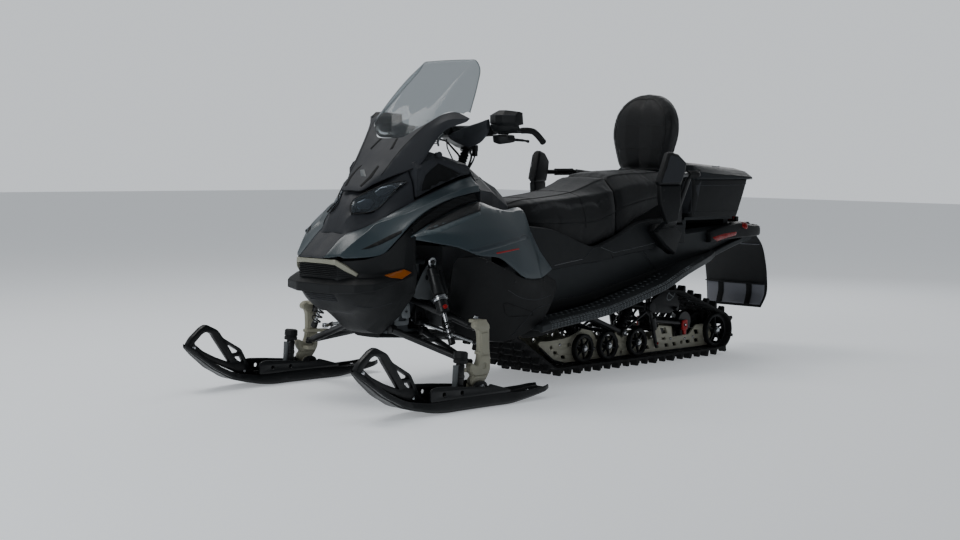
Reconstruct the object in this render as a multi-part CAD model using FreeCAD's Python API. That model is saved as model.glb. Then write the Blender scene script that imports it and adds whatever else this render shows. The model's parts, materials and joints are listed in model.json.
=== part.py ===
import FreeCAD, Part
import math
import os

# Two-up touring snowmobile.  Millimetres, +X forward, +Y left, +Z up.
# Origin: on the floor, under the middle of the whole machine.
V = FreeCAD.Vector
os.makedirs("parts", exist_ok=True)

# ---------------------------------------------------------------- driving sizes
SPINDLE_X = 965.0          # ski pivot, fore-aft
SKI_Y = 538.0              # half of the ski stance
SKI_HALF = 74.0            # half width of a ski
SKI_PIVOT_Z = 82.0         # ski pivot bolt height
LOOP_HALF = 14.0           # half thickness of the ski loop
KING_Y = 508.0             # ball joints, sideways
KING_LOW = (965.0, 178.0)  # lower ball joint (x, z)
KING_TOP = (931.0, 313.0)  # upper ball joint (x, z)
STEER_POINT = (500.0, 1010.0)   # a point on the steering column's axis (x, z)
STEER_DIR = (-0.42, 0.9075)     # the column's direction (x, z)
TRACK_HALF = 192.0         # half width of the track
BELT_T = 9.0               # belt thickness
LUG_H = 32.0               # lug height
PITCH = 72.6               # lug spacing, nominal
TUNNEL_HALF = 210.0        # outer half width of the tunnel
TUNNEL_T = 5.0
PANEL_T = 9.0              # thickness of the bodywork panels
GAP = 2.0                  # shut line between panels
LID_HINGE = (-896.0, 984.0)     # cargo lid hinge axis (x, z)
BOX_WALL = 9.0


# ---------------------------------------------------------------- helpers
def face(pts):
    return Part.Face(Part.makePolygon([V(*p) for p in pts] + [V(*pts[0])]))


def prism_x(yz, x0, x1):
    return face([(x0, y, z) for y, z in yz]).extrude(V(x1 - x0, 0, 0))


def prism_y(xz, y0, y1):
    return face([(x, y0, z) for x, z in xz]).extrude(V(0, y1 - y0, 0))


def prism_z(xy, z0, z1):
    return face([(x, y, z0) for x, y in xy]).extrude(V(0, 0, z1 - z0))


def block(x0, x1, y0, y1, z0, z1):
    return Part.makeBox(x1 - x0, y1 - y0, z1 - z0, V(x0, y0, z0))


def rod(p, q, r):
    p, q = V(*p), V(*q)
    return Part.makeCylinder(r, (q - p).Length, p, q - p)


def cyl_y(x, z, r, y0, y1):
    return Part.makeCylinder(r, y1 - y0, V(x, y0, z), V(0, 1, 0))


def ring_y(x, z, r, bore, y0, y1):
    return cyl_y(x, z, r, y0, y1).cut(cyl_y(x, z, bore, y0 - 1, y1 + 1))


def flip(shape):
    return shape.mirror(V(0, 0, 0), V(0, 1, 0))


def both(shape):
    return Part.makeCompound([shape, flip(shape)])


def fuse(*shapes):
    out = shapes[0]
    for s in shapes[1:]:
        out = out.fuse(s)
    return out.removeSplitter()


def join(*shapes):
    """As fuse, keeping every seam edge."""
    out = shapes[0]
    for s in shapes[1:]:
        out = out.fuse(s)
    return out


def tube(points, r, bend):
    """Straight runs joined by tangent arcs of radius bend, swept with a round section."""
    pts = [V(*p) for p in points]
    edges, here = [], pts[0]
    for a, b, c in zip(pts, pts[1:], pts[2:]):
        u, w = (a - b), (c - b)
        u.normalize()
        w.normalize()
        turn = math.pi - u.getAngle(w)
        cutback = bend * math.tan(turn / 2)
        s, e = b + u * cutback, b + w * cutback
        mid_dir = u + w
        mid_dir.normalize()
        centre = b + mid_dir * (bend / math.cos(turn / 2))
        mid = centre - mid_dir * bend
        if (s - here).Length > 1e-6:
            edges.append(Part.LineSegment(here, s).toShape())
        edges.append(Part.Arc(s, mid, e).toShape())
        here = e
    edges.append(Part.LineSegment(here, pts[-1]).toShape())
    path = Part.Wire(edges)
    start = pts[1] - pts[0]
    circle = Part.Wire([Part.Circle(pts[0], start, r).toShape()])
    return path.makePipeShell([circle], True, True)


def rings_solid(rings):
    """Closed solid through rings of equal length; every side face is a triangle."""
    faces, n = [], len(rings[0])

    def tri(a, b, c):
        if (V(*b) - V(*a)).cross(V(*c) - V(*a)).Length > 1e-3:
            faces.append(face([a, b, c]))

    for r0, r1 in zip(rings, rings[1:]):
        for j in range(n):
            k = (j + 1) % n
            tri(r0[j], r0[k], r1[k])
            tri(r0[j], r1[k], r1[j])
    for r in (rings[0], rings[-1]):
        if flat(r):
            faces.append(face(r))
        else:
            # a bent end is closed across, point to opposite point
            for j in range(n // 2 - 1):
                k = n - 1 - j
                tri(r[j], r[j + 1], r[k - 1])
                tri(r[j], r[k - 1], r[k])
            if n % 2:
                j = n // 2 - 1
                tri(r[j], r[j + 1], r[j + 2])
    solid = Part.makeSolid(Part.makeShell(faces))
    if solid.Volume < 0:
        solid.reverse()
    return solid


def flat(ring):
    a, b, c = (V(*p) for p in ring[:3])
    normal = (b - a).cross(c - a)
    if normal.Length < 1e-6:
        return False
    normal.normalize()
    return all(abs((V(*p) - a).dot(normal)) < 1e-4 for p in ring)


def inset(line, t):
    """The polyline (y, z) moved by t to its right-hand side, mitred at its corners."""
    normals = []
    for (y0, z0), (y1, z1) in zip(line, line[1:]):
        d = math.hypot(y1 - y0, z1 - z0)
        normals.append(((z1 - z0) / d, -(y1 - y0) / d))
    out = []
    for i, (y, z) in enumerate(line):
        a = normals[max(i - 1, 0)]
        b = normals[min(i, len(normals) - 1)]
        k = 1 + a[0] * b[0] + a[1] * b[1]
        k = max(k, 0.6)
        out.append((y + t * (a[0] + b[0]) / k, z + t * (a[1] + b[1]) / k))
    return out


def panel(table, t):
    """A panel from a table {x: [(y, z) ...]}; its outer line runs so that the inside is on the right."""
    rings = []
    for x in sorted(table):
        outer = table[x]
        inner = inset(outer, t)
        rings.append([(x, y, z) for y, z in outer] + [(x, y, z) for y, z in reversed(inner)])
    return rings_solid(rings)


def body(table):
    """A solid from a table {x: [(y, z) ...]} of half sections, bottom centre to top centre."""
    rings = []
    for x in sorted(table):
        half = table[x]
        rings.append([(x, y, z) for y, z in half] + [(x, -y, z) for y, z in reversed(half) if y > 0])
    return rings_solid(rings)


PARTS = {}


def part(name, shape):
    if isinstance(shape, (list, tuple)):
        shape = Part.makeCompound(list(shape))
    PARTS[name] = shape


# ---------------------------------------------------------------- hood and nose
# rows of the hood from rear to front: wing's outer edge, crease, inner edge, centre line (x, y, z)
HOOD = (
    ((700, 300, 868), (700, 293, 893), (700, 245, 930), (700, 0, 936)),
    ((771, 310, 861), (771, 300, 884), (771, 250, 915), (771, 0, 922)),
    ((898, 310, 835), (898, 296, 852), (898, 240, 869), (898, 0, 878)),
    ((1020, 305, 790), (1010, 286, 812), (1002, 225, 829), (1000, 0, 838)),
    ((1092, 300, 746), (1084, 258, 780), (1070, 206, 797), (1070, 0, 806)),
    ((1143, 297, 705), (1134, 222, 758), (1121, 190, 772), (1121, 0, 782)),
    ((1186, 284, 660), (1189, 179, 735), (1180, 155, 735), (1178, 0, 746)),
    ((1227, 263, 618), (1224, 177, 710), (1220, 118, 711), (1220, 0, 718)),
    ((1291, 199, 601), (1289, 160, 661), (1280, 87, 686), (1276, 0, 690)),
    ((1334, 148, 597), (1346, 131, 605), (1380, 77, 599), (1384, 0, 599)),
)


def whole(row):
    """The row's points from one side over the top to the other."""
    return [(x, -y, z) for x, y, z in row] + [(x, y, z) for x, y, z in reversed(row) if y > 0]


def shell(rows, t):
    """A panel of thickness t under rows of points."""
    rings = []
    for row in rows:
        outer = whole(row)
        inner = inset([(y, z) for x, y, z in outer], t)
        rings.append(outer + [(x, y, z) for (x, _, _), (y, z) in reversed(list(zip(outer, inner)))])
    return rings_solid(rings)


def filled(rows, floor):
    """The solid between rows of points and the height floor."""
    return rings_solid([whole(r) + [(x, y, floor) for x, y, z in reversed(whole(r))] for r in rows])


hood = shell(HOOD, PANEL_T)
part("hood", hood)
hood_solid = filled(HOOD, 300)

# lower nose: x: half section from bottom centre outwards and up to the hood's edge
NOSE = {
    1075: ((0, 262), (95, 265), (205, 345), (300, 450), (312, 530), (302, 575), (300, 748), (286, 741), (0, 741)),
    1110: ((0, 266), (85, 270), (190, 348), (290, 450), (308, 520), (292, 562), (297, 722), (283, 715), (0, 715)),
    1150: ((0, 285), (70, 290), (170, 352), (270, 448), (300, 505), (272, 550), (292, 689), (278, 682), (0, 682)),
    1205: ((0, 345), (80, 350), (160, 372), (250, 448), (288, 492), (240, 540), (272, 631), (258, 625), (0, 625)),
    1262: ((0, 366), (95, 370), (158, 400), (215, 450), (222, 490), (196, 535), (225, 600), (211, 595), (0, 595)),
    1300: ((0, 402), (100, 404), (140, 425), (165, 452), (170, 490), (160, 530), (184, 591), (170, 586), (0, 586)),
    1344: ((0, 448), (98, 449), (110, 454), (118, 470), (121, 500), (119, 540), (114, 584), (104, 580), (0, 580)),
}
nose = body(NOSE)
nose = nose.cut(hood)

# front chevron strip: the middle run, then a bent arm down each side
strip = rings_solid([
    [(1348, -116, 572), (1362, -116, 572), (1362, -116, 590), (1348, -116, 590)],
    [(1352, 0, 572), (1372, 0, 572), (1372, 0, 592), (1352, 0, 592)],
    [(1348, 116, 572), (1362, 116, 572), (1362, 116, 590), (1348, 116, 590)],
])
wing_strip = rings_solid([
    [(1346, 117, 566), (1360, 118, 566), (1360, 119, 590), (1346, 117, 590)],
    [(1318, 142, 548), (1334, 146, 548), (1332, 150, 570), (1316, 146, 570)],
    [(1272, 172, 520), (1292, 180, 520), (1290, 184, 534), (1270, 176, 534)],
])
part("nose_trim", [q.cut(hood).cut(nose) for q in (strip, wing_strip, flip(wing_strip))])

# bumper lip: a closed band in front of the nose whose ends run back into it
# front edge, top edge, back (x, y), bottom, shoulder and top heights
BUMPER = (
    ((1368, 0), (1343, 0), (1300, 0), 450, 487, 512),
    ((1368, 108), (1342, 98), (1300, 80), 450, 487, 512),
    ((1331, 212), (1306, 190), (1262, 150), 456, 490, 515),
    ((1277, 266), (1254, 240), (1210, 200), 466, 494, 518),
    ((1222, 287), (1204, 266), (1170, 230), 482, 502, 522),
)
half_lip = rings_solid([[(f[0], f[1], lo), (f[0], f[1], mid), (t[0], t[1], hi), (b[0], b[1], hi), (b[0], b[1], lo)] for f, t, b, lo, mid, hi in BUMPER])
lip = fuse(half_lip, flip(half_lip)).cut(nose)
part("front_bumper", lip)

# ---------------------------------------------------------------- mask, headlights, windshield base
MASK = {
    1000: ((212, 826), (196, 903), (170, 952), (0, 963)),
    1080: ((196, 794), (161, 847), (121, 891), (0, 903)),
    1121: ((184, 772), (143, 817), (94, 867), (0, 879)),
    1155: ((162, 748), (124, 782), (66, 851), (0, 860)),
    1195: ((138, 724), (92, 776), (38, 818), (0, 822)),
    1230: ((108, 706), (64, 764), (14, 770), (0, 771)),
    1268: ((80, 689), (46, 693), (18, 695), (0, 696)),
}


def closed_half(table, floor):
    out = {}
    for x, h in table.items():
        out[x] = [(0, floor(x))] + [(h[0][0], floor(x))] + list(h)
    return out


mask = body(closed_half(MASK, lambda x: 560)).cut(hood_solid)
# lens outline, lower and upper points from front to rear
LENS = (((1230, 74, 778), (1198, 46, 824)), ((1158, 134, 786), (1180, 64, 844)), ((1103, 155, 831), (1083, 133, 897)), ((1068, 171, 875), (1024, 188, 908)))
lamp = rings_solid([[lo, up, (up[0] - 34, up[1] - 10, up[2] - 6), (lo[0] - 34, lo[1] - 10, lo[2] + 2)] for lo, up in LENS])
lamps = [lamp, flip(lamp)]
mask = mask.cut(lamp).cut(flip(lamp))
part("headlights", [s.cut(hood_solid) for s in lamps])
part("headlight_mask", mask)

# windshield base, from its front tip to the ear: lower seam, crease, top edge (x, y, z)
BASE = (
    ((1168, 0, 869), (1062, 0, 975), (950, 0, 1090)),
    ((1166, 60, 870), (1060, 52, 974), (949, 42, 1090)),
    ((1112, 94, 900), (1053, 108, 975), (945, 84, 1096)),
    ((1058, 136, 931), (1012, 124, 1024), (916, 128, 1128)),
    ((970, 205, 978), (944, 152, 1098), (887, 172, 1156)),
    ((918, 219, 1043), (890, 198, 1132), (842, 196, 1186)),
    ((855, 237, 1121), (838, 246, 1168), (802, 216, 1201)),
    ((786, 300, 1160), (780, 314, 1174), (776, 232, 1203)),
)


def behind(p):
    return (p[0] - 9, p[1], p[2] - 5)


base_left = rings_solid([[e, m, t, behind(t), behind(m), behind(e)] for e, m, t in BASE])
mask = PARTS["headlight_mask"]
part("windshield_base", [fuse(base_left, flip(base_left)).cut(mask)])

# clear windshield: foot along the base's top edge, head along its own edge
FOOT = ((947, 0, 1094), (942, 84, 1101), (884, 172, 1161), (839, 196, 1191), (799, 217, 1206), (774, 268, 1197))
HEAD = ((591, 0, 1443), (594, 120, 1441), (597, 161, 1437), (599, 188, 1404), (652, 226, 1328), (744, 274, 1207))
rings = []
for f, h in zip(FOOT, HEAD):
    rings.append([f, h, (h[0] - 7, h[1], h[2] - 5), (f[0] - 8, f[1], f[2] + 1)])
sheet = rings_solid(rings)
part("windshield", [fuse(sheet, flip(sheet)).cut(PARTS["windshield_base"])])

# ---------------------------------------------------------------- console between hood, seat and windshield
CONSOLE = {
    330: ((118, 640), (118, 790), (95, 826), (0, 830)),
    440: ((160, 640), (165, 830), (140, 878), (0, 884)),
    560: ((230, 640), (240, 860), (165, 921), (0, 926)),
    690: ((292, 700), (292, 872), (215, 972), (0, 978)),
}
CONSOLE_FRONT = {
    702: ((0, 945), (236, 940), (228, 975), (205, 985), (0, 990)),
    760: ((0, 935), (240, 932), (228, 985), (200, 1001), (0, 1006)),
    900: ((0, 890), (228, 884), (225, 990), (200, 1032), (0, 1040)),
    990: ((0, 850), (212, 842), (212, 960), (190, 985), (0, 990)),
}
column_hole = Part.makeCylinder(48, 900, V(STEER_POINT[0] - STEER_DIR[0] * 800, 0, STEER_POINT[1] - STEER_DIR[1] * 800), V(STEER_DIR[0], 0, STEER_DIR[1]))
console = body({x: [(0, 640)] + list(h) for x, h in CONSOLE.items()})
console_front = body(CONSOLE_FRONT)
console_front = console_front.cut(mask).cut(hood_solid).cut(PARTS["windshield_base"])
part("console", [console.cut(column_hole), console_front.cut(column_hole)])

# ---------------------------------------------------------------- side panels
# x: top inner, peak, ridge, lower edge (painted upper panel)
SIDE_UP = {
    300: ((346, 540), (351, 536), (356, 529), (362, 521)),
    350: ((330, 606), (338, 599), (352, 570), (380, 506)),
    405: ((306, 722), (318, 708), (345, 640), (402, 493)),
    440: ((294, 792), (316, 778), (352, 690), (416, 492)),
    560: ((306, 786), (346, 779), (404, 680), (440, 502)),
    650: ((312, 806), (358, 790), (420, 690), (446, 552)),
    730: ((316, 825), (362, 795), (425, 700), (450, 592)),
    850: ((320, 800), (372, 776), (425, 700), (450, 606)),
    950: ((320, 765), (374, 748), (420, 695), (433, 640)),
    1050: ((318, 722), (362, 724), (392, 700), (404, 660)),
    1122: ((318, 686), (338, 692), (352, 686), (348, 674)),
}
# x: top, middle, lower outer, lower inner (black lower panel)
SIDE_LOW = {
    262: ((355, 470), (358, 450), (357, 425), (340, 405)),
    350: ((378, 500), (384, 420), (375, 322), (335, 312)),
    420: ((406, 488), (400, 400), (360, 264), (285, 250)),
    560: ((438, 498), (405, 400), (330, 217), (255, 214)),
    690: ((445, 548), (405, 420), (312, 232), (250, 224)),
    840: ((440, 600), (395, 480), (306, 268), (262, 256)),
    880: ((410, 600), (370, 520), (322, 405), (290, 392)),
    908: ((378, 596), (350, 560), (334, 470), (318, 455)),
}
side_up = panel(SIDE_UP, PANEL_T)
side_low = panel(SIDE_LOW, PANEL_T)
side_low = side_low.cut(side_up)
part("nose_cowl", nose.cut(side_up).cut(flip(side_up)))
part("side_panel_left", side_up)
part("side_panel_right", flip(side_up))
part("lower_panel_left", side_low)
part("lower_panel_right", flip(side_low))

# louvred strip between the hood's wing and the side panel; x: top, bottom
VENT = {
    742: ((309, 858), (322, 832)),
    850: ((309, 846), (326, 812)),
    950: ((309, 806), (326, 776)),
    1050: ((309, 758), (324, 732)),
    1100: ((309, 726), (322, 706)),
}
vent = panel(VENT, 7).cut(hood_solid).cut(side_up)
part("side_vents", both(vent))

# ---------------------------------------------------------------- belly pan, bulkhead, engine
BELLY = {
    548: ((0, 213), (250, 213), (252, 215), (250, 229), (248, 230), (0, 230)),
    690: ((0, 220), (246, 220), (247, 222), (246, 238), (245, 240), (0, 236)),
    838: ((0, 226), (180, 232), (252, 254), (248, 270), (175, 248), (0, 242)),
    862: ((0, 230), (90, 232), (116, 236), (114, 250), (88, 246), (0, 244)),
    1070: ((0, 244), (60, 245), (80, 250), (78, 264), (58, 262), (0, 262)),
}
belly = body(BELLY).cut(side_low).cut(flip(side_low)).cut(nose).cut(block(861, 1100, 118, 400, 200, 300)).cut(block(861, 1100, -400, -118, 200, 300))
part("belly_pan", belly)

engine = block(545, 846, -225, 225, 290, 632)
part("engine_block", engine.cut(Part.makeCylinder(60, 900, V(STEER_POINT[0] - STEER_DIR[0] * 800, 0, STEER_POINT[1] - STEER_DIR[1] * 800), V(STEER_DIR[0], 0, STEER_DIR[1]))))

BULK = ((858, 268), (1070, 280), (1058, 330), (1008, 470), (992, 600), (905, 600), (872, 440))   # side plate (x, z)
WINDOW = ((868, 262), (968, 262), (968, 352), (868, 352))                                        # tie rod window
plate = prism_y(BULK, 122, 136).cut(block(862, 962, 100, 150, 272, 352))
bulk = fuse(plate, flip(plate),
            prism_y(((1012, 470), (1060, 332), (1070, 332), (1022, 470)), -122, 122),
            block(905, 992, -122, 122, 560, 600),
            block(866, 1068, -122, 122, 268, 280),
            rod((978, -268, 576), (978, 268, 576), 13))
part("bulkhead", bulk)

# ---------------------------------------------------------------- front suspension arms
LOWER_BALL = (KING_LOW[0], KING_Y, KING_LOW[1])
UPPER_BALL = (KING_TOP[0], KING_Y, KING_TOP[1])
king = (V(*UPPER_BALL) - V(*LOWER_BALL))
king.normalize()


def along_king(base, s):
    return (base[0] + king.x * s, base[1] + king.y * s, base[2] + king.z * s)


lower_arm = join(
    rod((1058, 140, 287), (972, KING_Y - 40, 188), 15),
    rod((878, 140, 270), (958, KING_Y - 40, 186), 13),
    rod((972, KING_Y - 40, 188), LOWER_BALL, 10.5),
    rod((958, KING_Y - 40, 186), LOWER_BALL, 10),
    rod((900, 262, 242), (1024, 290, 251), 9),
    rod(along_king(LOWER_BALL, -9), along_king(LOWER_BALL, 9), 14),
).cut(block(0, 2000, 0, 137, 0, 800))
upper_arm = join(
    rod((1008, 140, 431), (934, KING_Y - 34, 322), 13),
    rod((880, 140, 402), (926, KING_Y - 34, 321), 11),
    rod((934, KING_Y - 34, 322), UPPER_BALL, 9.5),
    rod((926, KING_Y - 34, 321), UPPER_BALL, 9),
    rod(along_king(UPPER_BALL, -9), along_king(UPPER_BALL, 9), 13),
).cut(block(0, 2000, 0, 137, 0, 800))
part("lower_arms", both(lower_arm))
part("upper_arms", both(upper_arm))

# coil-over shock: upper eye on the bulkhead's cross bar, foot on the lower arm
S0, S1 = (978, 286, 576), (996, 440, 246)
sd = V(*S1) - V(*S0)
sl = sd.Length


def on_shock(t):
    return (S0[0] + sd.x * t, S0[1] + sd.y * t, S0[2] + sd.z * t)


shock = fuse(
    cyl_y(S0[0], S0[2], 21, 269, 303),
    rod(on_shock(0.02), on_shock(0.40), 25),
    rod(on_shock(0.40), on_shock(0.44), 34),
    rod(on_shock(0.44), on_shock(0.62), 27),
    rod(on_shock(0.62), on_shock(0.97), 9),
    rod(on_shock(0.95), on_shock(1.0), 16),
)
shock = shock.cut(lower_arm).cut(upper_arm)
part("front_shocks", both(shock))

# ---------------------------------------------------------------- spindles, tie rods
ARM_END = (873.0, 236.0)      # steering arm's eye (x, z)


# side view of the spindle's leg (x, z)
LEG = ((968, 352), (918, 352), (900, 332), (898, 290), (897, 236), (892, 196), (892, 150), (902, 126), (926, 98), (944, 82), (988, 82), (1004, 96), (1002, 116), (988, 128), (1004, 142), (1012, 166), (1004, 183), (984, 174), (968, 166), (958, 186), (952, 236), (954, 292), (962, 314), (982, 320), (984, 338))
leg = prism_y(LEG, 528, 562)
fork_top = block(914, 960, 490, 562, 338, 353)
hub_low = block(946, 986, 490, 562, 136, 153)
steer_arm = prism_z(((962, 528), (962, 562), (884, 530), (860, 512), (860, 494), (884, 490)), 210, 225)
pivot_boss = cyl_y(SPINDLE_X, SKI_PIVOT_Z, 24, 512, 564)
spindle_left = fuse(leg, fork_top, hub_low, steer_arm, pivot_boss)
spindle_left = spindle_left.cut(cyl_y(SPINDLE_X, SKI_PIVOT_Z, 7.4, 500, 580))
part("spindle_left", spindle_left)
part("spindle_right", flip(spindle_left))

TIE_IN, TIE_OUT = (900, 96, 318), (ARM_END[0], 504, 239)
tie = fuse(rod(TIE_IN, TIE_OUT, 8), Part.makeCylinder(15, 18, V(TIE_OUT[0], TIE_OUT[1], 230), V(0, 0, 1)), cyl_y(TIE_IN[0], TIE_IN[2], 13, 84, 104))
part("tie_rod_left", tie)
part("tie_rod_right", flip(tie))

# ---------------------------------------------------------------- skis
# ski side view relative to the pivot: bottom line then top line (x, z)
SKI_LOW = ((-412, 34), (-300, 16), (-150, 0), (230, 0), (330, 10), (430, 38), (530, 90), (610, 148), (663, 190))
SKI_TOP = ((662, 208), (622, 184), (575, 148), (520, 108), (440, 70), (340, 52), (280, 48), (150, 52), (-30, 52), (-200, 46), (-330, 50), (-412, 56))
SKI_WIDTH = ((-412, 40), (-380, 56), (-200, 72), (310, 74), (430, 64), (540, 48), (620, 30), (663, 10))   # plan (x, half width)


RUNNER_HOLES = (-180, 220)     # wear bar's stud holes, from the pivot
RUNNER_R = 4.25


def ski_body():
    side = prism_y([(SPINDLE_X + x, z) for x, z in SKI_LOW + SKI_TOP], SKI_Y - 80, SKI_Y + 80)
    plan = [(SPINDLE_X + x, SKI_Y + w) for x, w in SKI_WIDTH] + [(SPINDLE_X + x, SKI_Y - w) for x, w in reversed(SKI_WIDTH)]
    s = side.common(prism_z(plan, -20, 400))
    # saddle cheeks each side of the spindle's foot, and the pivot bolt
    cheek = prism_y([(SPINDLE_X + x, z) for x, z in ((-120, 46), (160, 46), (110, 84), (40, 108), (-40, 108), (-80, 84))], 0, 12)
    for y in (SKI_Y - 40, SKI_Y + 28):
        c = cheek.copy()
        c.translate(V(0, y, 0))
        s = s.fuse(c)
    s = s.fuse(cyl_y(SPINDLE_X, SKI_PIVOT_Z, 7, SKI_Y - 40, SKI_Y + 40))
    s = s.fuse(cyl_y(SPINDLE_X, SKI_PIVOT_Z, 13, SKI_Y + 38, SKI_Y + 48))
    # adjuster post ahead of the spindle with its knob
    post = fuse(Part.makeCylinder(15, 150, V(SPINDLE_X + 92, SKI_Y, 50), V(-0.08, 0, 1)),
                Part.makeCylinder(22, 34, V(SPINDLE_X + 81, SKI_Y, 196), V(-0.08, 0, 1)))
    s = s.fuse(post).removeSplitter()
    for x in RUNNER_HOLES:
        s = s.cut(Part.makeCylinder(RUNNER_R, 400, V(SPINDLE_X + x, SKI_Y, -100), V(0, 0, 1)))
    return s


def ski_loop():
    # closed outline of the strap and its three windows
    out = [(612, 180), (648, 214), (598, 278), (560, 294), (508, 292), (478, 272), (408, 186), (330, 96), (276, 50), (372, 52), (420, 66)]
    s = prism_y([(SPINDLE_X + x, z) for x, z in out], SKI_Y - LOOP_HALF, SKI_Y + LOOP_HALF)
    windows = (
        ((614, 214), (556, 268), (514, 267), (494, 252), (440, 184), (470, 112), (530, 140)),
        ((424, 166), (366, 100), (398, 88), (462, 112)),
    )
    for w in windows:
        s = s.cut(prism_y([(SPINDLE_X + x, z) for x, z in w], SKI_Y - 40, SKI_Y + 40))
    return s


ski = ski_body()
loop = ski_loop().cut(ski)
for side, make in (("left", lambda s: s), ("right", flip)):
    part("ski_" + side, make(ski))
    part("ski_loop_" + side, make(loop))

# ---------------------------------------------------------------- steering
sx, sz = STEER_POINT
ux, uz = STEER_DIR


def on_column(s):
    return (sx + ux * s, 0, sz + uz * s)


column = rod(on_column(-640), on_column(60), 15)
stem = fuse(rod(on_column(30), on_column(62), 26), prism_y(((458, 1040), (520, 1058), (624, 1104), (628, 1138), (604, 1150), (576, 1148), (470, 1085)), -32, 32))
part("steering_column", fuse(column, stem.cut(rod(on_column(-640), on_column(60), 15)), column))

BAR = ((594, 0, 1130), (594, 200, 1130), (592, 290, 1130), (586, 372, 1127), (537, 452, 1129), (474, 456, 1079))
half_bar = tube(BAR, 11.5, 34)
other = flip(half_bar)
bar = fuse(half_bar, other, cyl_y(594, 1130, 15, -70, 70))
grip = rod((591.4, 300, 1129.6), (587.4, 352, 1127.7), 18)
grips = both(grip)
bar_g = bar.fuse(grip).fuse(flip(grip)).removeSplitter().cut(PARTS["steering_column"])
part("handlebar", bar_g)

GUARD = ((668, 1146), (684, 1160), (684, 1192), (662, 1213), (606, 1202), (600, 1152))   # side view (x, z)
guard = prism_y(GUARD, 288, 456).cut(prism_z(((704, 380), (704, 470), (640, 470)), 1100, 1300)).cut(prism_z(((704, 270), (620, 270), (704, 400)), 1100, 1300))
guard = guard.cut(prism_y(((580, 1120), (664, 1130), (672, 1164), (670, 1188), (656, 1202), (580, 1188)), 295, 445).cut(prism_z(((704, 356), (704, 470), (618, 470)), 1100, 1300)).cut(prism_z(((704, 250), (593, 250), (704, 422)), 1100, 1300)))
bracket = rod((640, 330, 1152), (593, 276, 1130), 7)
part("hand_guards", both(guard.fuse(bracket).cut(bar_g)))
pod = prism_y(((556, 1090), (640, 1142), (668, 1128), (660, 1090), (600, 1062)), 44, 118)
part("gauge_pod", fuse(prism_y(((640, 1096), (676, 1110), (662, 1176), (612, 1176)), -78, 78)).cut(PARTS["steering_column"]).cut(bar_g))

# control cables: along the bar, down behind the post and into the column's opening; and the display's lead
nx, nz = 0.9075, 0.42


def beside_column(s, forward, y):
    return (sx + ux * s + nx * forward, y, sz + uz * s + nz * forward)


CABLE = ((586, 262, 1108), (588, 150, 1102), (545, 66, 1084), beside_column(10, -14, 36), beside_column(-60, -14, 34), beside_column(-150, -14, 30))
LEAD = ((648, 40, 1090), (640, 38, 1052), (596, 26, 1004), beside_column(-60, 26, 14), beside_column(-150, 28, 12))
cables = [tube(CABLE, 4.5, 26), flip(tube(CABLE, 4.5, 26)), tube(LEAD, 3, 20)]
part("control_cables", [c.cut(PARTS["steering_column"]).cut(PARTS["gauge_pod"]).cut(bar_g).cut(PARTS["hand_guards"]) for c in cables])

# ---------------------------------------------------------------- seats, backrest
# x: half sections, bottom centre up to top centre
RIDER = {
    -345: ((0, 690), (150, 690), (205, 650), (205, 780), (190, 862), (126, 926), (0, 932)),
    -222: ((0, 640), (150, 640), (203, 614), (203, 740), (184, 850), (116, 886), (0, 892)),
    -128: ((0, 620), (150, 620), (200, 598), (200, 730), (178, 842), (112, 858), (0, 862)),
    -20: ((0, 640), (140, 640), (196, 622), (196, 730), (168, 832), (110, 841), (0, 845)),
    118: ((0, 662), (130, 662), (186, 655), (186, 728), (158, 820), (104, 826), (0, 829)),
    237: ((0, 700), (110, 700), (158, 687), (158, 736), (136, 808), (92, 818), (0, 820)),
    318: ((0, 742), (70, 742), (104, 740), (104, 764), (96, 796), (70, 808), (0, 810)),
}
PASSENGER = {
    -760: ((0, 800), (150, 800), (188, 800), (196, 850), (186, 910), (140, 950), (0, 958)),
    -600: ((0, 770), (150, 770), (200, 755), (204, 830), (190, 905), (140, 948), (0, 956)),
    -470: ((0, 730), (150, 730), (204, 704), (206, 810), (190, 890), (138, 944), (0, 952)),
    -347: ((0, 692), (150, 692), (205, 652), (206, 782), (191, 864), (128, 928), (0, 935)),
}
part("rider_seat", body(RIDER).cut(console))
part("passenger_seat", body(PASSENGER))
# backrest: z: half width, front x, back x
BACK = ((962, 150, -752, -838), (1040, 176, -748, -850), (1140, 196, -750, -864), (1230, 184, -760, -872), (1300, 136, -780, -878), (1341, 62, -806, -874))
rings = []
for z, w, xf, xb in BACK:
    rings.append([(xf, -w * 0.6, z), (xf, w * 0.6, z), (xf - 26, w, z), (xb + 22, w, z), (xb, w * 0.7, z), (xb, -w * 0.7, z), (xb + 22, -w, z), (xf - 26, -w, z)])
part("backrest", rings_solid(rings))

# ---------------------------------------------------------------- tunnel, covers, running boards
# x: top z, bottom z of the tunnel
TUNNEL = ((430, 520, 330), (200, 560, 318), (-130, 585, 345), (-600, 640, 430), (-1000, 668, 500), (-1450, 690, 600))
rings = []
for x, top, low in TUNNEL:
    w, t = TUNNEL_HALF, TUNNEL_T
    rings.append([(x, w, low), (x, w, top - 20), (x, w - 20, top), (x, -w + 20, top), (x, -w, top - 20), (x, -w, low),
                  (x, -w + t, low), (x, -w + t, top - 21), (x, -w + 21, top - t), (x, w - 21, top - t), (x, w - t, top - 21), (x, w - t, low)])
tunnel = rings_solid(rings[::-1])
part("tunnel", tunnel)

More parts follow.
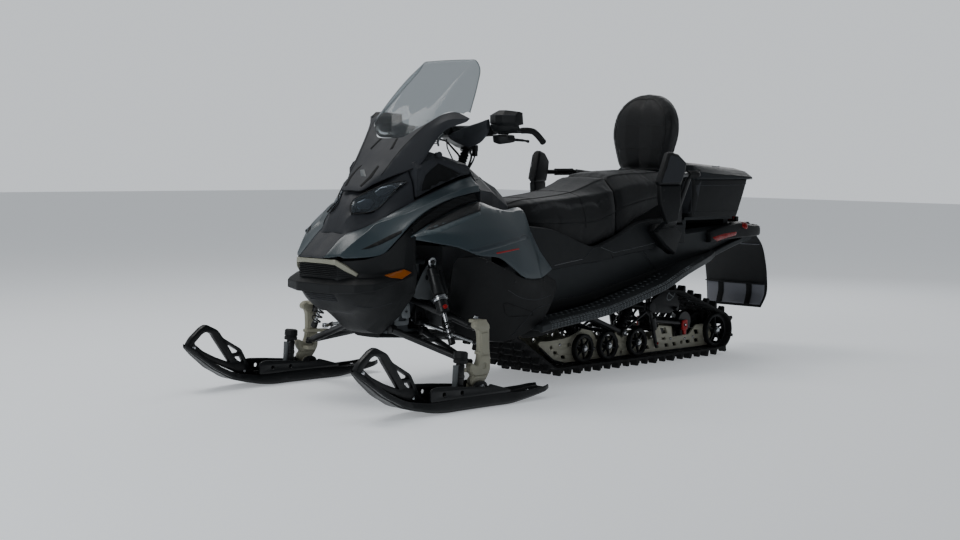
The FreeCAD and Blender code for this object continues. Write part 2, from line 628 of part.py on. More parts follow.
# x: outer y, z of the board's underside
BOARD = ((395, 398, 250), (330, 402, 260), (148, 404, 278), (-80, 404, 304), (-281, 402, 345), (-493, 396, 394), (-692, 370, 453), (-972, 298, 506), (-1090, 240, 522))
rings = []
for x, y, z in BOARD:
    rings.append([(x, TUNNEL_HALF + 0.5, z + 4), (x, y - 22, z + 4), (x, y - 14, z - 6), (x, y, z), (x, y, z + 26), (x, y - 24, z + 34), (x, TUNNEL_HALF + 0.5, z + 22)])
board = rings_solid(rings[::-1]).cut(side_low).cut(belly)
part("running_boards", both(board))

# plastic covers along the tunnel's sides, below the seat; x: low z, high z
COVER = ((340, 470, 712), (150, 500, 690), (-60, 520, 622), (-150, 525, 604), (-240, 535, 626), (-330, 548, 656), (-455, 560, 706), (-700, 588, 724), (-765, 592, 696), (-830, 596, 694))
rings = []
for x, lo, hi in COVER:
    y = TUNNEL_HALF + 0.5
    rings.append([(x, y, lo), (x, y + 34, lo + 6), (x, y + 28, hi - 6), (x, y, hi)])
cover = rings_solid(rings[::-1]).cut(side_up).cut(side_low)
part("side_covers", both(cover))

# fuel tank / seat base block between tunnel and seat
tank = body({
    -760: ((0, 662), (170, 662), (186, 700), (150, 795), (0, 795)),
    -345: ((0, 625), (170, 625), (186, 650), (148, 686), (0, 686)),
    -128: ((0, 598), (176, 598), (178, 606), (146, 616), (0, 616)),
    118: ((0, 584), (150, 584), (172, 610), (126, 658), (0, 658)),
    320: ((0, 560), (160, 560), (200, 600), (110, 738), (0, 738)),
}).cut(tunnel).cut(console).cut(PARTS["rider_seat"]).cut(PARTS["passenger_seat"])
part("seat_base", tank)

# ---------------------------------------------------------------- passenger guards and grips
# the shield leans outward towards the rear: drawn along x, then turned about the upright line through its middle
def leaning(xz, y0, y1):
    shape = prism_y(xz, y0, y1)
    shape.rotate(V(-470, 421, 0), V(0, 0, 1), -16)
    return shape


guard_p = leaning(((-388, 905), (-413, 971), (-440, 1044), (-458, 1049), (-506, 1038), (-555, 997), (-549, 954), (-524, 891), (-395, 890)), 399, 443)
shaft_p = leaning(((-398, 892), (-522, 893), (-527, 802), (-507, 717), (-448, 706), (-404, 805)), 404, 438)
arm_p = rings_solid([
    [(-440, 400, 720), (-508, 414, 730), (-508, 444, 730), (-440, 426, 720)],
    [(-470, 340, 690), (-568, 346, 700), (-568, 388, 700), (-470, 380, 690)],
    [(-530, 252, 652), (-664, 252, 664), (-664, 306, 684), (-530, 306, 672)],
])
foot_p = prism_y(((-523, 662), (-551, 700), (-658, 699), (-743, 657), (-683, 545), (-602, 587)), 248, 300)
part("passenger_guards", both(guard_p.fuse(shaft_p).fuse(arm_p).fuse(foot_p).removeSplitter().cut(cover).cut(board)))
grip_bar = fuse(rod((-536, 436, 940), (-728, 392, 942), 12), rod((-600, 421.3, 940.7), (-700, 398.4, 941.7), 16))
grip_foot = fuse(rod((-728, 394, 942), (-772, 300, 930), 14), rod((-770, 306, 932), (-800, 214, 760), 13), block(-826, -776, 196, 222, 700, 790))
part("passenger_grips", both(fuse(grip_bar, grip_foot).cut(guard_p)))

# ---------------------------------------------------------------- cargo box and lid
BOX = ((-886, -1350, 240, 724, 0), (-886, -1390, 252, 840, 0), (-886, -1412, 258, 912, 0))   # front x, rear x, half width, z


def box_ring(xf, xr, w, z, t):
    xf, xr, w = xf - t, xr + t, w - t
    c = 46 - t * 0.6
    return [(xf, -w, z), (xf, w, z), (xr + c + 40, w, z), (xr + c * 0.4, w - c, z), (xr, w - 2 * c, z), (xr, -w + 2 * c, z), (xr + c * 0.4, -w + c, z), (xr + c + 40, -w, z)]


outer_box = rings_solid([box_ring(a, b, w, z, 0) for a, b, w, z, _ in BOX])
inner_box = rings_solid([box_ring(a, b, w, z + (BOX_WALL if i == 0 else (1 if i == 2 else 0)), BOX_WALL) for i, (a, b, w, z, _) in enumerate(BOX)])
# the wall's top edge steps down towards the rear
part("cargo_box", outer_box.cut(inner_box))
LID = ((-890, -1418, 264, 914), (-894, -1456, 264, 950), (-904, -1438, 228, 984), (-930, -1400, 182, 996))   # front x, rear x, half width, z
lid_out = rings_solid([box_ring(a, b, w, z, 0) for a, b, w, z in LID])
lid_in = rings_solid([box_ring(a, b, w, z - (2 if i == 0 else (10 if i == 3 else (8 if i == 2 else 0))), 9) for i, (a, b, w, z) in enumerate(LID)])
lid = lid_out.cut(lid_in)
part("cargo_lid", lid)

# rack between tunnel and box
rack = fuse(block(-1300, -890, -190, 190, 708, 722), block(-930, -900, -170, 170, 640, 708).cut(tunnel), block(-1290, -1250, -170, 170, 640, 708).cut(tunnel))
part("cargo_rack", rack.cut(tunnel))

# ---------------------------------------------------------------- rear bumper, tail light, snow flap
BUMP_R = ((-1050, 240, 592, 654), (-1200, 246, 604, 686), (-1330, 246, 610, 696), (-1400, 244, 612, 682), (-1500, 226, 616, 678), (-1560, 190, 620, 674))   # x, outer y, low z, high z
rings = []
for x, y, lo, hi in BUMP_R:
    rings.append([(x, TUNNEL_HALF + 0.5 if x > -1400 else y - 40, lo), (x, y, lo + 8), (x, y - 4, hi - 10), (x, TUNNEL_HALF + 0.5 if x > -1400 else y - 44, hi)])
wing = rings_solid(rings[::-1])
cross = prism_z(((-1452, -212), (-1452, 212), (-1500, 210), (-1562, 170), (-1572, 0), (-1562, -170), (-1500, -210)), 622, 680)
part("rear_bumper", fuse(wing.cut(cross), flip(wing.cut(cross)), cross).cut(tunnel))
lights = rings_solid([
    [(-1340, 222, 700), (-1340, 150, 700), (-1340, 150, 720), (-1340, 216, 722)],
    [(-1400, 222, 700), (-1400, 150, 700), (-1400, 150, 726), (-1400, 214, 730)],
    [(-1460, 212, 692), (-1460, 150, 692), (-1460, 150, 716), (-1460, 204, 716)],
][::-1])
tail = block(-1440, -1400, -120, 120, 692, 722)
part("tail_light", tail.cut(outer_box))
FLAP = ((-1500, 196, 622), (-1560, 200, 560), (-1612, 200, 400), (-1620, 196, 300), (-1596, 176, 226))   # x, half width, z
rings = []
for x, w, z in FLAP:
    rings.append([(x, -w, z), (x, w, z), (x - 10, w, z), (x - 10, -w, z)])
part("snow_flap", rings_solid(rings[::-1]).cut(PARTS["rear_bumper"]))

# ---------------------------------------------------------------- track: a closed loop of arcs and straights
# wheels that the belt's inner face runs round, anticlockwise seen from the left (x, z, r)
LOOP = ((392, 352, 92), (-870, 262, 84), (-1222, 130, 89), (40, 122, 81))


def belt_runs():
    """Tangent runs and arcs of the belt's inner face: (kind, length, data)."""
    n, out, tangents = len(LOOP), [], []
    for i in range(n):
        (x0, z0, r0), (x1, z1, r1) = LOOP[i], LOOP[(i + 1) % n]
        d = math.hypot(x1 - x0, z1 - z0)
        normal = math.atan2(z1 - z0, x1 - x0) - math.acos((r0 - r1) / d)
        tangents.append(normal)
    for i in range(n):
        (x0, z0, r0), (x1, z1, r1) = LOOP[i], LOOP[(i + 1) % n]
        a = tangents[i]
        p = (x0 + r0 * math.cos(a), z0 + r0 * math.sin(a))
        q = (x1 + r1 * math.cos(a), z1 + r1 * math.sin(a))
        out.append(("run", math.hypot(q[0] - p[0], q[1] - p[1]), p, q, a))
        sweep = (tangents[(i + 1) % n] - a) % (2 * math.pi)
        out.append(("arc", r1 * sweep, (x1, z1), r1, a, sweep))
    return out


RUNS = belt_runs()
BELT_LENGTH = sum(r[1] for r in RUNS)
LUGS = round(BELT_LENGTH / PITCH)


def on_belt(s, lift):
    """The point at length s round the belt, lift outside its inner face (x, z)."""
    s %= BELT_LENGTH
    for r in RUNS:
        if s <= r[1] + 1e-9:
            if r[0] == "run":
                k = s / r[1]
                x = r[2][0] + (r[3][0] - r[2][0]) * k + lift * math.cos(r[4])
                z = r[2][1] + (r[3][1] - r[2][1]) * k + lift * math.sin(r[4])
                return x, z
            a = r[4] + r[5] * s / r[1]
            return r[2][0] + (r[3] + lift) * math.cos(a), r[2][1] + (r[3] + lift) * math.sin(a)
        s -= r[1]
    return on_belt(0.0, lift)


stations = [(k * BELT_LENGTH / LUGS + ds, lift) for k in range(LUGS) for ds, lift in ((-13, BELT_T), (-8, BELT_T + LUG_H), (8, BELT_T + LUG_H), (13, BELT_T))]
done = 0.0
for r in RUNS:
    if r[0] == "arc":
        steps = max(3, int(math.degrees(r[5]) / 11))
        for j in range(steps + 1):
            s0 = done + r[1] * j / steps
            gap_to_lug = abs((s0 + BELT_LENGTH / LUGS / 2) % (BELT_LENGTH / LUGS) - BELT_LENGTH / LUGS / 2)
            if gap_to_lug > 15:
                stations.append((s0, BELT_T))
    else:
        for s0 in (done, done + r[1]):
            gap_to_lug = abs((s0 + BELT_LENGTH / LUGS / 2) % (BELT_LENGTH / LUGS) - BELT_LENGTH / LUGS / 2)
            if gap_to_lug > 15:
                stations.append((s0, BELT_T))
    done += r[1]
stations = sorted(set((round(s0 % BELT_LENGTH, 3), lift) for s0, lift in stations))
outline = [on_belt(s0, lift) for s0, lift in stations]
inner_pts = []
done = 0.0
for r in RUNS:
    if r[0] == "arc":
        steps = max(3, int(math.degrees(r[5]) / 9))
        # points lie outside the arc so that the flats stay clear of the wheels
        grow = r[3] * (1 / math.cos(r[5] / steps / 2) - 1)
        inner_pts += [on_belt(done + r[1] * j / steps, grow if 0 < j < steps else 0) for j in range(steps + 1)]
    done += r[1]
belt = prism_y(outline, -TRACK_HALF, TRACK_HALF).cut(prism_y(inner_pts, -TRACK_HALF - 1, TRACK_HALF + 1))
part("track", belt)

# ---------------------------------------------------------------- slide rails, wheels, arms inside the track
# side view of a rail (x, z)
RAIL = ((-1250, 96), (-1236, 46), (-70, 46), (10, 70), (96, 134), (112, 150), (100, 162), (50, 158), (-68, 163), (-146, 177), (-206, 201), (-273, 186), (-310, 140), (-420, 140),
        (-465, 178), (-505, 178), (-540, 150), (-590, 120), (-740, 112), (-764, 150), (-797, 178), (-900, 166), (-909, 112), (-1048, 116), (-1103, 161), (-1205, 160), (-1240, 156))
HOLES = ((-206, 162, 13), (-246, 150, 9), (-500, 148, 12), (-500, 66, 8), (-470, 96, 12), (-985, 78, 10), (-108, 132, 11), (20, 128, 9))   # x, z, r
# slanted slots: middle x, middle z, length, height
SLOTS = ((-10, 100, 26, 16), (-66, 76, 30, 16), (-836, 148, 46, 30), (-836, 108, 30, 12), (-700, 74, 30, 18), (-780, 72, 30, 18), (-862, 72, 30, 18), (-925, 74, 26, 18), (-1040, 78, 34, 18), (-1112, 80, 34, 18), (-1112, 124, 36, 24))
rail = prism_y(RAIL, 106, 118)
for x, z, r in HOLES:
    rail = rail.cut(cyl_y(x, z, r, 100, 124))
for x, z, l, h in SLOTS:
    rail = rail.cut(prism_y(((x - l / 2 - h / 4, z - h / 2), (x + l / 2 - h / 4, z - h / 2), (x + l / 2 + h / 4, z + h / 2), (x - l / 2 + h / 4, z + h / 2)), 100, 124))
rail = rail.cut(cyl_y(-1222, 130, 12, 100, 124))
part("slide_rails", both(rail))

WHEELS = ((-176, 112, 70), (-358, 112, 70), (-584, 112, 70))     # x, z, r of the lower wheels


def wheel(x, z, r, y0, y1):
    w = ring_y(x, z, r, r - 14, y0, y1).fuse(ring_y(x, z, 22, 8, y0 - 2, y1 + 2))
    for k in range(6):
        a = k * math.pi / 3
        w = w.fuse(rod((x + 19 * math.cos(a), (y0 + y1) / 2, z + 19 * math.sin(a)), (x + (r - 8) * math.cos(a), (y0 + y1) / 2, z + (r - 8) * math.sin(a)), 6))
    return w.removeSplitter()


axles = [both(rod((x, 119, z), (x, 163, z), 8)) for x, z, r in WHEELS]
part("lower_wheels", [both(wheel(x, z, r, 130, 158).cut(rod((x, 119, z), (x, 170, z), 8))) for x, z, r in WHEELS] + axles)
rear_axle = cyl_y(-1222, 130, 12, -176, 176)
part("rear_wheels", [both(wheel(-1222, 130, 88.5, 136, 166).cut(rear_axle)), both(wheel(-1222, 130, 88.5, 14, 40).cut(rear_axle)), rear_axle])
upper_axle = cyl_y(-870, 262, 11, -176, 176)
part("upper_wheels", [both(wheel(-870, 262, 83.5, 60, 86).cut(upper_axle)), upper_axle])
drive_axle = cyl_y(392, 352, 16, -204, 204)
part("drive_axle", [drive_axle] + [both(cyl_y(392, 352, 91, y, y + 26).cut(drive_axle)) for y in (36, 120)])

# front arm: top shaft in the tunnel, inner legs to the rails' cross tube, and the long link outside each rail
front_arm = fuse(cyl_y(-60, 320, 14, -204, 204), cyl_y(-479, 166, 10, -105, 105), rod((-60, 88, 320), (-479, 88, 166), 12), rod((-60, -88, 320), (-479, -88, 166), 12))
long_link = fuse(rod((-60, 132, 320), (-479, 132, 166), 12), cyl_y(-479, 166, 18, 118.5, 146), rod((-479, 132, 166), (-680, 132, 262), 7))
# rear arm: top shaft with its rollers, inner legs, the upright outside each rail and the cheek plate
rear_arm = fuse(cyl_y(-668, 282, 20, -150, 150), cyl_y(-836, 150, 12, -105, 105), rod((-668, 88, 282), (-836, 88, 150), 14), rod((-668, -88, 282), (-836, -88, 150), 14))
upright = fuse(rod((-700, 131, 272), (-758, 131, 75), 9), rod((-736, 131, 206), (-940, 131, 181), 11))
cheek_plate = prism_y(((-640, 262), (-640, 300), (-700, 306), (-790, 326), (-892, 330), (-916, 261), (-835, 240), (-699, 250)), 144, 151).cut(upper_axle)
# the spring's adjuster drum
drum = cyl_y(-994, 186, 50, 100, 128)
adjuster = block(-996, -946, 128, 140, 120, 195)
front_all = front_arm.fuse(long_link).fuse(flip(long_link))
rear_all = rear_arm.fuse(upright).fuse(flip(upright)).fuse(cheek_plate).fuse(flip(cheek_plate))
drum_arm = fuse(drum, adjuster).fuse(cyl_y(-994, 186, 14, -100, 100)).fuse(flip(fuse(drum, adjuster)))
part("skid_arms", [front_all.cut(rear_all).cut(upper_axle), rear_all.cut(upper_axle).removeSplitter(), drum_arm.cut(rear_all).cut(rail).cut(flip(rail))])
mid_shock = fuse(rod((-130, 0, 292), (-300, 0, 140), 24), rod((-300, 0, 140), (-398, 0, 76), 10), cyl_y(-405, 76, 13, -105, 105))
rear_shock = fuse(rod((-690, 0, 256), (-596, 0, 130), 24), rod((-596, 0, 130), (-572, 0, 98), 10))
part("skid_shocks", [mid_shock.cut(front_all), rear_shock.cut(rear_all).cut(mid_shock).cut(front_all)])

# ---------------------------------------------------------------- write the parts
for name, shape in PARTS.items():
    solids = shape.Solids
    bad = [i for i, q in enumerate(solids) if not q.isValid() or q.Volume < 50]
    print(f"{name:22s} solids {len(solids):3d}  volume {sum(q.Volume for q in solids) / 1e6:8.3f} L {'BAD ' + str(bad) if bad or not solids else ''}")
    out = solids[0] if len(solids) == 1 else Part.makeCompound(solids)
    out.exportStep(f"parts/{name}.step")
print("belt", round(BELT_LENGTH), "mm,", LUGS, "lugs; nodes", len(PARTS))
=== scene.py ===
import json
import math
import bpy
import bmesh
import numpy as np
from mathutils import Matrix, Vector

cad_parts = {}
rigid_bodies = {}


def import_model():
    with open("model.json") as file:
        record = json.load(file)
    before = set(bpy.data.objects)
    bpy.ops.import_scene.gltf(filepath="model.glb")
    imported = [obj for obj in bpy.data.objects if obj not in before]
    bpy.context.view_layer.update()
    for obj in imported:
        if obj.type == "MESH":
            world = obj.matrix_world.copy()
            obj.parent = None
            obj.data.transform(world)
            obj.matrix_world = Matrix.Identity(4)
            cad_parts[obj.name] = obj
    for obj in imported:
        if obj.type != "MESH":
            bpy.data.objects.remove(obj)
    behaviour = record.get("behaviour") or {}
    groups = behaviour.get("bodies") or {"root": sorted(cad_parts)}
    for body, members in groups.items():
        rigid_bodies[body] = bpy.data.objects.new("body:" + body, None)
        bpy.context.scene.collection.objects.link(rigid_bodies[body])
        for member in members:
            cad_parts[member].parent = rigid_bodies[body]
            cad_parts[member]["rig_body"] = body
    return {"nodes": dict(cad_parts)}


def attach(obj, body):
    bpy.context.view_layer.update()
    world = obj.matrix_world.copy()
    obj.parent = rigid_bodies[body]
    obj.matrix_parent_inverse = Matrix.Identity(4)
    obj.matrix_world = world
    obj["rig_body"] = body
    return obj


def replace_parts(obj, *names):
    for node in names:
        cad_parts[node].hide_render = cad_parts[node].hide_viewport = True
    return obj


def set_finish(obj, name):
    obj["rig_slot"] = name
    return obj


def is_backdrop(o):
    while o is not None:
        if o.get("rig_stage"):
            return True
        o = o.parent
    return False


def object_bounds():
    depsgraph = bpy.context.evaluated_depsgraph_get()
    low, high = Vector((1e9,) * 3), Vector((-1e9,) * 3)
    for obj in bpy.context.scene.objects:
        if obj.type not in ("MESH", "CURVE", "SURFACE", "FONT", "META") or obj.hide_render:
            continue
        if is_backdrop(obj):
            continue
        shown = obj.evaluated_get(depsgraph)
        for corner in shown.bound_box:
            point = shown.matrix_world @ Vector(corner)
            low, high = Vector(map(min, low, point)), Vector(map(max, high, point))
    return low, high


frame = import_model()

NODE = frame["nodes"]
BOX_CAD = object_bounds()
MM = 0.001
COLL = bpy.context.scene.collection


# ================================================================ camera, light, floor
def look(yaw, pitch, roll):
    """World matrix of a camera that looks along yaw and pitch, turned by roll."""
    d = Vector((math.cos(pitch) * math.cos(yaw), math.cos(pitch) * math.sin(yaw), math.sin(pitch)))
    r = d.cross(Vector((0, 0, 1))).normalized()
    u = r.cross(d)
    right = r * math.cos(roll) + u * math.sin(roll)
    up = -r * math.sin(roll) + u * math.cos(roll)
    m = Matrix.Identity(4)
    for i in range(3):
        m[i][0], m[i][1], m[i][2] = right[i], up[i], -d[i]
    return m


cam_data = bpy.data.cameras.new("camera")
cam_data.sensor_width = 36.0
cam_data.lens = 60.5487
cam_data.clip_end = 200
camera = bpy.data.objects.new("camera", cam_data)
COLL.objects.link(camera)
camera.matrix_world = Matrix.Translation((5.64714754, 5.0979608, 1.02050089)) @ look(3.91106958, -0.0708885121, 0.0124783476)
bpy.context.scene.camera = camera


def area_light(name, place, target, size, power, colour=(1, 1, 1), size_y=None):
    data = bpy.data.lights.new(name, "AREA")
    data.energy = power
    data.color = colour
    data.size = size
    if size_y:
        data.shape = "RECTANGLE"
        data.size_y = size_y
    ob = bpy.data.objects.new(name, data)
    COLL.objects.link(ob)
    ob.location = place
    ob.rotation_euler = (Vector(target) - Vector(place)).to_track_quat("-Z", "Y").to_euler()
    return ob


area_light("key_light", (1.6, -2.6, 5.6), (0.1, 0.0, 0.5), 2.6, 125, (1.0, 0.985, 0.965))
area_light("front_light", (6.0, 0.8, 2.4), (0.7, 0.0, 0.7), 2.4, 80, (0.95, 0.98, 1.0))
area_light("top_light", (0.0, 0.6, 6.5), (0.0, 0.0, 0.4), 5.0, 48, (0.98, 0.99, 1.0))
area_light("back_light", (-5.0, -2.2, 3.4), (-0.6, 0.0, 0.8), 2.4, 50, (1.0, 1.0, 1.0))
world = bpy.data.worlds.new("studio")
bpy.context.scene.world = world
world.use_nodes = True
wt = world.node_tree
sky = wt.nodes["Background"]
sky.inputs["Strength"].default_value = 0.95
# a studio with a pale wall behind the object (towards -X -Y) and a dim one on its near side
where = wt.nodes.new("ShaderNodeTexCoord")
dot = wt.nodes.new("ShaderNodeVectorMath")
dot.operation = "DOT_PRODUCT"
dot.inputs[1].default_value = (-0.70, -0.66, 0.28)
wt.links.new(where.outputs["Generated"], dot.inputs[0])
span = wt.nodes.new("ShaderNodeMapRange")
span.interpolation_type = "SMOOTHSTEP"
span.inputs["From Min"].default_value = -0.25
span.inputs["From Max"].default_value = 0.62
wt.links.new(dot.outputs["Value"], span.inputs["Value"])
walls = wt.nodes.new("ShaderNodeMix")
walls.data_type = "RGBA"
walls.inputs["A"].default_value = (0.060, 0.066, 0.073, 1)
walls.inputs["B"].default_value = (0.82, 0.86, 0.90, 1)
wt.links.new(span.outputs["Result"], walls.inputs["Factor"])
# what the object mirrors and receives from the walls is softer than the wall behind it
dim = wt.nodes.new("ShaderNodeMix")
dim.data_type = "RGBA"
dim.inputs["A"].default_value = (0.068, 0.074, 0.080, 1)
dim.inputs["B"].default_value = (0.40, 0.42, 0.44, 1)
wt.links.new(span.outputs["Result"], dim.inputs["Factor"])
rays = wt.nodes.new("ShaderNodeLightPath")
pick = wt.nodes.new("ShaderNodeMix")
pick.data_type = "RGBA"
wt.links.new(rays.outputs["Is Camera Ray"], pick.inputs["Factor"])
wt.links.new(dim.outputs["Result"], pick.inputs["A"])
wt.links.new(walls.outputs["Result"], pick.inputs["B"])
wt.links.new(pick.outputs["Result"], sky.inputs["Color"])


# ================================================================ materials
MATS = {}


def material(name, colour, rough=0.5, metal=0.0, vary=0.12, vary_scale=6.0, grain=0.0, grain_scale=900.0, grain_kind="noise",
             rough_vary=0.08, coat=0.0, coat_rough=0.2, sheen=0.0, transmission=0.0, ior=1.45, alpha=1.0, up_pale=0.0, emission=0.0,
             specular=0.3, streak=None):
    """A procedural finish: base colour with slow and fine variation, varied roughness, and grain as bump."""
    m = bpy.data.materials.new(name)
    m.use_nodes = True
    nt = m.node_tree
    bsdf = nt.nodes["Principled BSDF"]
    bsdf.inputs["Roughness"].default_value = rough
    bsdf.inputs["Metallic"].default_value = metal
    bsdf.inputs["IOR"].default_value = ior
    bsdf.inputs["Coat Weight"].default_value = coat
    bsdf.inputs["Coat Roughness"].default_value = coat_rough
    bsdf.inputs["Sheen Weight"].default_value = sheen
    bsdf.inputs["Specular IOR Level"].default_value = specular
    bsdf.inputs["Transmission Weight"].default_value = transmission
    bsdf.inputs["Alpha"].default_value = alpha
    if emission:
        bsdf.inputs["Emission Color"].default_value = (*colour, 1)
        bsdf.inputs["Emission Strength"].default_value = emission
    tex = nt.nodes.new("ShaderNodeTexCoord")
    slow = nt.nodes.new("ShaderNodeTexNoise")
    slow.inputs["Scale"].default_value = vary_scale
    slow.inputs["Detail"].default_value = 5.0
    slow.inputs["Roughness"].default_value = 0.6
    nt.links.new(tex.outputs["Object"], slow.inputs["Vector"])
    ramp = nt.nodes.new("ShaderNodeMix")
    ramp.data_type = "RGBA"
    lo = tuple(c * (1 - vary) for c in colour)
    hi = tuple(min(1.0, c * (1 + vary)) for c in colour)
    ramp.inputs["A"].default_value = (*lo, 1)
    ramp.inputs["B"].default_value = (*hi, 1)
    nt.links.new(slow.outputs["Fac"], ramp.inputs["Factor"])
    out = ramp.outputs["Result"]
    if streak:
        # fine lines along one axis: brushed metal or weave
        mapping = nt.nodes.new("ShaderNodeMapping")
        mapping.inputs["Scale"].default_value = streak
        nt.links.new(tex.outputs["Object"], mapping.inputs["Vector"])
        fine = nt.nodes.new("ShaderNodeTexNoise")
        fine.inputs["Scale"].default_value = 40.0
        fine.inputs["Detail"].default_value = 3.0
        nt.links.new(mapping.outputs["Vector"], fine.inputs["Vector"])
        mix = nt.nodes.new("ShaderNodeMix")
        mix.data_type = "RGBA"
        mix.blend_type = "MULTIPLY"
        mix.inputs["Factor"].default_value = 0.5
        nt.links.new(out, mix.inputs["A"])
        nt.links.new(fine.outputs["Color"], mix.inputs["B"])
        gain = nt.nodes.new("ShaderNodeMix")
        gain.data_type = "RGBA"
        gain.blend_type = "MULTIPLY"
        gain.inputs["Factor"].default_value = 1.0
        gain.inputs["B"].default_value = (1.35, 1.35, 1.35, 1)
        nt.links.new(mix.outputs["Result"], gain.inputs["A"])
        out = gain.outputs["Result"]
    if up_pale:
        # paler colour on faces that look up, patchy with the slow noise
        geo = nt.nodes.new("ShaderNodeNewGeometry")
        sep = nt.nodes.new("ShaderNodeSeparateXYZ")
        nt.links.new(geo.outputs["Normal"], sep.inputs["Vector"])
        up = nt.nodes.new("ShaderNodeMapRange")
        up.inputs["From Min"].default_value = 0.2
        up.inputs["From Max"].default_value = 1.0
        up.inputs["To Max"].default_value = up_pale
        nt.links.new(sep.outputs["Z"], up.inputs["Value"])
        mul = nt.nodes.new("ShaderNodeMath")
        mul.operation = "MULTIPLY"
        nt.links.new(up.outputs["Result"], mul.inputs[0])
        nt.links.new(slow.outputs["Fac"], mul.inputs[1])
        up_pale_mix = nt.nodes.new("ShaderNodeMix")
        up_pale_mix.data_type = "RGBA"
        up_pale_mix.inputs["B"].default_value = (0.30, 0.32, 0.34, 1)
        nt.links.new(mul.outputs["Value"], up_pale_mix.inputs["Factor"])
        nt.links.new(out, up_pale_mix.inputs["A"])
        out = up_pale_mix.outputs["Result"]
    nt.links.new(out, bsdf.inputs["Base Color"])
    rr = nt.nodes.new("ShaderNodeMapRange")
    rr.inputs["To Min"].default_value = max(0.02, rough - rough_vary)
    rr.inputs["To Max"].default_value = min(1.0, rough + rough_vary)
    second = nt.nodes.new("ShaderNodeTexNoise")
    second.inputs["Scale"].default_value = vary_scale * 5
    second.inputs["Detail"].default_value = 4.0
    nt.links.new(tex.outputs["Object"], second.inputs["Vector"])
    nt.links.new(second.outputs["Fac"], rr.inputs["Value"])
    nt.links.new(rr.outputs["Result"], bsdf.inputs["Roughness"])
    if grain:
        if grain_kind == "noise":
            g = nt.nodes.new("ShaderNodeTexNoise")
            g.inputs["Scale"].default_value = grain_scale
            g.inputs["Detail"].default_value = 2.0
            source = g.outputs["Fac"]
        else:
            g = nt.nodes.new("ShaderNodeTexVoronoi")
            g.inputs["Scale"].default_value = grain_scale
            source = g.outputs["Distance"]
        nt.links.new(tex.outputs["Object"], g.inputs["Vector"])
        b = nt.nodes.new("ShaderNodeBump")
        b.inputs["Strength"].default_value = grain
        b.inputs["Distance"].default_value = 0.001
        nt.links.new(source, b.inputs["Height"])
        nt.links.new(b.outputs["Normal"], bsdf.inputs["Normal"])
    MATS[name] = m
    return m


PAINT = material("slate_paint", (0.036, 0.052, 0.061), rough=0.38, coat=0.22, coat_rough=0.2, vary=0.06, vary_scale=3, grain=0.03, grain_scale=1600, rough_vary=0.05)
CHARCOAL = material("charcoal_plastic", (0.030, 0.0325, 0.038), rough=0.56, vary=0.08, grain=0.16, grain_scale=1500, grain_kind="voronoi")
BLACK = material("black_plastic", (0.0078, 0.0087, 0.0096), rough=0.5, vary=0.15, grain=0.14, grain_scale=1400, grain_kind="voronoi")
GLOSS = material("gloss_black", (0.006, 0.007, 0.008), rough=0.16, vary=0.1, coat=0.5, coat_rough=0.06, rough_vary=0.04)
DEEP = material("deep_shadow_plastic", (0.004, 0.0045, 0.005), rough=0.75, vary=0.2, grain=0.1, grain_scale=700)
CREAM = material("cream_paint", (0.30, 0.295, 0.235), rough=0.38, vary=0.07, grain=0.05, grain_scale=500, coat=0.15, rough_vary=0.08)
CREAM_CAST = material("cream_casting", (0.31, 0.30, 0.235), rough=0.5, vary=0.12, vary_scale=14, grain=0.25, grain_scale=420)
LENS_MAT = material("lamp_lens", (0.30, 0.34, 0.38), rough=0.06, transmission=0.9, ior=1.2, specular=0.25, vary=0.02, rough_vary=0.01)
CHROME = material("lamp_reflector", (0.42, 0.44, 0.46), rough=0.3, metal=1.0, vary=0.05, rough_vary=0.05)
SCREEN = material("tinted_screen", (0.60, 0.64, 0.66), rough=0.035, transmission=0.97, ior=1.10, vary=0.02, vary_scale=2, rough_vary=0.015)
AMBER = material("amber_lens", (0.30, 0.075, 0.004), rough=0.32, vary=0.08, vary_scale=30, coat=0.15, coat_rough=0.05, grain=0.25, grain_scale=260, grain_kind="voronoi")
RED = material("red_lens", (0.24, 0.005, 0.005), rough=0.22, vary=0.1, vary_scale=20, coat=0.4, coat_rough=0.06, grain=0.2, grain_scale=300, grain_kind="voronoi")
RED_PAINT = material("red_anodised", (0.33, 0.007, 0.008), rough=0.33, metal=0.2, vary=0.1, vary_scale=20)
STEEL = material("black_steel", (0.012, 0.0125, 0.0135), rough=0.36, vary=0.15, vary_scale=12, grain=0.06, grain_scale=900, coat=0.15)
ALLOY = material("bright_alloy", (0.46, 0.47, 0.485), rough=0.24, metal=1.0, vary=0.08, vary_scale=20, streak=(1, 40, 40))
GREY_CAST = material("grey_casting", (0.075, 0.082, 0.088), rough=0.5, metal=0.3, vary=0.12, vary_scale=9, grain=0.2, grain_scale=380)
CAST = material("cast_alloy", (0.16, 0.165, 0.17), rough=0.55, metal=0.7, vary=0.15, vary_scale=10, grain=0.35, grain_scale=300)
DARK_ALLOY = material("dark_alloy", (0.030, 0.0335, 0.036), rough=0.42, metal=0.35, vary=0.12, vary_scale=5, grain=0.05, grain_scale=700)
VINYL = material("seat_vinyl", (0.0058, 0.0064, 0.0074), rough=0.52, vary=0.12, vary_scale=9, grain=0.40, grain_scale=620, grain_kind="voronoi", sheen=0.12, rough_vary=0.07)
# a paler copy of the seat vinyl: painted light on the seats' upward faces
VINYL_LIT = material("seat_vinyl_top", (0.011, 0.0125, 0.0142), rough=0.58, vary=0.10, vary_scale=9, grain=0.45, grain_scale=480, grain_kind="voronoi", sheen=0.2, rough_vary=0.07)
THREAD = material("seat_thread", (0.020, 0.021, 0.023), rough=0.8, vary=0.2, vary_scale=90, grain=0.5, grain_scale=1500)
RUBBER = material("track_rubber", (0.014, 0.0142, 0.0145), rough=0.78, vary=0.25, vary_scale=14, grain=0.4, grain_scale=240, up_pale=0.10)
FLAP_MAT = material("flap_rubber", (0.016, 0.0168, 0.018), rough=0.6, vary=0.15, vary_scale=6, grain=0.15, grain_scale=500)
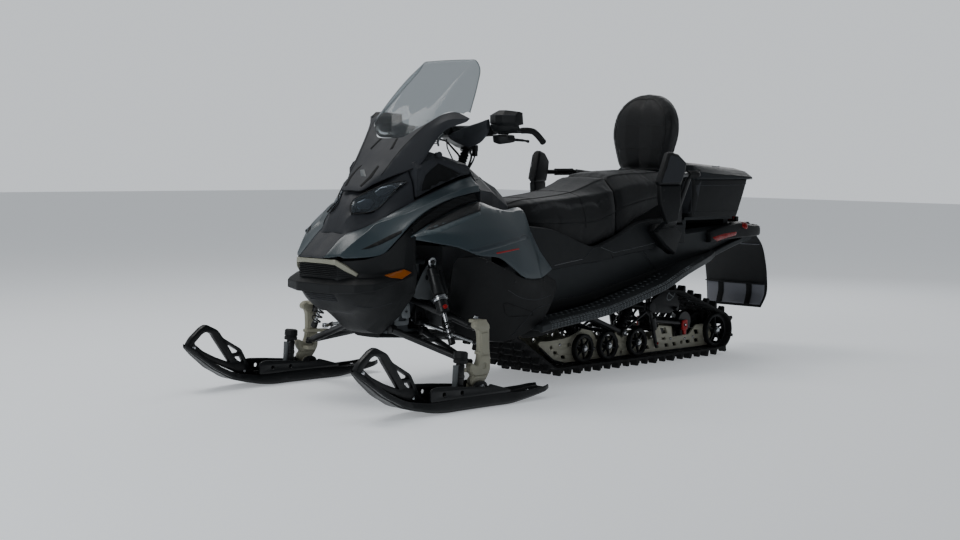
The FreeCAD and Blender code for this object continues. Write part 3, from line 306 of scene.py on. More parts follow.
FLAP_PALE = material("flap_grey", (0.19, 0.195, 0.22), rough=0.66, vary=0.12, vary_scale=6, grain=0.15, grain_scale=500)
SKI = material("ski_plastic", (0.0062, 0.0070, 0.0078), rough=0.42, vary=0.15, vary_scale=5, grain=0.05, grain_scale=800, coat=0.1)
WHEEL = material("wheel_plastic", (0.0105, 0.011, 0.012), rough=0.45, vary=0.15, vary_scale=12, grain=0.08, grain_scale=900)
GRIP = material("grip_rubber", (0.009, 0.0095, 0.010), rough=0.8, vary=0.2, vary_scale=40, grain=0.7, grain_scale=420, grain_kind="voronoi")
BULK_GREY = material("bulkhead_grey", (0.29, 0.31, 0.325), rough=0.5, metal=0.2, vary=0.12, vary_scale=9, grain=0.2, grain_scale=380)
RAIL_CREAM = material("rail_cream", (0.43, 0.415, 0.33), rough=0.4, vary=0.08, grain=0.05, grain_scale=500, coat=0.1, rough_vary=0.08)
SCREEN_DARK = material("display_glass", (0.010, 0.012, 0.014), rough=0.08, vary=0.05, coat=0.6, coat_rough=0.03, rough_vary=0.02)
LID_MAT = material("lid_plastic", (0.017, 0.021, 0.0235), rough=0.48, vary=0.07, grain=0.16, grain_scale=1300, grain_kind="voronoi")
GREY_LINE = material("grey_trim", (0.115, 0.125, 0.13), rough=0.4, vary=0.08, vary_scale=10)
EDGE_MAT = material("screen_edge", (0.30, 0.34, 0.35), rough=0.12, transmission=0.55, ior=1.3, vary=0.05, rough_vary=0.05)
# a darker copy of the slate paint: painted shade on the face below the side panel's middle crease
PAINT_SHADE = material("slate_shade", (0.024, 0.036, 0.045), rough=0.38, coat=0.3, coat_rough=0.18, vary=0.06, vary_scale=3, grain=0.03, grain_scale=1600, rough_vary=0.05)
STUD_MAT = material("studded_alloy", (0.14, 0.155, 0.165), rough=0.42, metal=0.5, vary=0.25, vary_scale=40, grain=0.3, grain_scale=400)
COVER_MAT = material("cover_plastic", (0.0125, 0.0142, 0.0158), rough=0.5, vary=0.15, grain=0.14, grain_scale=1400, grain_kind="voronoi")
# a darker copy of the black plastic: painted shade on the lower side panels and the belly skirt
SHADE = material("panel_black", (0.0040, 0.0045, 0.0050), rough=0.52, vary=0.15, grain=0.14, grain_scale=1400, grain_kind="voronoi", specular=0.2)
# a paler copy of the slate paint: painted highlight on a facet near the side panel's top edge
PAINT_LIT = material("slate_pale", (0.060, 0.082, 0.092), rough=0.45, coat=0.1, coat_rough=0.2, vary=0.06, vary_scale=3, grain=0.03, grain_scale=1600, rough_vary=0.05)
LATCH_MAT = material("latch_grey", (0.13, 0.155, 0.175), rough=0.4, vary=0.08, vary_scale=20, grain=0.1, grain_scale=900)
TYRE_MAT = material("wheel_rubber", (0.013, 0.0132, 0.0136), rough=0.72, vary=0.2, vary_scale=30, grain=0.35, grain_scale=500)
BRAID = material("braided_hose", (0.010, 0.0105, 0.011), rough=0.6, vary=0.25, vary_scale=60, grain=0.6, grain_scale=900, grain_kind="voronoi")


# ================================================================ mesh helpers (all lengths in mm)
def finish_mesh(me, mat, angle=28):
    me.materials.clear()
    me.materials.append(mat)
    me.polygons.foreach_set("use_smooth", [True] * len(me.polygons))
    me.set_sharp_from_angle(angle=math.radians(angle))
    me.update()


def make(name, verts, faces, mat, body="chassis", angle=28, slot=None, scale=MM, weld=True):
    """A mesh piece from points in mm, riding on a body."""
    me = bpy.data.meshes.new(name)
    me.from_pydata([tuple(c * scale for c in v) for v in verts], [], faces)
    if weld:
        bm = bmesh.new()
        bm.from_mesh(me)
        bmesh.ops.remove_doubles(bm, verts=bm.verts, dist=0.00002)
        bmesh.ops.dissolve_degenerate(bm, edges=bm.edges, dist=0.00001)
        bmesh.ops.recalc_face_normals(bm, faces=bm.faces)
        bm.to_mesh(me)
        bm.free()
    finish_mesh(me, mat, angle)
    ob = bpy.data.objects.new(name, me)
    COLL.objects.link(ob)
    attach(ob, body)
    if slot:
        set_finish(ob, slot)
    return ob


def flip_mesh(me):
    bm = bmesh.new()
    bm.from_mesh(me)
    bmesh.ops.reverse_faces(bm, faces=bm.faces)
    bm.to_mesh(me)
    bm.free()


def modify(ob, kind, **settings):
    mod = ob.modifiers.new(kind.lower(), kind)
    for k, v in settings.items():
        setattr(mod, k, v)
    return mod


def solidify(ob, t, offset=-1.0):
    return modify(ob, "SOLIDIFY", thickness=t * MM, offset=offset, use_even_offset=False, thickness_clamp=1.0)


def bevel(ob, w, segments=2, angle=30):
    return modify(ob, "BEVEL", width=w * MM, segments=segments, limit_method="ANGLE", angle_limit=math.radians(angle), use_clamp_overlap=True, miter_outer="MITER_ARC")


def apply_all(ob, angle=28):
    """Turns a piece's modifiers into plain mesh."""
    bpy.context.view_layer.update()
    dg = bpy.context.evaluated_depsgraph_get()
    me = bpy.data.meshes.new_from_object(ob.evaluated_get(dg))
    old = ob.data
    ob.modifiers.clear()
    ob.data = me
    me.name = ob.name
    if old.users == 0:
        bpy.data.meshes.remove(old)
    ob.data.polygons.foreach_set("use_smooth", [True] * len(me.polygons))
    ob.data.set_sharp_from_angle(angle=math.radians(angle))
    return ob


def mirrored(ob, name, body=None):
    """The same piece on the other side of Y=0."""
    me = ob.data.copy()
    me.transform(Matrix.Scale(-1, 4, (0, 1, 0)))
    flip_mesh(me)
    me.polygons.foreach_set("use_smooth", [True] * len(me.polygons))
    new = bpy.data.objects.new(name, me)
    COLL.objects.link(new)
    for mod in ob.modifiers:
        m2 = new.modifiers.new(mod.name, mod.type)
        for p in mod.bl_rna.properties:
            if not p.is_readonly and p.identifier not in ("name", "type"):
                try:
                    setattr(m2, p.identifier, getattr(mod, p.identifier))
                except Exception:
                    pass
    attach(new, body or ob["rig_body"])
    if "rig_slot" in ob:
        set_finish(new, ob["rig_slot"])
    return new


def cat(p, n, closed=False):
    """Points on a smooth line through p (list of tuples), n per span."""
    P = [Vector(q) for q in p]
    out = []
    m = len(P)
    spans = m if closed else m - 1
    for i in range(spans):
        p1, p2 = P[i % m], P[(i + 1) % m]
        p0 = P[(i - 1) % m] if closed or i > 0 else p1 + (p1 - p2)
        p3 = P[(i + 2) % m] if closed or i + 2 < m else p2 + (p2 - p1)
        # centripetal parameters keep uneven spans from overshooting
        t0 = 0.0
        t1 = t0 + max((p1 - p0).length, 1e-6) ** 0.5
        t2 = t1 + max((p2 - p1).length, 1e-6) ** 0.5
        t3 = t2 + max((p3 - p2).length, 1e-6) ** 0.5
        for k in range(n):
            t = t1 + (t2 - t1) * k / n
            a1 = p0 * ((t1 - t) / (t1 - t0)) + p1 * ((t - t0) / (t1 - t0))
            a2 = p1 * ((t2 - t) / (t2 - t1)) + p2 * ((t - t1) / (t2 - t1))
            a3 = p2 * ((t3 - t) / (t3 - t2)) + p3 * ((t - t2) / (t3 - t2))
            b1 = a1 * ((t2 - t) / (t2 - t0)) + a2 * ((t - t0) / (t2 - t0))
            b2 = a2 * ((t3 - t) / (t3 - t1)) + a3 * ((t - t1) / (t3 - t1))
            out.append(b1 * ((t2 - t) / (t2 - t1)) + b2 * ((t - t1) / (t2 - t1)))
    if not closed:
        out.append(P[-1].copy())
    return out


def grid(rows, nu=4, nv=4, crown=0.0, straight=False, soft=False):
    """Dense rows from control rows: smooth along the rows' direction, columns kept as creases.
    soft makes the columns smooth too."""
    K = len(rows[0])
    if straight:
        cols = []
        for k in range(K):
            line = []
            for a, b in zip(rows, rows[1:]):
                for i in range(nu):
                    line.append(Vector(a[k]).lerp(Vector(b[k]), i / nu))
            line.append(Vector(rows[-1][k]))
            cols.append(line)
    else:
        cols = [cat([r[k] for r in rows], nu) for k in range(K)]
    dense = []
    for i in range(len(cols[0])):
        ctrl = [cols[k][i] for k in range(K)]
        if soft:
            dense.append(cat(ctrl, nv))
        else:
            row = []
            for a, b in zip(ctrl, ctrl[1:]):
                for j in range(nv):
                    row.append(a.lerp(b, j / nv))
            row.append(ctrl[-1].copy())
            dense.append(row)
    if crown:
        R, C = len(dense), len(dense[0])
        lift = [[Vector((0, 0, 0))] * C for _ in range(R)]
        for i in range(R):
            for k in range(K - 1):
                a, b = dense[i][k * nv], dense[i][(k + 1) * nv]
                i0, i1 = max(i - 1, 0), min(i + 1, R - 1)
                along = dense[i1][k * nv] - dense[i0][k * nv]
                n = along.cross(b - a)
                if n.length > 1e-9:
                    n.normalize()
                w = (b - a).length
                for j in range(1, nv):
                    lift[i][k * nv + j] = n * (crown * w * math.sin(math.pi * j / nv))
        for i in range(R):
            for j in range(C):
                dense[i][j] = dense[i][j] + lift[i][j]
    return dense


def sheet(name, rows, mat, body="chassis", t=4.0, nu=4, nv=4, crown=0.0, out=(0, 0, 1), bev=1.2, angle=24, straight=False, soft=False, slot=None, flipped=None):
    """A panel over control rows, with thickness t away from the outside, and soft edges."""
    d = grid(rows, nu, nv, crown, straight, soft)
    R, C = len(d), len(d[0])
    verts = [tuple(v) for row in d for v in row]
    faces = [(i * C + j, i * C + j + 1, (i + 1) * C + j + 1, (i + 1) * C + j) for i in range(R - 1) for j in range(C - 1)]
    ob = make(name, verts, faces, mat, body, angle, slot)
    # outside faces along out
    me = ob.data
    total = Vector((0, 0, 0))
    for p in me.polygons:
        total += p.normal * p.area
    wrong = total.dot(Vector(out)) < 0
    if flipped is not None:
        wrong = flipped
    if wrong:
        flip_mesh(me)
        finish_mesh(me, mat, angle)
    if t:
        solidify(ob, t)
    if bev:
        bevel(ob, bev, 2, angle + 6)
    return ob


def loft(name, rings, mat, body="chassis", nu=3, nv=1, smooth_ring=False, caps=True, angle=28, bev=0.0, slot=None, straight=False):
    """A closed solid through rings of equal length."""
    K = len(rings[0])
    if smooth_ring:
        rings = [[tuple(v) for v in cat(r, nv, closed=True)] for r in rings]
        K = len(rings[0])
    if straight:
        dense = []
        for a, b in zip(rings, rings[1:]):
            for i in range(nu):
                dense.append([Vector(p).lerp(Vector(q), i / nu) for p, q in zip(a, b)])
        dense.append([Vector(p) for p in rings[-1]])
    else:
        cols = [cat([r[k] for r in rings], nu) for k in range(K)]
        dense = [[cols[k][i] for k in range(K)] for i in range(len(cols[0]))]
    verts = [tuple(v) for r in dense for v in r]
    R = len(dense)
    faces = [(i * K + j, i * K + (j + 1) % K, (i + 1) * K + (j + 1) % K, (i + 1) * K + j) for i in range(R - 1) for j in range(K)]
    if caps:
        faces.append(tuple(range(K - 1, -1, -1)))
        faces.append(tuple((R - 1) * K + j for j in range(K)))
    ob = make(name, verts, faces, mat, body, angle, slot)
    if bev:
        bevel(ob, bev, 2, angle + 4)
    return ob


def rounded(pts, r, n=4):
    """A closed outline with its corners rounded."""
    out = []
    m = len(pts)
    for i in range(m):
        a, b, c = Vector(pts[i - 1]), Vector(pts[i]), Vector(pts[(i + 1) % m])
        u, w = (a - b), (c - b)
        k = min(r, u.length * 0.45, w.length * 0.45)
        p, q = b + u.normalized() * k, b + w.normalized() * k
        for s in range(n + 1):
            t = s / n
            out.append(tuple(p * (1 - t) ** 2 + b * (2 * t * (1 - t)) + q * t ** 2))
    return out


def plate(name, outline, a0, a1, mat, body="chassis", axis="y", holes=(), rnd=0.0, bev=1.0, slot=None, hole_rnd=None):
    """A flat plate with holes: outline and holes are in the plane, and it runs from a0 to a1 along axis."""
    cu = bpy.data.curves.new(name + "_outline", "CURVE")
    cu.dimensions = "2D"
    cu.fill_mode = "BOTH"
    b = min(bev, abs(a1 - a0) * 0.45)
    cu.extrude = max(abs(a1 - a0) / 2 - b, 0.01) * MM
    cu.bevel_depth = b * MM
    cu.bevel_resolution = 1
    cu.offset = -b * MM
    loops = [rounded(outline, rnd) if rnd else list(outline)]
    for h in holes:
        if len(h) == 3 and not isinstance(h[0], (tuple, list)):
            x, z, r = h
            loops.append([(x + r * math.cos(k * math.tau / 18), z + r * math.sin(k * math.tau / 18)) for k in range(18)])
        else:
            hr = rnd if hole_rnd is None else hole_rnd
            loops.append(rounded(h, hr) if hr else list(h))
    for pts in loops:
        s = cu.splines.new("POLY")
        s.points.add(len(pts) - 1)
        for p, (u, v) in zip(s.points, pts):
            p.co = (u * MM, v * MM, 0, 1)
        s.use_cyclic_u = True
    tmp = bpy.data.objects.new(name + "_tmp", cu)
    COLL.objects.link(tmp)
    bpy.context.view_layer.update()
    me = bpy.data.meshes.new_from_object(tmp)
    bpy.data.objects.remove(tmp)
    bpy.data.curves.remove(cu)
    mid = (a0 + a1) / 2 * MM
    if axis == "y":      # plane (x, z)
        m = Matrix(((1, 0, 0, 0), (0, 0, -1, mid), (0, 1, 0, 0), (0, 0, 0, 1)))
    elif axis == "x":    # plane (y, z)
        m = Matrix(((0, 0, 1, mid), (1, 0, 0, 0), (0, 1, 0, 0), (0, 0, 0, 1)))
    else:                # plane (x, y)
        m = Matrix(((1, 0, 0, 0), (0, 1, 0, 0), (0, 0, 1, mid), (0, 0, 0, 1)))
    me.transform(m)
    me.name = name
    bm = bmesh.new()
    bm.from_mesh(me)
    bmesh.ops.remove_doubles(bm, verts=bm.verts, dist=0.00002)
    bmesh.ops.recalc_face_normals(bm, faces=bm.faces)
    bm.to_mesh(me)
    bm.free()
    finish_mesh(me, mat, 30)
    ob = bpy.data.objects.new(name, me)
    COLL.objects.link(ob)
    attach(ob, body)
    if slot:
        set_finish(ob, slot)
    return ob


def turned(name, p, q, profile, mat, body="chassis", seg=28, slot=None, angle=30):
    """A turned piece: profile is (share along p to q, radius), closed at its ends."""
    p, q = Vector(p), Vector(q)
    d = (q - p)
    z = d.normalized()
    x = z.orthogonal().normalized()
    y = z.cross(x)
    verts, faces = [], []
    for s, r in profile:
        c = p + d * s
        for k in range(seg):
            a = math.tau * k / seg
            verts.append(tuple(c + (x * math.cos(a) + y * math.sin(a)) * r))
    n = len(profile)
    for i in range(n - 1):
        for k in range(seg):
            j = (k + 1) % seg
            faces.append((i * seg + k, i * seg + j, (i + 1) * seg + j, (i + 1) * seg + k))
    faces.append(tuple(range(seg - 1, -1, -1)))
    faces.append(tuple((n - 1) * seg + k for k in range(seg)))
    return make(name, verts, faces, mat, body, angle, slot, weld=True)


def hoop(name, p, q, profile, mat, body="chassis", seg=40, slot=None, angle=30):
    """A turned ring with a hole through it: profile is a closed loop of (share along p to q, radius)."""
    p, q = Vector(p), Vector(q)
    d = (q - p)
    z = d.normalized()
    x = z.orthogonal().normalized()
    y = z.cross(x)
    n = len(profile)
    verts, faces = [], []
    for s, r in profile:
        c = p + d * s
        for k in range(seg):
            a = math.tau * k / seg
            verts.append(tuple(c + (x * math.cos(a) + y * math.sin(a)) * r))
    for i in range(n):
        m = (i + 1) % n
        for k in range(seg):
            j = (k + 1) % seg
            faces.append((i * seg + k, i * seg + j, m * seg + j, m * seg + k))
    return make(name, verts, faces, mat, body, angle, slot, weld=True)


def pipe(name, pts, r, mat, body="chassis", n=8, seg=12, smooth=True, slot=None, closed=False, ends=True):
    """A round tube along a smooth line through pts (mm)."""
    line = cat(pts, n, closed) if smooth else [Vector(p) for p in pts]
    m = len(line)
    radii = r if isinstance(r, (list, tuple)) else None
    verts, faces = [], []
    up = None
    for i, c in enumerate(line):
        if closed:
            t = (line[(i + 1) % m] - line[i - 1]).normalized()
        else:
            t = (line[min(i + 1, m - 1)] - line[max(i - 1, 0)]).normalized()
        if up is None:
            up = t.orthogonal().normalized()
        up = (up - t * up.dot(t)).normalized()
        side = t.cross(up)
        rr = radii[min(int(i / max(m - 1, 1) * (len(radii) - 1) + 0.5), len(radii) - 1)] if radii else r
        for k in range(seg):
            a = math.tau * k / seg
            verts.append(tuple(c + (up * math.cos(a) + side * math.sin(a)) * rr))
    last = m if closed else m - 1
    for i in range(last):
        for k in range(seg):
            j = (k + 1) % seg
            a, b = i * seg, ((i + 1) % m) * seg
            faces.append((a + k, a + j, b + j, b + k))
    if ends and not closed:
        faces.append(tuple(range(seg - 1, -1, -1)))
        faces.append(tuple((m - 1) * seg + k for k in range(seg)))
    return make(name, verts, faces, mat, body, 40, slot)


def coil(name, p, q, r, wire, turns, mat, body="chassis", seg=8, slot=None):
    """A coil spring between p and q."""
    p, q = Vector(p), Vector(q)
    z = (q - p).normalized()
    x = z.orthogonal().normalized()
    y = z.cross(x)
    steps = int(turns * 18)
    pts = []
    for i in range(steps + 1):
        s = i / steps
        w = s * 1.0
        a = math.tau * turns * s
        pts.append(tuple(p + (q - p) * w + (x * math.cos(a) + y * math.sin(a)) * r))
    return pipe(name, pts, wire, mat, body, n=1, seg=seg, smooth=False, slot=slot)


def brick(name, lo, hi, mat, body="chassis", bev=2.0, slot=None, taper=0.0):
    """A moulded block with rounded edges and a slight draft."""
    (x0, y0, z0), (x1, y1, z1) = lo, hi
    k = taper
    v = [(x0, y0, z0), (x1, y0, z0), (x1, y1, z0), (x0, y1, z0), (x0 + k, y0 + k, z1), (x1 - k, y0 + k, z1), (x1 - k, y1 - k, z1), (x0 + k, y1 - k, z1)]
    f = [(0, 3, 2, 1), (4, 5, 6, 7), (0, 1, 5, 4), (1, 2, 6, 5), (2, 3, 7, 6), (3, 0, 4, 7)]
    ob = make(name, v, f, mat, body, 30, slot)
    bevel(ob, bev, 3, 30)
    return ob


def join(name, obs):
    """Several pieces of one body as one object."""
    obs = [apply_all(o) for o in obs]
    body = obs[0]["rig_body"]
    bm = bmesh.new()
    mats = []
    for o in obs:
        start = len(bm.faces)
        bm.from_mesh(o.data)
        bm.faces.ensure_lookup_table()
        local = []
        for mm in o.data.materials:
            if mm not in mats:
                mats.append(mm)
            local.append(mats.index(mm))
        for f in bm.faces[start:]:
            f.material_index = local[min(f.material_index, len(local) - 1)] if local else 0
    me = bpy.data.meshes.new(name)
    bm.to_mesh(me)
    bm.free()
    for mm in mats:
        me.materials.append(mm)
    slot = obs[0].get("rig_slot")
    for o in obs:
        old = o.data
        bpy.data.objects.remove(o)
        if old.users == 0:
            bpy.data.meshes.remove(old)
    ob = bpy.data.objects.new(name, me)
    COLL.objects.link(ob)
    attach(ob, body)
    if slot:
        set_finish(ob, slot)
    return ob


def cut(ob, cutter):
    """ob less the solid cutter, which is removed."""
    apply_all(ob)
    if cutter.modifiers:
        apply_all(cutter)
    mod = modify(ob, "BOOLEAN", operation="DIFFERENCE", object=cutter, solver="EXACT")
    apply_all(ob, 30)
    bpy.data.objects.remove(cutter)
    return ob


def bolt(name, at, axis, r, mat, body="chassis", h=3.0):
    """A button-head screw with a hex socket hint."""
    a = Vector(at)
    d = Vector(axis).normalized()
    return turned(name, a - d * 1.5, a + d * h, [(0.0, r), (0.45, r), (0.75, r * 0.86), (1.0, r * 0.5), (0.96, r * 0.42), (0.7, r * 0.38)], mat, body, 14)


def both(ob, name_right, body=None):
    return ob, mirrored(ob, name_right, body)


def skin(node, mat):
    """A carried-over CAD node gets its finish."""
    me = NODE[node].data
    me.materials.clear()
    me.materials.append(mat)
    me.polygons.foreach_set("material_index", [0] * len(me.polygons))
    me.polygons.foreach_set("use_smooth", [True] * len(me.polygons))
    me.set_sharp_from_angle(angle=math.radians(24))


# every CAD node first gets a finish; pieces below replace many of them
NODE_MATS = {
    "hood": PAINT, "nose_cowl": BLACK, "nose_trim": CREAM, "front_bumper": BLACK, "headlights": LENS_MAT, "headlight_mask": CHARCOAL,
    "windshield_base": CHARCOAL, "windshield": SCREEN, "console": CHARCOAL, "side_panel_left": PAINT, "side_panel_right": PAINT,
    "lower_panel_left": BLACK, "lower_panel_right": BLACK, "side_vents": DEEP, "belly_pan": BLACK, "engine_block": CAST, "bulkhead": GREY_CAST,
    "lower_arms": STEEL, "upper_arms": STEEL, "front_shocks": STEEL, "spindle_left": CREAM_CAST, "spindle_right": CREAM_CAST,
    "tie_rod_left": ALLOY, "tie_rod_right": ALLOY, "ski_left": SKI, "ski_right": SKI, "ski_loop_left": SKI, "ski_loop_right": SKI,
    "steering_column": STEEL, "handlebar": STEEL, "hand_guards": BLACK, "gauge_pod": BLACK, "rider_seat": VINYL, "passenger_seat": VINYL,
    "backrest": VINYL, "seat_base": BLACK, "tunnel": DARK_ALLOY, "running_boards": DARK_ALLOY, "side_covers": BLACK,
    "passenger_guards": BLACK, "passenger_grips": STEEL, "cargo_box": BLACK, "cargo_lid": LID_MAT, "control_cables": BRAID, "cargo_rack": DARK_ALLOY,
    "rear_bumper": BLACK, "tail_light": RED, "snow_flap": FLAP_MAT, "track": RUBBER, "slide_rails": CREAM, "lower_wheels": WHEEL,
    "rear_wheels": WHEEL, "upper_wheels": WHEEL, "drive_axle": WHEEL, "skid_arms": STEEL, "skid_shocks": STEEL,
}
for n in NODE:
    skin(n, NODE_MATS.get(n, BLACK))

# ================================================================ placing detail by the photograph's pixels
from mathutils.bvhtree import BVHTree
from mathutils.geometry import delaunay_2d_cdt

CAM_AT = camera.matrix_world.translation.copy()
CAM_ROT = camera.matrix_world.to_3x3()


def tree_of(*obs):
    """Search tree over the evaluated surfaces of the pieces."""
    bpy.context.view_layer.update()
    dg = bpy.context.evaluated_depsgraph_get()
    verts, polys = [], []
    for ob in obs:
        ev = ob.evaluated_get(dg)
        me = ev.to_mesh()
        base = len(verts)
        verts += [ob.matrix_world @ v.co for v in me.vertices]
        polys += [[base + i for i in p.vertices] for p in me.polygons]
        ev.to_mesh_clear()
    return BVHTree.FromPolygons(verts, polys)


def onto(tree, u, v):
    """Where the camera's ray through pixel (u, v) meets the surface: place and outward normal, in metres."""
    d = (CAM_ROT @ Vector(((u - 480) / 1614.633, -(v - 270) / 1614.633, -1))).normalized()
    loc, n, i, dist = tree.ray_cast(CAM_AT, d)
    if loc is None:
        best = None
        for k in range(24):
            p = CAM_AT + d * (5.6 + 0.12 * k)
            q, m, j, dd = tree.find_nearest(p)
            if best is None or dd < best[0]:
                best = (dd, q, m)
        loc, n = best[1], best[2]
    if n.dot(d) > 0:
        n = -n
    return loc, n


def seam(name, px, tree, r, mat, body="chassis", closed=False, step=2.5, lift=0.0, smooth=True, seg=6):
    """A thin raised or sunk line along the surface through the pixels."""
    P = [Vector((u, v, 0)) for u, v in px]
    line = []
    pairs = list(zip(P, P[1:] + P[:1])) if closed else list(zip(P, P[1:]))
    if smooth and len(P) > 2:
        line = cat([tuple(p) for p in P], 5, closed)
    else:
        for a, b in pairs:
            n = max(1, int((b - a).length / step))
            line += [a.lerp(b, k / n) for k in range(n)]
        if not closed:
            line.append(P[-1])
    pts = []
    for p in line:
        loc, n = onto(tree, p.x, p.y)
        pts.append(tuple((loc + n * lift * MM) / MM))
    return pipe(name, pts, r, mat, body, n=1, seg=seg, smooth=False, closed=closed)


def inlay(name, px, tree, lift, mat, body="chassis", depth=2.5, step=4.0, bev=0.6, slot=None):
    """A thin plate that follows the surface inside the outline of pixels."""
    P = [Vector((u, v)) for u, v in px]
    verts = []
    for a, b in zip(P, P[1:] + P[:1]):
        n = max(1, int((b - a).length / step))
        verts += [a.lerp(b, k / n) for k in range(n)]
    m = len(verts)

    def inside(q):
        c = False
        for i in range(len(P)):
            a, b = P[i], P[i - 1]
            if (a.y > q.y) != (b.y > q.y) and q.x < (b.x - a.x) * (q.y - a.y) / (b.y - a.y) + a.x:
                c = not c
        return c

    xs, ys = [p.x for p in P], [p.y for p in P]
    grid_pts = []
    x = min(xs) + step / 2
    while x < max(xs):
        y = min(ys) + step / 2
        while y < max(ys):
            q = Vector((x, y))
            if inside(q) and min((q - w).length for w in verts) > step * 0.45:
                grid_pts.append(q)
            y += step
        x += step
    coords, edges, faces, *_ = delaunay_2d_cdt(verts + grid_pts, [], [list(range(m))], 1, 1e-4)
    pts = []
    for c in coords:
        loc, n = onto(tree, c.x, c.y)
        pts.append(tuple((loc + n * lift * MM) / MM))
    ob = make(name, pts, [tuple(f) for f in faces], mat, body, 30, slot, weld=False)
    me = ob.data
    total = Vector((0, 0, 0))
    for p in me.polygons:
        total += p.normal * p.area
    view = (CAM_AT - Vector(pts[0]) * MM).normalized()
    if total.dot(view) < 0:
        flip_mesh(me)
        finish_mesh(me, mat, 30)
    solidify(ob, depth)
    if bev:
        bevel(ob, bev, 1, 40)
    return ob


def pair(ob, name):
    """The piece and its twin on the other side."""
    return mirrored(ob, name)


def whole(row):
    """A row given from the outer edge to the centre line, carried on to the other side (left to right)."""
    return [tuple(p) for p in row] + [(x, -y, z) for x, y, z in reversed(row) if y > 0]


# ================================================================ hood, nose, mask, lamps, windshield
# rows of the hood from rear to front: wing's outer edge, crease, inner edge, centre line (x, y, z)
HOOD = (
    ((700, 300, 868), (700, 293, 893), (700, 245, 930), (700, 0, 936)),
    ((771, 310, 861), (771, 300, 884), (771, 250, 915), (771, 0, 922)),
    ((898, 310, 835), (898, 296, 852), (898, 240, 869), (898, 0, 878)),
    ((1020, 305, 790), (1010, 286, 812), (1002, 225, 829), (1000, 0, 838)),
    ((1092, 300, 746), (1084, 258, 780), (1070, 206, 797), (1070, 0, 806)),
    ((1143, 297, 705), (1134, 222, 758), (1121, 190, 772), (1121, 0, 782)),
    ((1186, 284, 660), (1189, 179, 735), (1180, 155, 735), (1178, 0, 746)),
    ((1227, 263, 618), (1224, 177, 710), (1220, 118, 711), (1220, 0, 718)),
    ((1291, 199, 601), (1289, 160, 661), (1280, 87, 686), (1276, 0, 690)),
    ((1334, 148, 597), (1346, 131, 605), (1380, 77, 599), (1384, 0, 599)),
)
wing = sheet("hood_wing_left", [r[:3] for r in HOOD], PAINT, t=6, nu=6, nv=5, crown=0.035, out=(0.3, 0.6, 0.8), bev=1.8, angle=26, slot="paint_slate")
wing_r = pair(wing, "hood_wing_right")
centre = sheet("hood_centre", [[(x, y - 3, z - 1.5) for x, y, z in [r[2]]] + [(r[3][0], 0, r[3][2])] + [(x, 3 - y, z - 1.5) for x, y, z in [r[2]]] for r in HOOD], CHARCOAL, t=6, nu=6, nv=8,
               crown=0.03, out=(0.3, 0, 1), bev=1.5, angle=30, slot="charcoal_plastic")
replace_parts(wing, "hood")
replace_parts(wing_r, "hood")
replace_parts(centre, "hood")

NOSE = {
    1075: ((0, 262), (95, 265), (205, 345), (300, 450), (312, 530), (302, 575), (300, 742), (286, 736), (0, 736)),
    1110: ((0, 266), (85, 270), (190, 348), (290, 450), (308, 520), (292, 562), (296, 716), (283, 710), (0, 710)),
    1150: ((0, 285), (70, 290), (170, 352), (270, 448), (300, 505), (272, 550), (290, 684), (278, 678), (0, 678)),
    1205: ((0, 345), (80, 350), (160, 372), (250, 448), (288, 492), (240, 540), (270, 627), (258, 621), (0, 621)),
    1262: ((0, 366), (95, 370), (158, 400), (215, 450), (222, 490), (196, 535), (223, 597), (211, 592), (0, 592)),
    1300: ((0, 402), (100, 404), (140, 425), (165, 452), (170, 490), (160, 530), (183, 589), (170, 584), (0, 584)),
    1344: ((0, 448), (98, 449), (110, 454), (118, 470), (121, 500), (119, 540), (113, 582), (104, 578), (0, 578)),
}
nose = loft("nose_cowl_shell", [[(x, y, z) for y, z in NOSE[x]] + [(x, -y, z) for y, z in reversed(NOSE[x]) if y > 0] for x in sorted(NOSE)],
            BLACK, nu=5, angle=26, bev=2.5, slot="black_plastic")
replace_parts(nose, "nose_cowl")

# upper grille between the cream strip and the lip, and the small one below the lip
recess = sheet("grille_back", [[(1345.5, -112, 572), (1345.5, -119, 514)], [(1349, -60, 572), (1349, -60, 514)], [(1350, 0, 572), (1350, 0, 514)], [(1349, 60, 572), (1349, 60, 514)], [(1345.5, 112, 572), (1345.5, 119, 514)]],
               DEEP, t=2, nu=3, nv=2, out=(1, 0, 0), bev=0.4)
ribs = []
for k in range(7):
    z = 566 - k * 7.6
    end = 118 + max(0.0, (562 - z)) * 1.35
    path = [(1356, 0, z), (1354, 70, z), (1350, 112, z)]
    if end > 126:
        path.append((1346 - (end - 118) * 1.02, end - 4, z))
    path = [(x, -y, zz) for x, y, zz in reversed(path[1:])] + path
    ribs.append(pipe("rib%d" % k, path, 2.0, BLACK, n=3, seg=8))
for k in range(4):
    z = 441 - k * 8.5
    x = 1345 - (448 - z) * 0.96
    w = 96 - k * 3
    ribs.append(pipe("ribl%d" % k, [(x - 1, -w, z), (x + 3, -w + 14, z), (x + 5, 0, z), (x + 3, w - 14, z), (x - 1, w, z)], 1.9, CHARCOAL, n=3, seg=8))
grille = join("grille_ribs", ribs)
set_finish(grille, "black_plastic")

# cream chevron strip: middle run and an arm down each side
strip_rows = [
    [(1272, 172, 520), (1292, 180, 520), (1290, 184, 534), (1270, 176, 534)],
    [(1318, 142, 548), (1335, 147, 547), (1333, 151, 569), (1316, 146, 570)],
    [(1344, 118, 568), (1359, 121, 568), (1358, 120, 589), (1344, 116, 590)],
    [(1350, 60, 572), (1368, 60, 572), (1368, 60, 591), (1350, 60, 591)],
    [(1352, 0, 572), (1372, 0, 572), (1372, 0, 592), (1352, 0, 592)],
]
strip_rows += [[(x, -y, z) for x, y, z in r] for r in reversed(strip_rows[:-1])]
trim = loft("nose_trim_strip", strip_rows, CREAM, nu=6, straight=True, angle=24, bev=2.2, slot="cream_paint")
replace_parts(trim, "nose_trim")

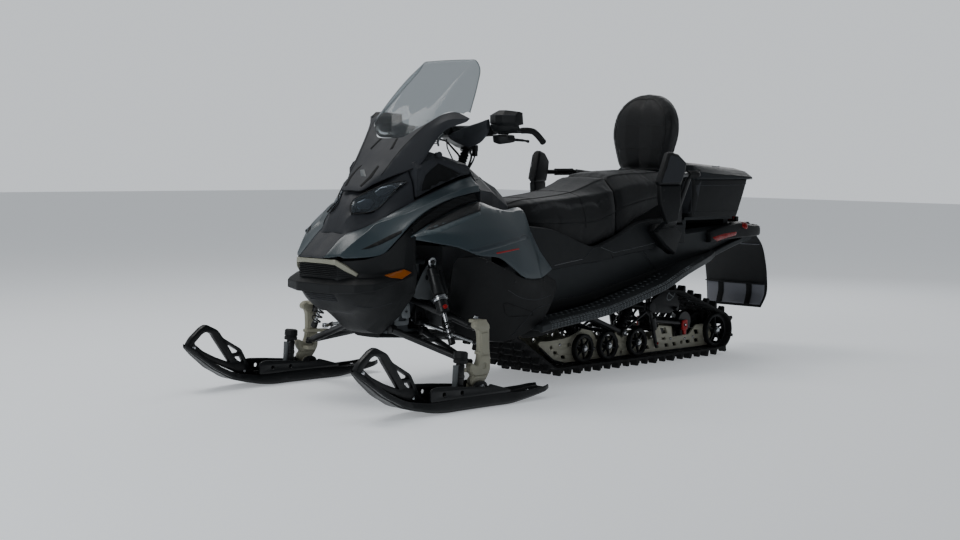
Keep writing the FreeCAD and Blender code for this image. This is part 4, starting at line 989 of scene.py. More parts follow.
BUMPER = (
    ((1368, 0), (1343, 0), (1300, 0), 450, 487, 512),
    ((1368, 108), (1342, 98), (1300, 80), 450, 487, 512),
    ((1331, 212), (1306, 190), (1262, 150), 456, 490, 515),
    ((1277, 266), (1254, 240), (1210, 200), 466, 494, 518),
    ((1222, 287), (1204, 266), (1170, 230), 482, 502, 522),
    ((1176, 302), (1168, 292), (1140, 262), 499, 509, 517),
    ((1146, 303), (1142, 298), (1125, 276), 505, 510, 514),
)
half = [[(f[0], f[1], lo), (f[0], f[1], mid), (t[0], t[1], hi), (b[0], b[1], hi), (b[0], b[1], lo)] for f, t, b, lo, mid, hi in BUMPER]
lip = loft("front_bumper_lip", [[(x, -y, z) for x, y, z in r] for r in reversed(half[1:])] + half, BLACK, nu=6, straight=True, angle=24, bev=5.0, slot="black_plastic")
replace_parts(lip, "front_bumper")
nose_tree = tree_of(nose, wing)
marker = inlay("amber_marker_left", [(384.6, 275.5), (403.8, 269.4), (411.5, 272.7), (398.8, 281.2)], nose_tree, 4.0, AMBER, depth=6, step=3, bev=1.2)
pair(marker, "amber_marker_right")
slit = inlay("wing_slit_left", [(361.4, 249.6), (376, 242.4), (391, 234.8), (404.6, 229), (404.6, 231.4), (392, 239), (380, 244.8), (369.3, 248.6)], tree_of(wing), 0.8, DEEP, depth=2.5, step=3, bev=0.2)
pair(slit, "wing_slit_right")
nose_ridge = seam("nose_ridge_left", [(362, 274.2), (387.7, 272.2), (413.6, 265)], nose_tree, 1.4, BLACK)
pair(nose_ridge, "nose_ridge_right")
nose_fold = seam("nose_fold_left", [(353, 306), (372, 308), (392, 303)], tree_of(nose), 1.2, CHARCOAL)
pair(nose_fold, "nose_fold_right")

MASK = {
    1000: ((212, 826), (196, 903), (170, 952), (0, 963)),
    1080: ((196, 794), (161, 847), (121, 891), (0, 903)),
    1121: ((184, 772), (143, 817), (94, 867), (0, 879)),
    1155: ((162, 748), (124, 782), (66, 851), (0, 860)),
    1195: ((138, 724), (92, 776), (38, 818), (0, 822)),
    1230: ((108, 706), (64, 764), (14, 770), (0, 771)),
    1268: ((80, 689), (46, 693), (18, 695), (0, 696)),
}
mask = sheet("headlight_mask_shell", [whole([(x, y, z) for y, z in MASK[x]]) for x in sorted(MASK)], CHARCOAL, t=5, nu=5, nv=3, crown=0.02, out=(0.5, 0, 1), bev=1.5, angle=26, slot="charcoal_plastic")
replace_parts(mask, "headlight_mask")

LENS = (((1230, 74, 778), (1198, 46, 824)), ((1158, 134, 786), (1180, 64, 844)), ((1103, 155, 831), (1083, 133, 897)), ((1068, 171, 875), (1024, 188, 908)))
outv = Vector((0.45, 0.55, 0.62)).normalized()


def lamp_rows(d, grow=0.0):
    rows = []
    for lo, up in LENS:
        lo, up = Vector(lo), Vector(up)
        m = (lo + up) / 2
        lo2, up2 = m + (lo - m) * (1 + grow), m + (up - m) * (1 + grow)
        rows.append([tuple(lo2 + outv * d), tuple((lo2 + up2) / 2 + outv * (d + 5)), tuple(up2 + outv * d)])
    return rows


lamp_back = sheet("lamp_housing_left", lamp_rows(-9, 0.03), GLOSS, t=16, nu=6, nv=4, out=tuple(outv), bev=1.0, angle=40)
lamp_glass = sheet("lamp_lens_left", lamp_rows(0.5), LENS_MAT, t=2.2, nu=6, nv=5, out=tuple(outv), bev=0.5, angle=50, soft=True, slot="lens")
lamp_edge_pts = [lo for lo, up in LENS] + [up for lo, up in reversed(LENS)]
lamp_tree = tree_of(lamp_back)
eye_a = inlay("lamp_reflector_a_left", [(374, 192.5), (381, 187.4), (392, 185.2), (396, 187.4), (389, 192.6), (379, 196.4)], lamp_tree, 2.2, CHROME, depth=4, step=2.5, bev=0.8)
eye_b = inlay("lamp_reflector_b_left", [(356, 203.2), (364, 199.6), (372, 199.4), (374, 203.2), (369, 208.4), (358, 208.8)], lamp_tree, 2.2, CHROME, depth=4, step=2.5, bev=0.8)
eye_c = inlay("lamp_bezel_left", [(376, 203), (388, 196.5), (396, 190.5), (398, 192), (389, 200), (377, 207)], lamp_tree, 1.5, GREY_LINE, depth=3, step=2.5, bev=0.6)
for o, n in ((lamp_back, "lamp_housing_right"), (lamp_glass, "lamp_lens_right"), (eye_a, "lamp_reflector_a_right"), (eye_b, "lamp_reflector_b_right"), (eye_c, "lamp_bezel_right")):
    pair(o, n)
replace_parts(lamp_glass, "headlights")
# bead round each lamp
bead = pipe("lamp_bead_left", [tuple(Vector(p) + outv * 0.6) for p in lamp_edge_pts], 2.2, BLACK, n=6, seg=8, closed=True)
pair(bead, "lamp_bead_right")

BASE = (
    ((1168, 0, 869), (1062, 0, 975), (950, 0, 1090)),
    ((1166, 60, 870), (1060, 52, 974), (949, 42, 1090)),
    ((1112, 94, 900), (1053, 108, 975), (945, 84, 1096)),
    ((1058, 136, 931), (1012, 124, 1024), (916, 128, 1128)),
    ((970, 205, 978), (944, 152, 1098), (887, 172, 1156)),
    ((918, 219, 1043), (890, 198, 1132), (842, 196, 1186)),
    ((855, 237, 1121), (838, 246, 1168), (802, 216, 1201)),
    ((786, 300, 1160), (780, 314, 1174), (776, 232, 1203)),
)
base = sheet("windshield_base_shell", [[(x, -y, z) for x, y, z in r] for r in reversed(BASE[1:])] + [list(r) for r in BASE], CHARCOAL, t=8, nu=6, nv=5, crown=0.02, out=(0.8, 0, 0.6), bev=2.2, angle=24, slot="charcoal_plastic")
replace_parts(base, "windshield_base")
base_tree = tree_of(base, mask)
for name, px, lift, mat in (
        ("base_slit_top", [(396.6, 137.4), (398.4, 138), (393, 148.6), (389.8, 149.8)], 0.8, DEEP),
        ("base_slit_low", [(377.6, 165.4), (379.4, 166.4), (372, 177.4), (361.2, 187), (359.8, 185.8), (369, 176.4)], 0.8, DEEP)):
    o = inlay(name + "_left", px, base_tree, lift, mat, depth=2.2, step=2.5, bev=0.3)
    pair(o, name + "_right")
inlay("base_window", [(360.2, 170), (364.2, 169.4), (366.2, 176.8), (361, 176.4)], base_tree, 1.0, GREY_LINE, depth=2.2, step=2.5, bev=0.3)
base_fold = seam("base_fold_left", [(428.7, 123), (420, 130.2), (407.7, 142.1), (397, 154.2), (388.6, 165.1), (380.9, 175.6)], base_tree, 1.7, BLACK)
pair(base_fold, "base_fold_right")
base_seam = seam("base_seam_left", [(350.8, 190.6), (360.4, 191.2), (376, 184.6), (392.4, 176.9), (405, 171.6), (419.2, 165.9)], base_tree, 2.4, DEEP)
pair(base_seam, "base_seam_right")

FOOT = ((947, 0, 1094), (942, 84, 1101), (884, 172, 1161), (839, 196, 1191), (799, 217, 1206), (774, 268, 1197))
HEAD = ((591, 0, 1443), (594, 120, 1441), (597, 161, 1437), (599, 188, 1404), (652, 226, 1328), (744, 274, 1207))
rows = []
for f, h in zip(FOOT, HEAD):
    f, h = Vector(f), Vector(h)
    bulge = Vector((0.72, 0, 0.70)) * 10 * ((h - f).length / 500)
    rows.append([tuple(f + Vector((-3, 0, -1))), tuple(f.lerp(h, 0.33) + bulge * 0.9), tuple(f.lerp(h, 0.66) + bulge), tuple(h + Vector((-3, 0, -4)))])
rows = [[(x, -y, z) for x, y, z in r] for r in reversed(rows[1:])] + rows
glass = sheet("windshield_glass", rows, SCREEN, t=3.5, nu=7, nv=7, out=(0.8, 0, 0.6), bev=0.8, angle=50, soft=True, slot="tinted_screen")
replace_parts(glass, "windshield")
edge_left = pipe("windshield_edge", [tuple(Vector(h) + Vector((-4, 0, -6))) for h in ([(x, -y, z) for x, y, z in reversed(HEAD[1:])] + list(HEAD))], 2.3, EDGE_MAT, n=7, seg=8)
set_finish(edge_left, "tinted_screen")
# ================================================================ console and side panels
CONSOLE = {
    330: ((118, 640), (118, 790), (95, 826), (0, 830)),
    440: ((160, 640), (165, 830), (140, 878), (0, 884)),
    560: ((230, 640), (240, 860), (165, 921), (0, 926)),
    690: ((292, 700), (292, 872), (215, 972), (0, 978)),
}
console_map = NODE["console"]
console_tree = tree_of(console_map)
SIDE_UP = {
    300: ((346, 540), (351, 536), (356, 529), (362, 521)),
    350: ((330, 606), (338, 599), (352, 570), (380, 506)),
    405: ((306, 722), (318, 708), (345, 640), (402, 493)),
    440: ((294, 792), (316, 778), (352, 690), (416, 492)),
    560: ((306, 786), (346, 779), (404, 680), (440, 502)),
    650: ((312, 806), (358, 790), (420, 690), (446, 552)),
    730: ((316, 825), (362, 795), (425, 700), (450, 592)),
    850: ((320, 800), (372, 776), (425, 700), (450, 606)),
    950: ((320, 765), (374, 748), (420, 695), (433, 640)),
    1050: ((318, 722), (362, 724), (392, 700), (404, 660)),
    1122: ((318, 686), (338, 692), (352, 686), (348, 674)),
}
side = sheet("side_panel_shell_left", [[(x, y, z) for y, z in SIDE_UP[x]] for x in sorted(SIDE_UP)], PAINT, t=6, nu=5, nv=5, crown=0.025, out=(0, 1, 0.3), bev=2.2, angle=26, slot="paint_slate")
SIDE_LOW = {
    262: ((355, 470), (358, 450), (357, 425), (340, 405)),
    350: ((378, 500), (384, 420), (375, 322), (335, 312)),
    420: ((406, 488), (400, 400), (360, 264), (285, 250)),
    560: ((438, 498), (405, 400), (330, 217), (255, 214)),
    690: ((445, 548), (405, 420), (312, 232), (250, 224)),
    840: ((440, 600), (395, 480), (306, 268), (262, 256)),
    880: ((410, 600), (370, 520), (322, 405), (290, 392)),
    908: ((378, 596), (350, 560), (334, 470), (318, 455)),
}
# the lower side panel is in the darker black: painted shade
low = sheet("lower_panel_shell_left", [[(x, y - (1.5 if k == 0 else 0), z - (2 if k == 0 else 0)) for k, (y, z) in enumerate(SIDE_LOW[x])] for x in sorted(SIDE_LOW)], SHADE, t=6, nu=5, nv=5, crown=0.02, out=(0, 1, 0), bev=2.5, angle=28, slot="black_plastic")
# the belly behind the lower panel's foot, in the darker black that paints shade
skirt = plate("belly_skirt_left", ((392, 246), (361, 209), (308, 206), (261, 207), (194, 215), (139, 226), (180, 262), (249, 296), (329, 300), (392, 290)), 236, 250, SHADE, rnd=14, bev=4, holes=((352, 240, 5), (206, 238, 5)))
pair(skirt, "belly_skirt_right")
side_tree = tree_of(side)
low_tree = tree_of(low)
# a strip of paler paint near the side panel's top edge: painted highlight on that facet
rim = inlay("side_rim_left", [(424, 231.6), (432, 230.2), (441, 227.2), (453, 222.4), (468, 216.6), (480, 212), (481, 214.6), (470, 219.8), (456, 225.6), (443, 231.4), (432, 234.6), (427, 234.8)], side_tree, 0.7, PAINT_LIT, depth=1.6, step=3, bev=0.3)
pair(rim, "side_rim_right")
strip = inlay("side_top_strip_left", [(425, 229.8), (433, 222.2), (447, 214.4), (464, 206), (478, 202), (480.5, 203.5), (480.5, 210.8), (468, 215.2), (453, 221), (441, 226), (432, 229.4)], side_tree, 1.5, BLACK, depth=2.6, step=3, bev=0.4)
accent = inlay("side_accent_left", [(496.4, 252.6), (518.9, 248.1), (519.3, 249.4), (496.8, 254.1)], side_tree, 0.5, RED_PAINT, depth=1.2, step=3, bev=0.1)
# a band of darker paint along the side panel's middle crease: painted shade below the crease
crease_shade = inlay("side_tail_band_left", [(464.8, 250.4), (478.8, 247.6), (525, 234.4), (529.4, 238), (500, 247.6), (478, 253.6)], side_tree, 0.35, PAINT_SHADE, depth=1.0, step=4, bev=0.2)
tri = seam("lower_recess_left", [(503.4, 303.6), (507, 303), (532.6, 312.2), (533, 315.4), (509, 317), (505, 313)], low_tree, 1.8, DEEP, closed=True, smooth=False)
fold = seam("lower_fold_left", [(508, 290), (520, 297.2), (536, 299.8), (551, 295)], low_tree, 1.6, CHARCOAL)
rib = seam("lower_rib_left", [(512, 336), (524, 322), (536, 309), (550, 304)], low_tree, 1.6, CHARCOAL)
for o, n in ((strip, "side_top_strip_right"), (accent, "side_accent_right"), (crease_shade, "side_tail_band_right"), (tri, "lower_recess_right"), (fold, "lower_fold_right"), (rib, "lower_rib_right")):
    pair(o, n)
bolts = []
for k, (u, v) in enumerate(((509, 268), (487, 261.4), (544, 280.4), (515.5, 281.5))):
    p, n = onto(low_tree, u, v)
    bolts.append(bolt("panel_screw_%d" % k, tuple(p / MM), tuple(n), 5, STEEL, h=2.5))
screws = join("panel_screws_left", bolts)
pair(screws, "panel_screws_right")
for s, lo_, n in ((side, low, "left"),):
    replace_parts(s, "side_panel_left")
    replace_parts(lo_, "lower_panel_left")
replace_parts(pair(side, "side_panel_shell_right"), "side_panel_right")
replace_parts(pair(low, "lower_panel_shell_right"), "lower_panel_right")

# slanted louvres in the strip between the wing and the side panel
VENT = ((742, 309, 858, 322, 832), (850, 309, 846, 326, 812), (950, 309, 806, 326, 776), (1050, 309, 758, 324, 732), (1100, 309, 726, 322, 706))


def vent_at(x):
    for a, b in zip(VENT, VENT[1:]):
        if a[0] <= x <= b[0]:
            k = (x - a[0]) / (b[0] - a[0])
            return [a[i] + (b[i] - a[i]) * k for i in range(1, 5)]
    return list(VENT[-1][1:])


blades = []
for k, x in enumerate((814, 862, 910, 958, 1006, 1054)):
    (ty, tz), (by, bz) = vent_at(x)[:2], vent_at(x - 70)[2:]
    (ty2, tz2), (by2, bz2) = vent_at(x + 38)[:2], vent_at(x - 32)[2:]
    blades.append(sheet("blade%d" % k, [[(x, ty + 5, tz - 3), (x - 70, by + 4, bz + 3)], [(x + 38, ty2 - 1, tz2 - 3), (x - 32, by2 - 1, bz2 + 3)]], BLACK, t=3, nu=3, nv=5, out=(0, 1, 0.2), bev=0.8))
louvres = join("vent_louvres_left", blades)
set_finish(louvres, "black_plastic")
pair(louvres, "vent_louvres_right")
vent_rim = inlay("console_rim_left", [(421.1, 163.1), (430.7, 158.8), (439.3, 156.8), (449.8, 160.2), (464.1, 167.4), (484, 177.6), (474, 182), (466, 175.4), (436.4, 160.9), (424.2, 174.4), (420.8, 183.6), (420.1, 191), (417.6, 190), (418.6, 176)], console_tree, 1.4, CHARCOAL, depth=3, step=3, bev=0.6)
pair(vent_rim, "console_rim_right")
vent_panel = inlay("console_vent_left", [(438.3, 163.4), (431, 169.6), (425.4, 175.6), (422.3, 184.6), (421.6, 191), (434, 187.8), (450, 182.4), (464.5, 176.4), (452, 169.6)], console_tree, 1.0, DEEP, depth=2.4, step=4, bev=0.6)
pair(vent_panel, "console_vent_right")
# ================================================================ shocks, spindles, skis
S0, S1 = Vector((978, 286, 576)), Vector((996, 440, 246))


def on_shock(t):
    return tuple(S0 + (S1 - S0) * t)


def shock_at(t0, t1, prof, name, mat, seg=28):
    return turned(name, on_shock(t0), on_shock(t1), prof, mat, seg=seg)


eye = turned("shock_eye", (978, 270, 576), (978, 302, 576), [(0, 10), (0.0, 19), (0.1, 21), (0.9, 21), (1.0, 19), (1.0, 10)], ALLOY, seg=28)
eye_bolt = turned("shock_bolt", (978, 264, 576), (978, 309, 576), [(0, 7), (0.05, 10), (0.18, 10), (0.2, 8.5), (0.8, 8.5), (0.82, 10), (0.95, 10), (1, 7)], STEEL, seg=6)
neck = shock_at(0.02, 0.09, [(0, 13), (0.4, 15), (1.0, 23)], "shock_neck", ALLOY)
can = shock_at(0.085, 0.40, [(0, 20), (0.03, 24), (0.3, 24.5), (0.31, 23.4), (0.34, 23.4), (0.35, 24.5), (0.95, 24.5), (1, 22)], "shock_can", STEEL)
threads = join("shock_threads", [shock_at(0.40 + 0.014 * k, 0.412 + 0.014 * k, [(0, 25.0), (0.5, 27.0), (1, 25.0)], "thr%d" % k, STEEL) for k in range(2)])
collar = shock_at(0.425, 0.485, [(0, 26), (0.05, 33), (0.35, 34), (0.4, 31), (0.6, 31), (0.65, 34), (0.95, 33), (1, 26)], "shock_collar", ALLOY)
lower_can = shock_at(0.485, 0.63, [(0, 24), (0.05, 27), (0.5, 27), (0.55, 25.5), (0.9, 25.5), (1, 18)], "shock_lower_can", STEEL)
knob_d = Vector((0.35, 0.9, 0.1)).normalized()
kp = Vector(on_shock(0.545))
knob = turned("shock_knob", tuple(kp + knob_d * 22), tuple(kp + knob_d * 37), [(0, 9), (0.2, 9.5), (0.25, 8), (0.4, 8), (0.45, 9.5), (0.9, 9), (1, 7)], RED_PAINT, seg=14)
rod_ = shock_at(0.62, 0.97, [(0, 8.5), (1, 8.5)], "shock_shaft", ALLOY)
foot = shock_at(0.93, 1.0, [(0, 12), (0.15, 15), (0.9, 15.5), (1, 13)], "shock_foot", STEEL)
loops = coil("shock_loops", on_shock(0.72), on_shock(0.93), 21, 3.2, 3.3, BRAID)
side_can = turned("shock_reservoir", tuple(Vector(on_shock(0.12)) + Vector((-34, 2, 0))), tuple(Vector(on_shock(0.40)) + Vector((-34, 2, 0))), [(0, 10), (0.05, 15), (0.9, 15), (1.0, 11)], STEEL)
shock_all = [eye, eye_bolt, neck, can, threads, collar, lower_can, knob, rod_, foot, loops, side_can]
left_shock = join("front_shock_left", shock_all)
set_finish(left_shock, "shock_metal")
right_shock = mirrored(left_shock, "front_shock_right")
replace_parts(left_shock, "front_shocks")
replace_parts(right_shock, "front_shocks")

# spindles: cast leg with a hooked head, ribbed web, steering arm and pivot boss
LEG = ((968, 352), (918, 352), (900, 332), (898, 290), (897, 236), (892, 196), (892, 150), (902, 126), (926, 98), (944, 82), (988, 82), (1004, 96), (1002, 116), (988, 128), (1004, 142), (1012, 166), (1004, 183), (984, 174), (968, 166), (958, 186), (952, 236), (954, 292), (962, 314), (982, 320), (984, 338))
pieces = [
    plate("leg_core", LEG, 533, 557, CREAM_CAST, "knuckle_left", rnd=9, bev=3),
    plate("leg_web", ((906, 300), (946, 300), (946, 226), (930, 212), (904, 216)), 529.5, 560.5, CREAM_CAST, "knuckle_left", rnd=8, bev=3),
    plate("leg_head", ((966, 350), (920, 350), (902, 331), (900, 312), (940, 306), (962, 316), (980, 322), (982, 337)), 528.5, 561.5, CREAM_CAST, "knuckle_left", rnd=8, bev=4),
    plate("leg_low", ((896, 206), (894, 152), (904, 128), (986, 126), (1002, 143), (1010, 166), (1003, 181), (985, 172), (967, 164), (955, 186), (950, 206)), 528.5, 561.5, CREAM_CAST, "knuckle_left", rnd=8, bev=4, holes=((930, 166, 12),)),
    plate("leg_foot", ((945, 84), (987, 84), (1002, 97), (1000, 115), (984, 126), (940, 126), (906, 126), (928, 99)), 528.5, 561.5, CREAM_CAST, "knuckle_left", rnd=6, bev=4),
]
fork = plate("leg_fork", ((914, 492), (914, 560), (960, 562), (960, 492)), 338.5, 352.5, CREAM_CAST, "knuckle_left", axis="z", rnd=10, bev=3)
hub = plate("leg_hub", ((946, 492), (946, 560), (986, 562), (986, 492)), 136.5, 152.5, CREAM_CAST, "knuckle_left", axis="z", rnd=10, bev=3)
arm = plate("leg_arm", ((962, 530), (962, 561), (884, 530), (860, 512), (860, 494), (884, 490)), 210.5, 224.5, CREAM_CAST, "knuckle_left", axis="z", rnd=9, bev=3)
boss = turned("leg_boss", (965, 512.5, 82), (965, 563.5, 82), [(0, 8), (0, 21), (0.06, 23.8), (0.3, 23.8), (0.34, 22), (0.66, 22), (0.7, 23.8), (0.94, 23.8), (1, 21), (1, 8)], CREAM_CAST, "knuckle_left")
nut_top = turned("leg_nut", (930.5, 508, 353), (927.5, 508, 364), [(0, 13), (0.3, 13), (0.35, 10), (0.9, 10), (1, 6)], ALLOY, "knuckle_left", seg=6)
leg = join("spindle_casting_left", pieces + [fork, hub, arm, boss, nut_top])
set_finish(leg, "cream_paint")
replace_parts(leg, "spindle_left")
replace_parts(mirrored(leg, "spindle_casting_right", "knuckle_right"), "spindle_right")

# rod ends and boots on the tie rods; ball joints on the arms
boot = turned("tie_boot_left", (873, 504, 229), (873, 504, 249), [(0, 12), (0.15, 15.5), (0.3, 13.5), (0.45, 16), (0.6, 13.5), (0.8, 15), (1, 9)], GRIP, "tie_rod_left")
mirrored(boot, "tie_boot_right", "tie_rod_right")
for side_name, sg in (("left", 1), ("right", -1)):
    a, b = Vector((900, 96 * sg, 318)), Vector((873, 504 * sg, 239))
    turned("tie_nut_%s" % side_name, tuple(a.lerp(b, 0.86)), tuple(a.lerp(b, 0.9)), [(0, 8.5), (0.1, 12), (0.9, 12), (1, 8.5)], STEEL, "tie_rod_" + side_name, seg=6)
boots = []
for p, q, r in (((965, 508, 164), (965, 508, 190), 16), ((928, 508, 322), (931, 508, 337), 14)):
    boots.append(turned("ball", p, q, [(0, r - 3), (0.2, r), (0.45, r - 2.5), (0.6, r - 0.5), (0.85, r - 4), (1, r - 6)], GRIP, "chassis"))
for p in ((1058, 140, 287), (878, 140, 270), (1008, 140, 431), (880, 140, 402)):
    boots.append(turned("bush", (p[0] - 17, p[1] + 4, p[2]), (p[0] + 17, p[1] + 4, p[2]), [(0, 12), (0.05, 17), (0.25, 17), (0.3, 15), (0.7, 15), (0.75, 17), (0.95, 17), (1, 12)], STEEL))
bj = join("arm_joints_left", boots)
pair(bj, "arm_joints_right")

# brackets in front of the bulkhead
br = [
    plate("front_bracket", ((868, 300), (905, 296), (934, 306), (940, 352), (922, 404), (894, 404), (878, 352)), 140, 156, STEEL, rnd=8, bev=3, holes=((905, 340, 12),)),
    brick("bracket_foot", (872, 141, 300), (932, 176, 322), STEEL, bev=4),
    plate("tower_rib", ((884, 420), (980, 420), (976, 560), (910, 585)), 137, 142, BULK_GREY, rnd=12, bev=1.5, holes=(((905, 440), (955, 440), (952, 500), (912, 505)), ((915, 525), (955, 520), (955, 548), (918, 560))), hole_rnd=8),
    plate("tower_low", ((960, 300), (1046, 300), (1006, 460), (964, 460)), 137, 142, BULK_GREY, rnd=12, bev=1.5, holes=(((975, 318), (1022, 318), (1010, 352), (975, 352)), ((975, 372), (1006, 372), (996, 432), (975, 432))), hole_rnd=7),
]
br.append(plate("tower_web", ((994, 417), (922, 530), (888, 566), (822, 480), (790, 410), (870, 404)), 184, 189, BULK_GREY, rnd=10, bev=1.5, holes=((900, 500, 11), (868, 452, 9))))
br.append(plate("tower_foot", ((1052, 384), (1000, 398), (996, 336), (1040, 336)), 184, 189, BULK_GREY, rnd=8, bev=1.5, holes=((1018, 366, 8),)))
br.append(brick("tower_stay_a", (896, 139, 486), (914, 187, 504), GREY_CAST, bev=3))
br.append(brick("tower_stay_b", (1006, 139, 352), (1024, 187, 366), GREY_CAST, bev=3))
tower = join("tower_plates_left", br)
pair(tower, "tower_plates_right")

# ---- skis: a channel with rolled edges, keel and wear bar
PIV = (965, 538, 82)
SKI_LOW = ((-412, 34), (-300, 16), (-150, 0), (230, 0), (330, 10), (430, 38), (530, 90), (610, 148), (663, 190))
SKI_TOP = ((-412, 56), (-330, 50), (-200, 46), (-30, 52), (150, 52), (280, 48), (340, 52), (440, 70), (520, 108), (575, 148), (622, 184), (662, 208))
SKI_WIDTH = ((-412, 40), (-380, 56), (-200, 72), (310, 74), (430, 64), (540, 48), (620, 30), (663, 10))


def at_x(table, x):
    for (a, va), (b, vb) in zip(table, table[1:]):
        if a <= x <= b:
            return va + (vb - va) * (x - a) / (b - a)
    return table[0][1] if x < table[0][0] else table[-1][1]


rings = []
for x in (-411, -398, -380, -330, -270, -200, -150, -30, 80, 150, 230, 310, 370, 430, 480, 530, 575, 610, 640, 657, 661):
    lo_, hi_, w = at_x(SKI_LOW, x), at_x(SKI_TOP, x), at_x(SKI_WIDTH, x)
    h = hi_ - lo_
    k = min(1.0, w / 60)
    keel = 14 * k
    floor_in = lo_ + h * 0.42
    X, Y = PIV[0] + x, PIV[1]
    ring = [(X, Y, lo_), (X, Y + keel, lo_ + 1), (X, Y + keel + 4, lo_ + h * 0.20), (X, Y + w * 0.62, lo_ + h * 0.16), (X, Y + w * 0.9, lo_ + h * 0.05), (X, Y + w, lo_ + h * 0.28), (X, Y + w * 0.985, lo_ + h * 0.80), (X, Y + w * 0.92, hi_),
            (X, Y + w * 0.80, hi_ - h * 0.03), (X, Y + w * 0.74, floor_in + 4), (X, Y + w * 0.60, floor_in), (X, Y, floor_in)]
    ring += [(a, 2 * Y - b, c) for a, b, c in reversed(ring[1:-1])]
    rings.append(ring)
ski = loft("ski_blade_left", rings, SKI, "ski_left", nu=4, angle=30, bev=1.4, slot="ski_plastic")
extra = []
WALL = ((1274, 50), (1274, 93), (1266, 105), (1239, 110), (1154, 104), (948, 84), (935, 95), (895, 84), (817, 62), (817, 50))
for y in (PIV[1] - 66, PIV[1] + 56):
    extra.append(plate("side_wall", WALL, y, y + 10, SKI, "ski_left", rnd=8, bev=3, holes=((1200, 76, 9), (1100, 74, 9))))
for y in (PIV[1] - 40, PIV[1] + 28):
    extra.append(plate("pivot_lug", ((915, 48), (1016, 48), (1000, 96), (984, 106), (946, 106), (930, 96)), y, y + 12, SKI, "ski_left", rnd=10, bev=3))
extra.append(turned("pivot_head", (965, 574, 82), (965, 586, 82), [(0, 15), (0.25, 15), (0.3, 12.8), (0.9, 12.8), (1.0, 10)], ALLOY, "ski_left", seg=6))
extra.append(turned("pivot_tail", (965, 498, 82), (965, 508, 82), [(0, 9), (0.1, 12.5), (0.8, 12.5), (1.0, 12.5)], ALLOY, "ski_left", seg=6))
extra.append(turned("adjuster_post", (1056, 538, 60), (1047, 538, 182), [(0, 22), (0.08, 22), (0.1, 19), (0.5, 19), (0.52, 21), (0.6, 21), (0.62, 18.5), (0.95, 18.5), (1, 16)], STEEL, "ski_left"))
extra.append(turned("adjuster_knob", (1048, 538, 180), (1043.4, 538, 231), [(0, 16), (0.06, 29), (0.30, 30), (0.34, 27), (0.42, 27), (0.46, 30), (0.9, 29), (1, 22)], BLACK, "ski_left", seg=12))
extra.append(plate("adjuster_strap", ((1076, 70), (1084, 70), (1078, 176), (1068, 176)), 526, 550, GREY_LINE, "ski_left", rnd=3, bev=1.2))
extra.append(brick("post_clamp", (1030, 510, 62), (1084, 566, 86), BLACK, "ski_left", bev=4))
for x in (-180, 220, 300, -300):
    extra.append(bolt("ski_bolt", (965 + x, 538 + (0 if x in (-180, 220) else 20), at_x(SKI_LOW, x) + 22), (0, 0, 1), 8, ALLOY, "ski_left", h=5))
extra.append(pipe("wear_bar", [(965 + x, 538, at_x(SKI_LOW, x) + 4.4) for x in (-230, -150, 0, 150, 230, 300)], 4.2, ALLOY, "ski_left", n=4, seg=10))
hw = join("ski_fittings_left", extra)
LOOP = ((1623, 198), (1598, 232), (1547, 272), (1519, 284), (1457, 255), (1429, 219), (1333, 165), (1282, 75), (1240, 44), (1255, 33), (1324, 48), (1473, 113), (1561, 161), (1603, 181))
WIN = (((1582, 206), (1540, 243), (1518, 251), (1491, 241), (1474, 216), (1394, 110), (1474, 140), (1536, 170)), ((1406, 186), (1399, 187), (1342, 154), (1345, 149), (1379, 146)), ((1370, 132), (1335, 131), (1319, 105), (1347, 112)))
loop = plate("ski_loop_strap_left", LOOP, 524.5, 551.5, SKI, "ski_left", rnd=12, bev=5, holes=WIN, hole_rnd=7, slot="ski_plastic")
lb = join("ski_loop_bolts_left", [turned("lb%d" % k, (965 + a, 520.5, b), (965 + a, 555.5, b), [(0, 5), (0.04, 9), (0.1, 9), (0.12, 6), (0.88, 6), (0.9, 9), (0.96, 9), (1, 5)], ALLOY, "ski_left", seg=14) for k, (a, b) in enumerate(((622, 190), (352, 66)))])
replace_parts(ski, "ski_left")
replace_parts(hw, "ski_left")
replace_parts(loop, "ski_loop_left")
for o, n in ((ski, "ski_blade_right"), (hw, "ski_fittings_right")):
    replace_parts(mirrored(o, n, "ski_right"), "ski_right")
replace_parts(mirrored(loop, "ski_loop_strap_right", "ski_right"), "ski_loop_right")
mirrored(lb, "ski_loop_bolts_right", "ski_right")

# ================================================================ steering
ST = "steering"
half_path = [(594, 60, 1130), (594, 140, 1130), (594, 204, 1130), (592.8, 262, 1130), (591.4, 300, 1129.6), (588.6, 340, 1128), (582, 372, 1127.2), (566, 402, 1127.6), (549, 429, 1128.6), (533, 446, 1125), (517, 453, 1114), (496, 455.6, 1097), (475, 456, 1080)]
path = [(x, -y, z) for x, y, z in reversed(half_path)] + [(594, 0, 1130)] + half_path
bar = pipe("handlebar_tube", path, 11.3, STEEL, ST, n=4, seg=18, slot="black_steel")
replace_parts(bar, "handlebar")
mid = turned("bar_riser_clamp", (594, -69, 1130), (594, 69, 1130), [(0, 12), (0.02, 14.8), (0.30, 14.8), (0.32, 14.0), (0.68, 14.0), (0.70, 14.8), (0.98, 14.8), (1, 12)], BLACK, ST)
ctl = []
# rubber grip along the bar, with ribs, and the hooked end
ctl.append(turned("grip_inner", (591.4, 300, 1129.6), (587.4, 352, 1127.7), [(0, 13), (0.04, 17.8), (0.1, 17.8)] + [(0.1 + 0.8 * (k + 0.5 * j) / 9, 16.6 + 1.0 * j) for k in range(9) for j in (0, 1)] + [(0.92, 17.8), (0.98, 17.8), (1, 13)], GRIP, ST))
end_pts = [(562, 408, 1127.8), (546, 433, 1128), (530, 448, 1123.6), (512, 454.4, 1110), (492, 456, 1094), (478, 456, 1082.5)]
ctl.append(pipe("grip_end", end_pts, 13.6, GRIP, ST, n=6, seg=18))
ctl.append(turned("grip_cap", (481, 456, 1085), (472, 456, 1077.6), [(0, 13.6), (0.5, 14.4), (0.9, 13), (1, 9)], GRIP, ST))
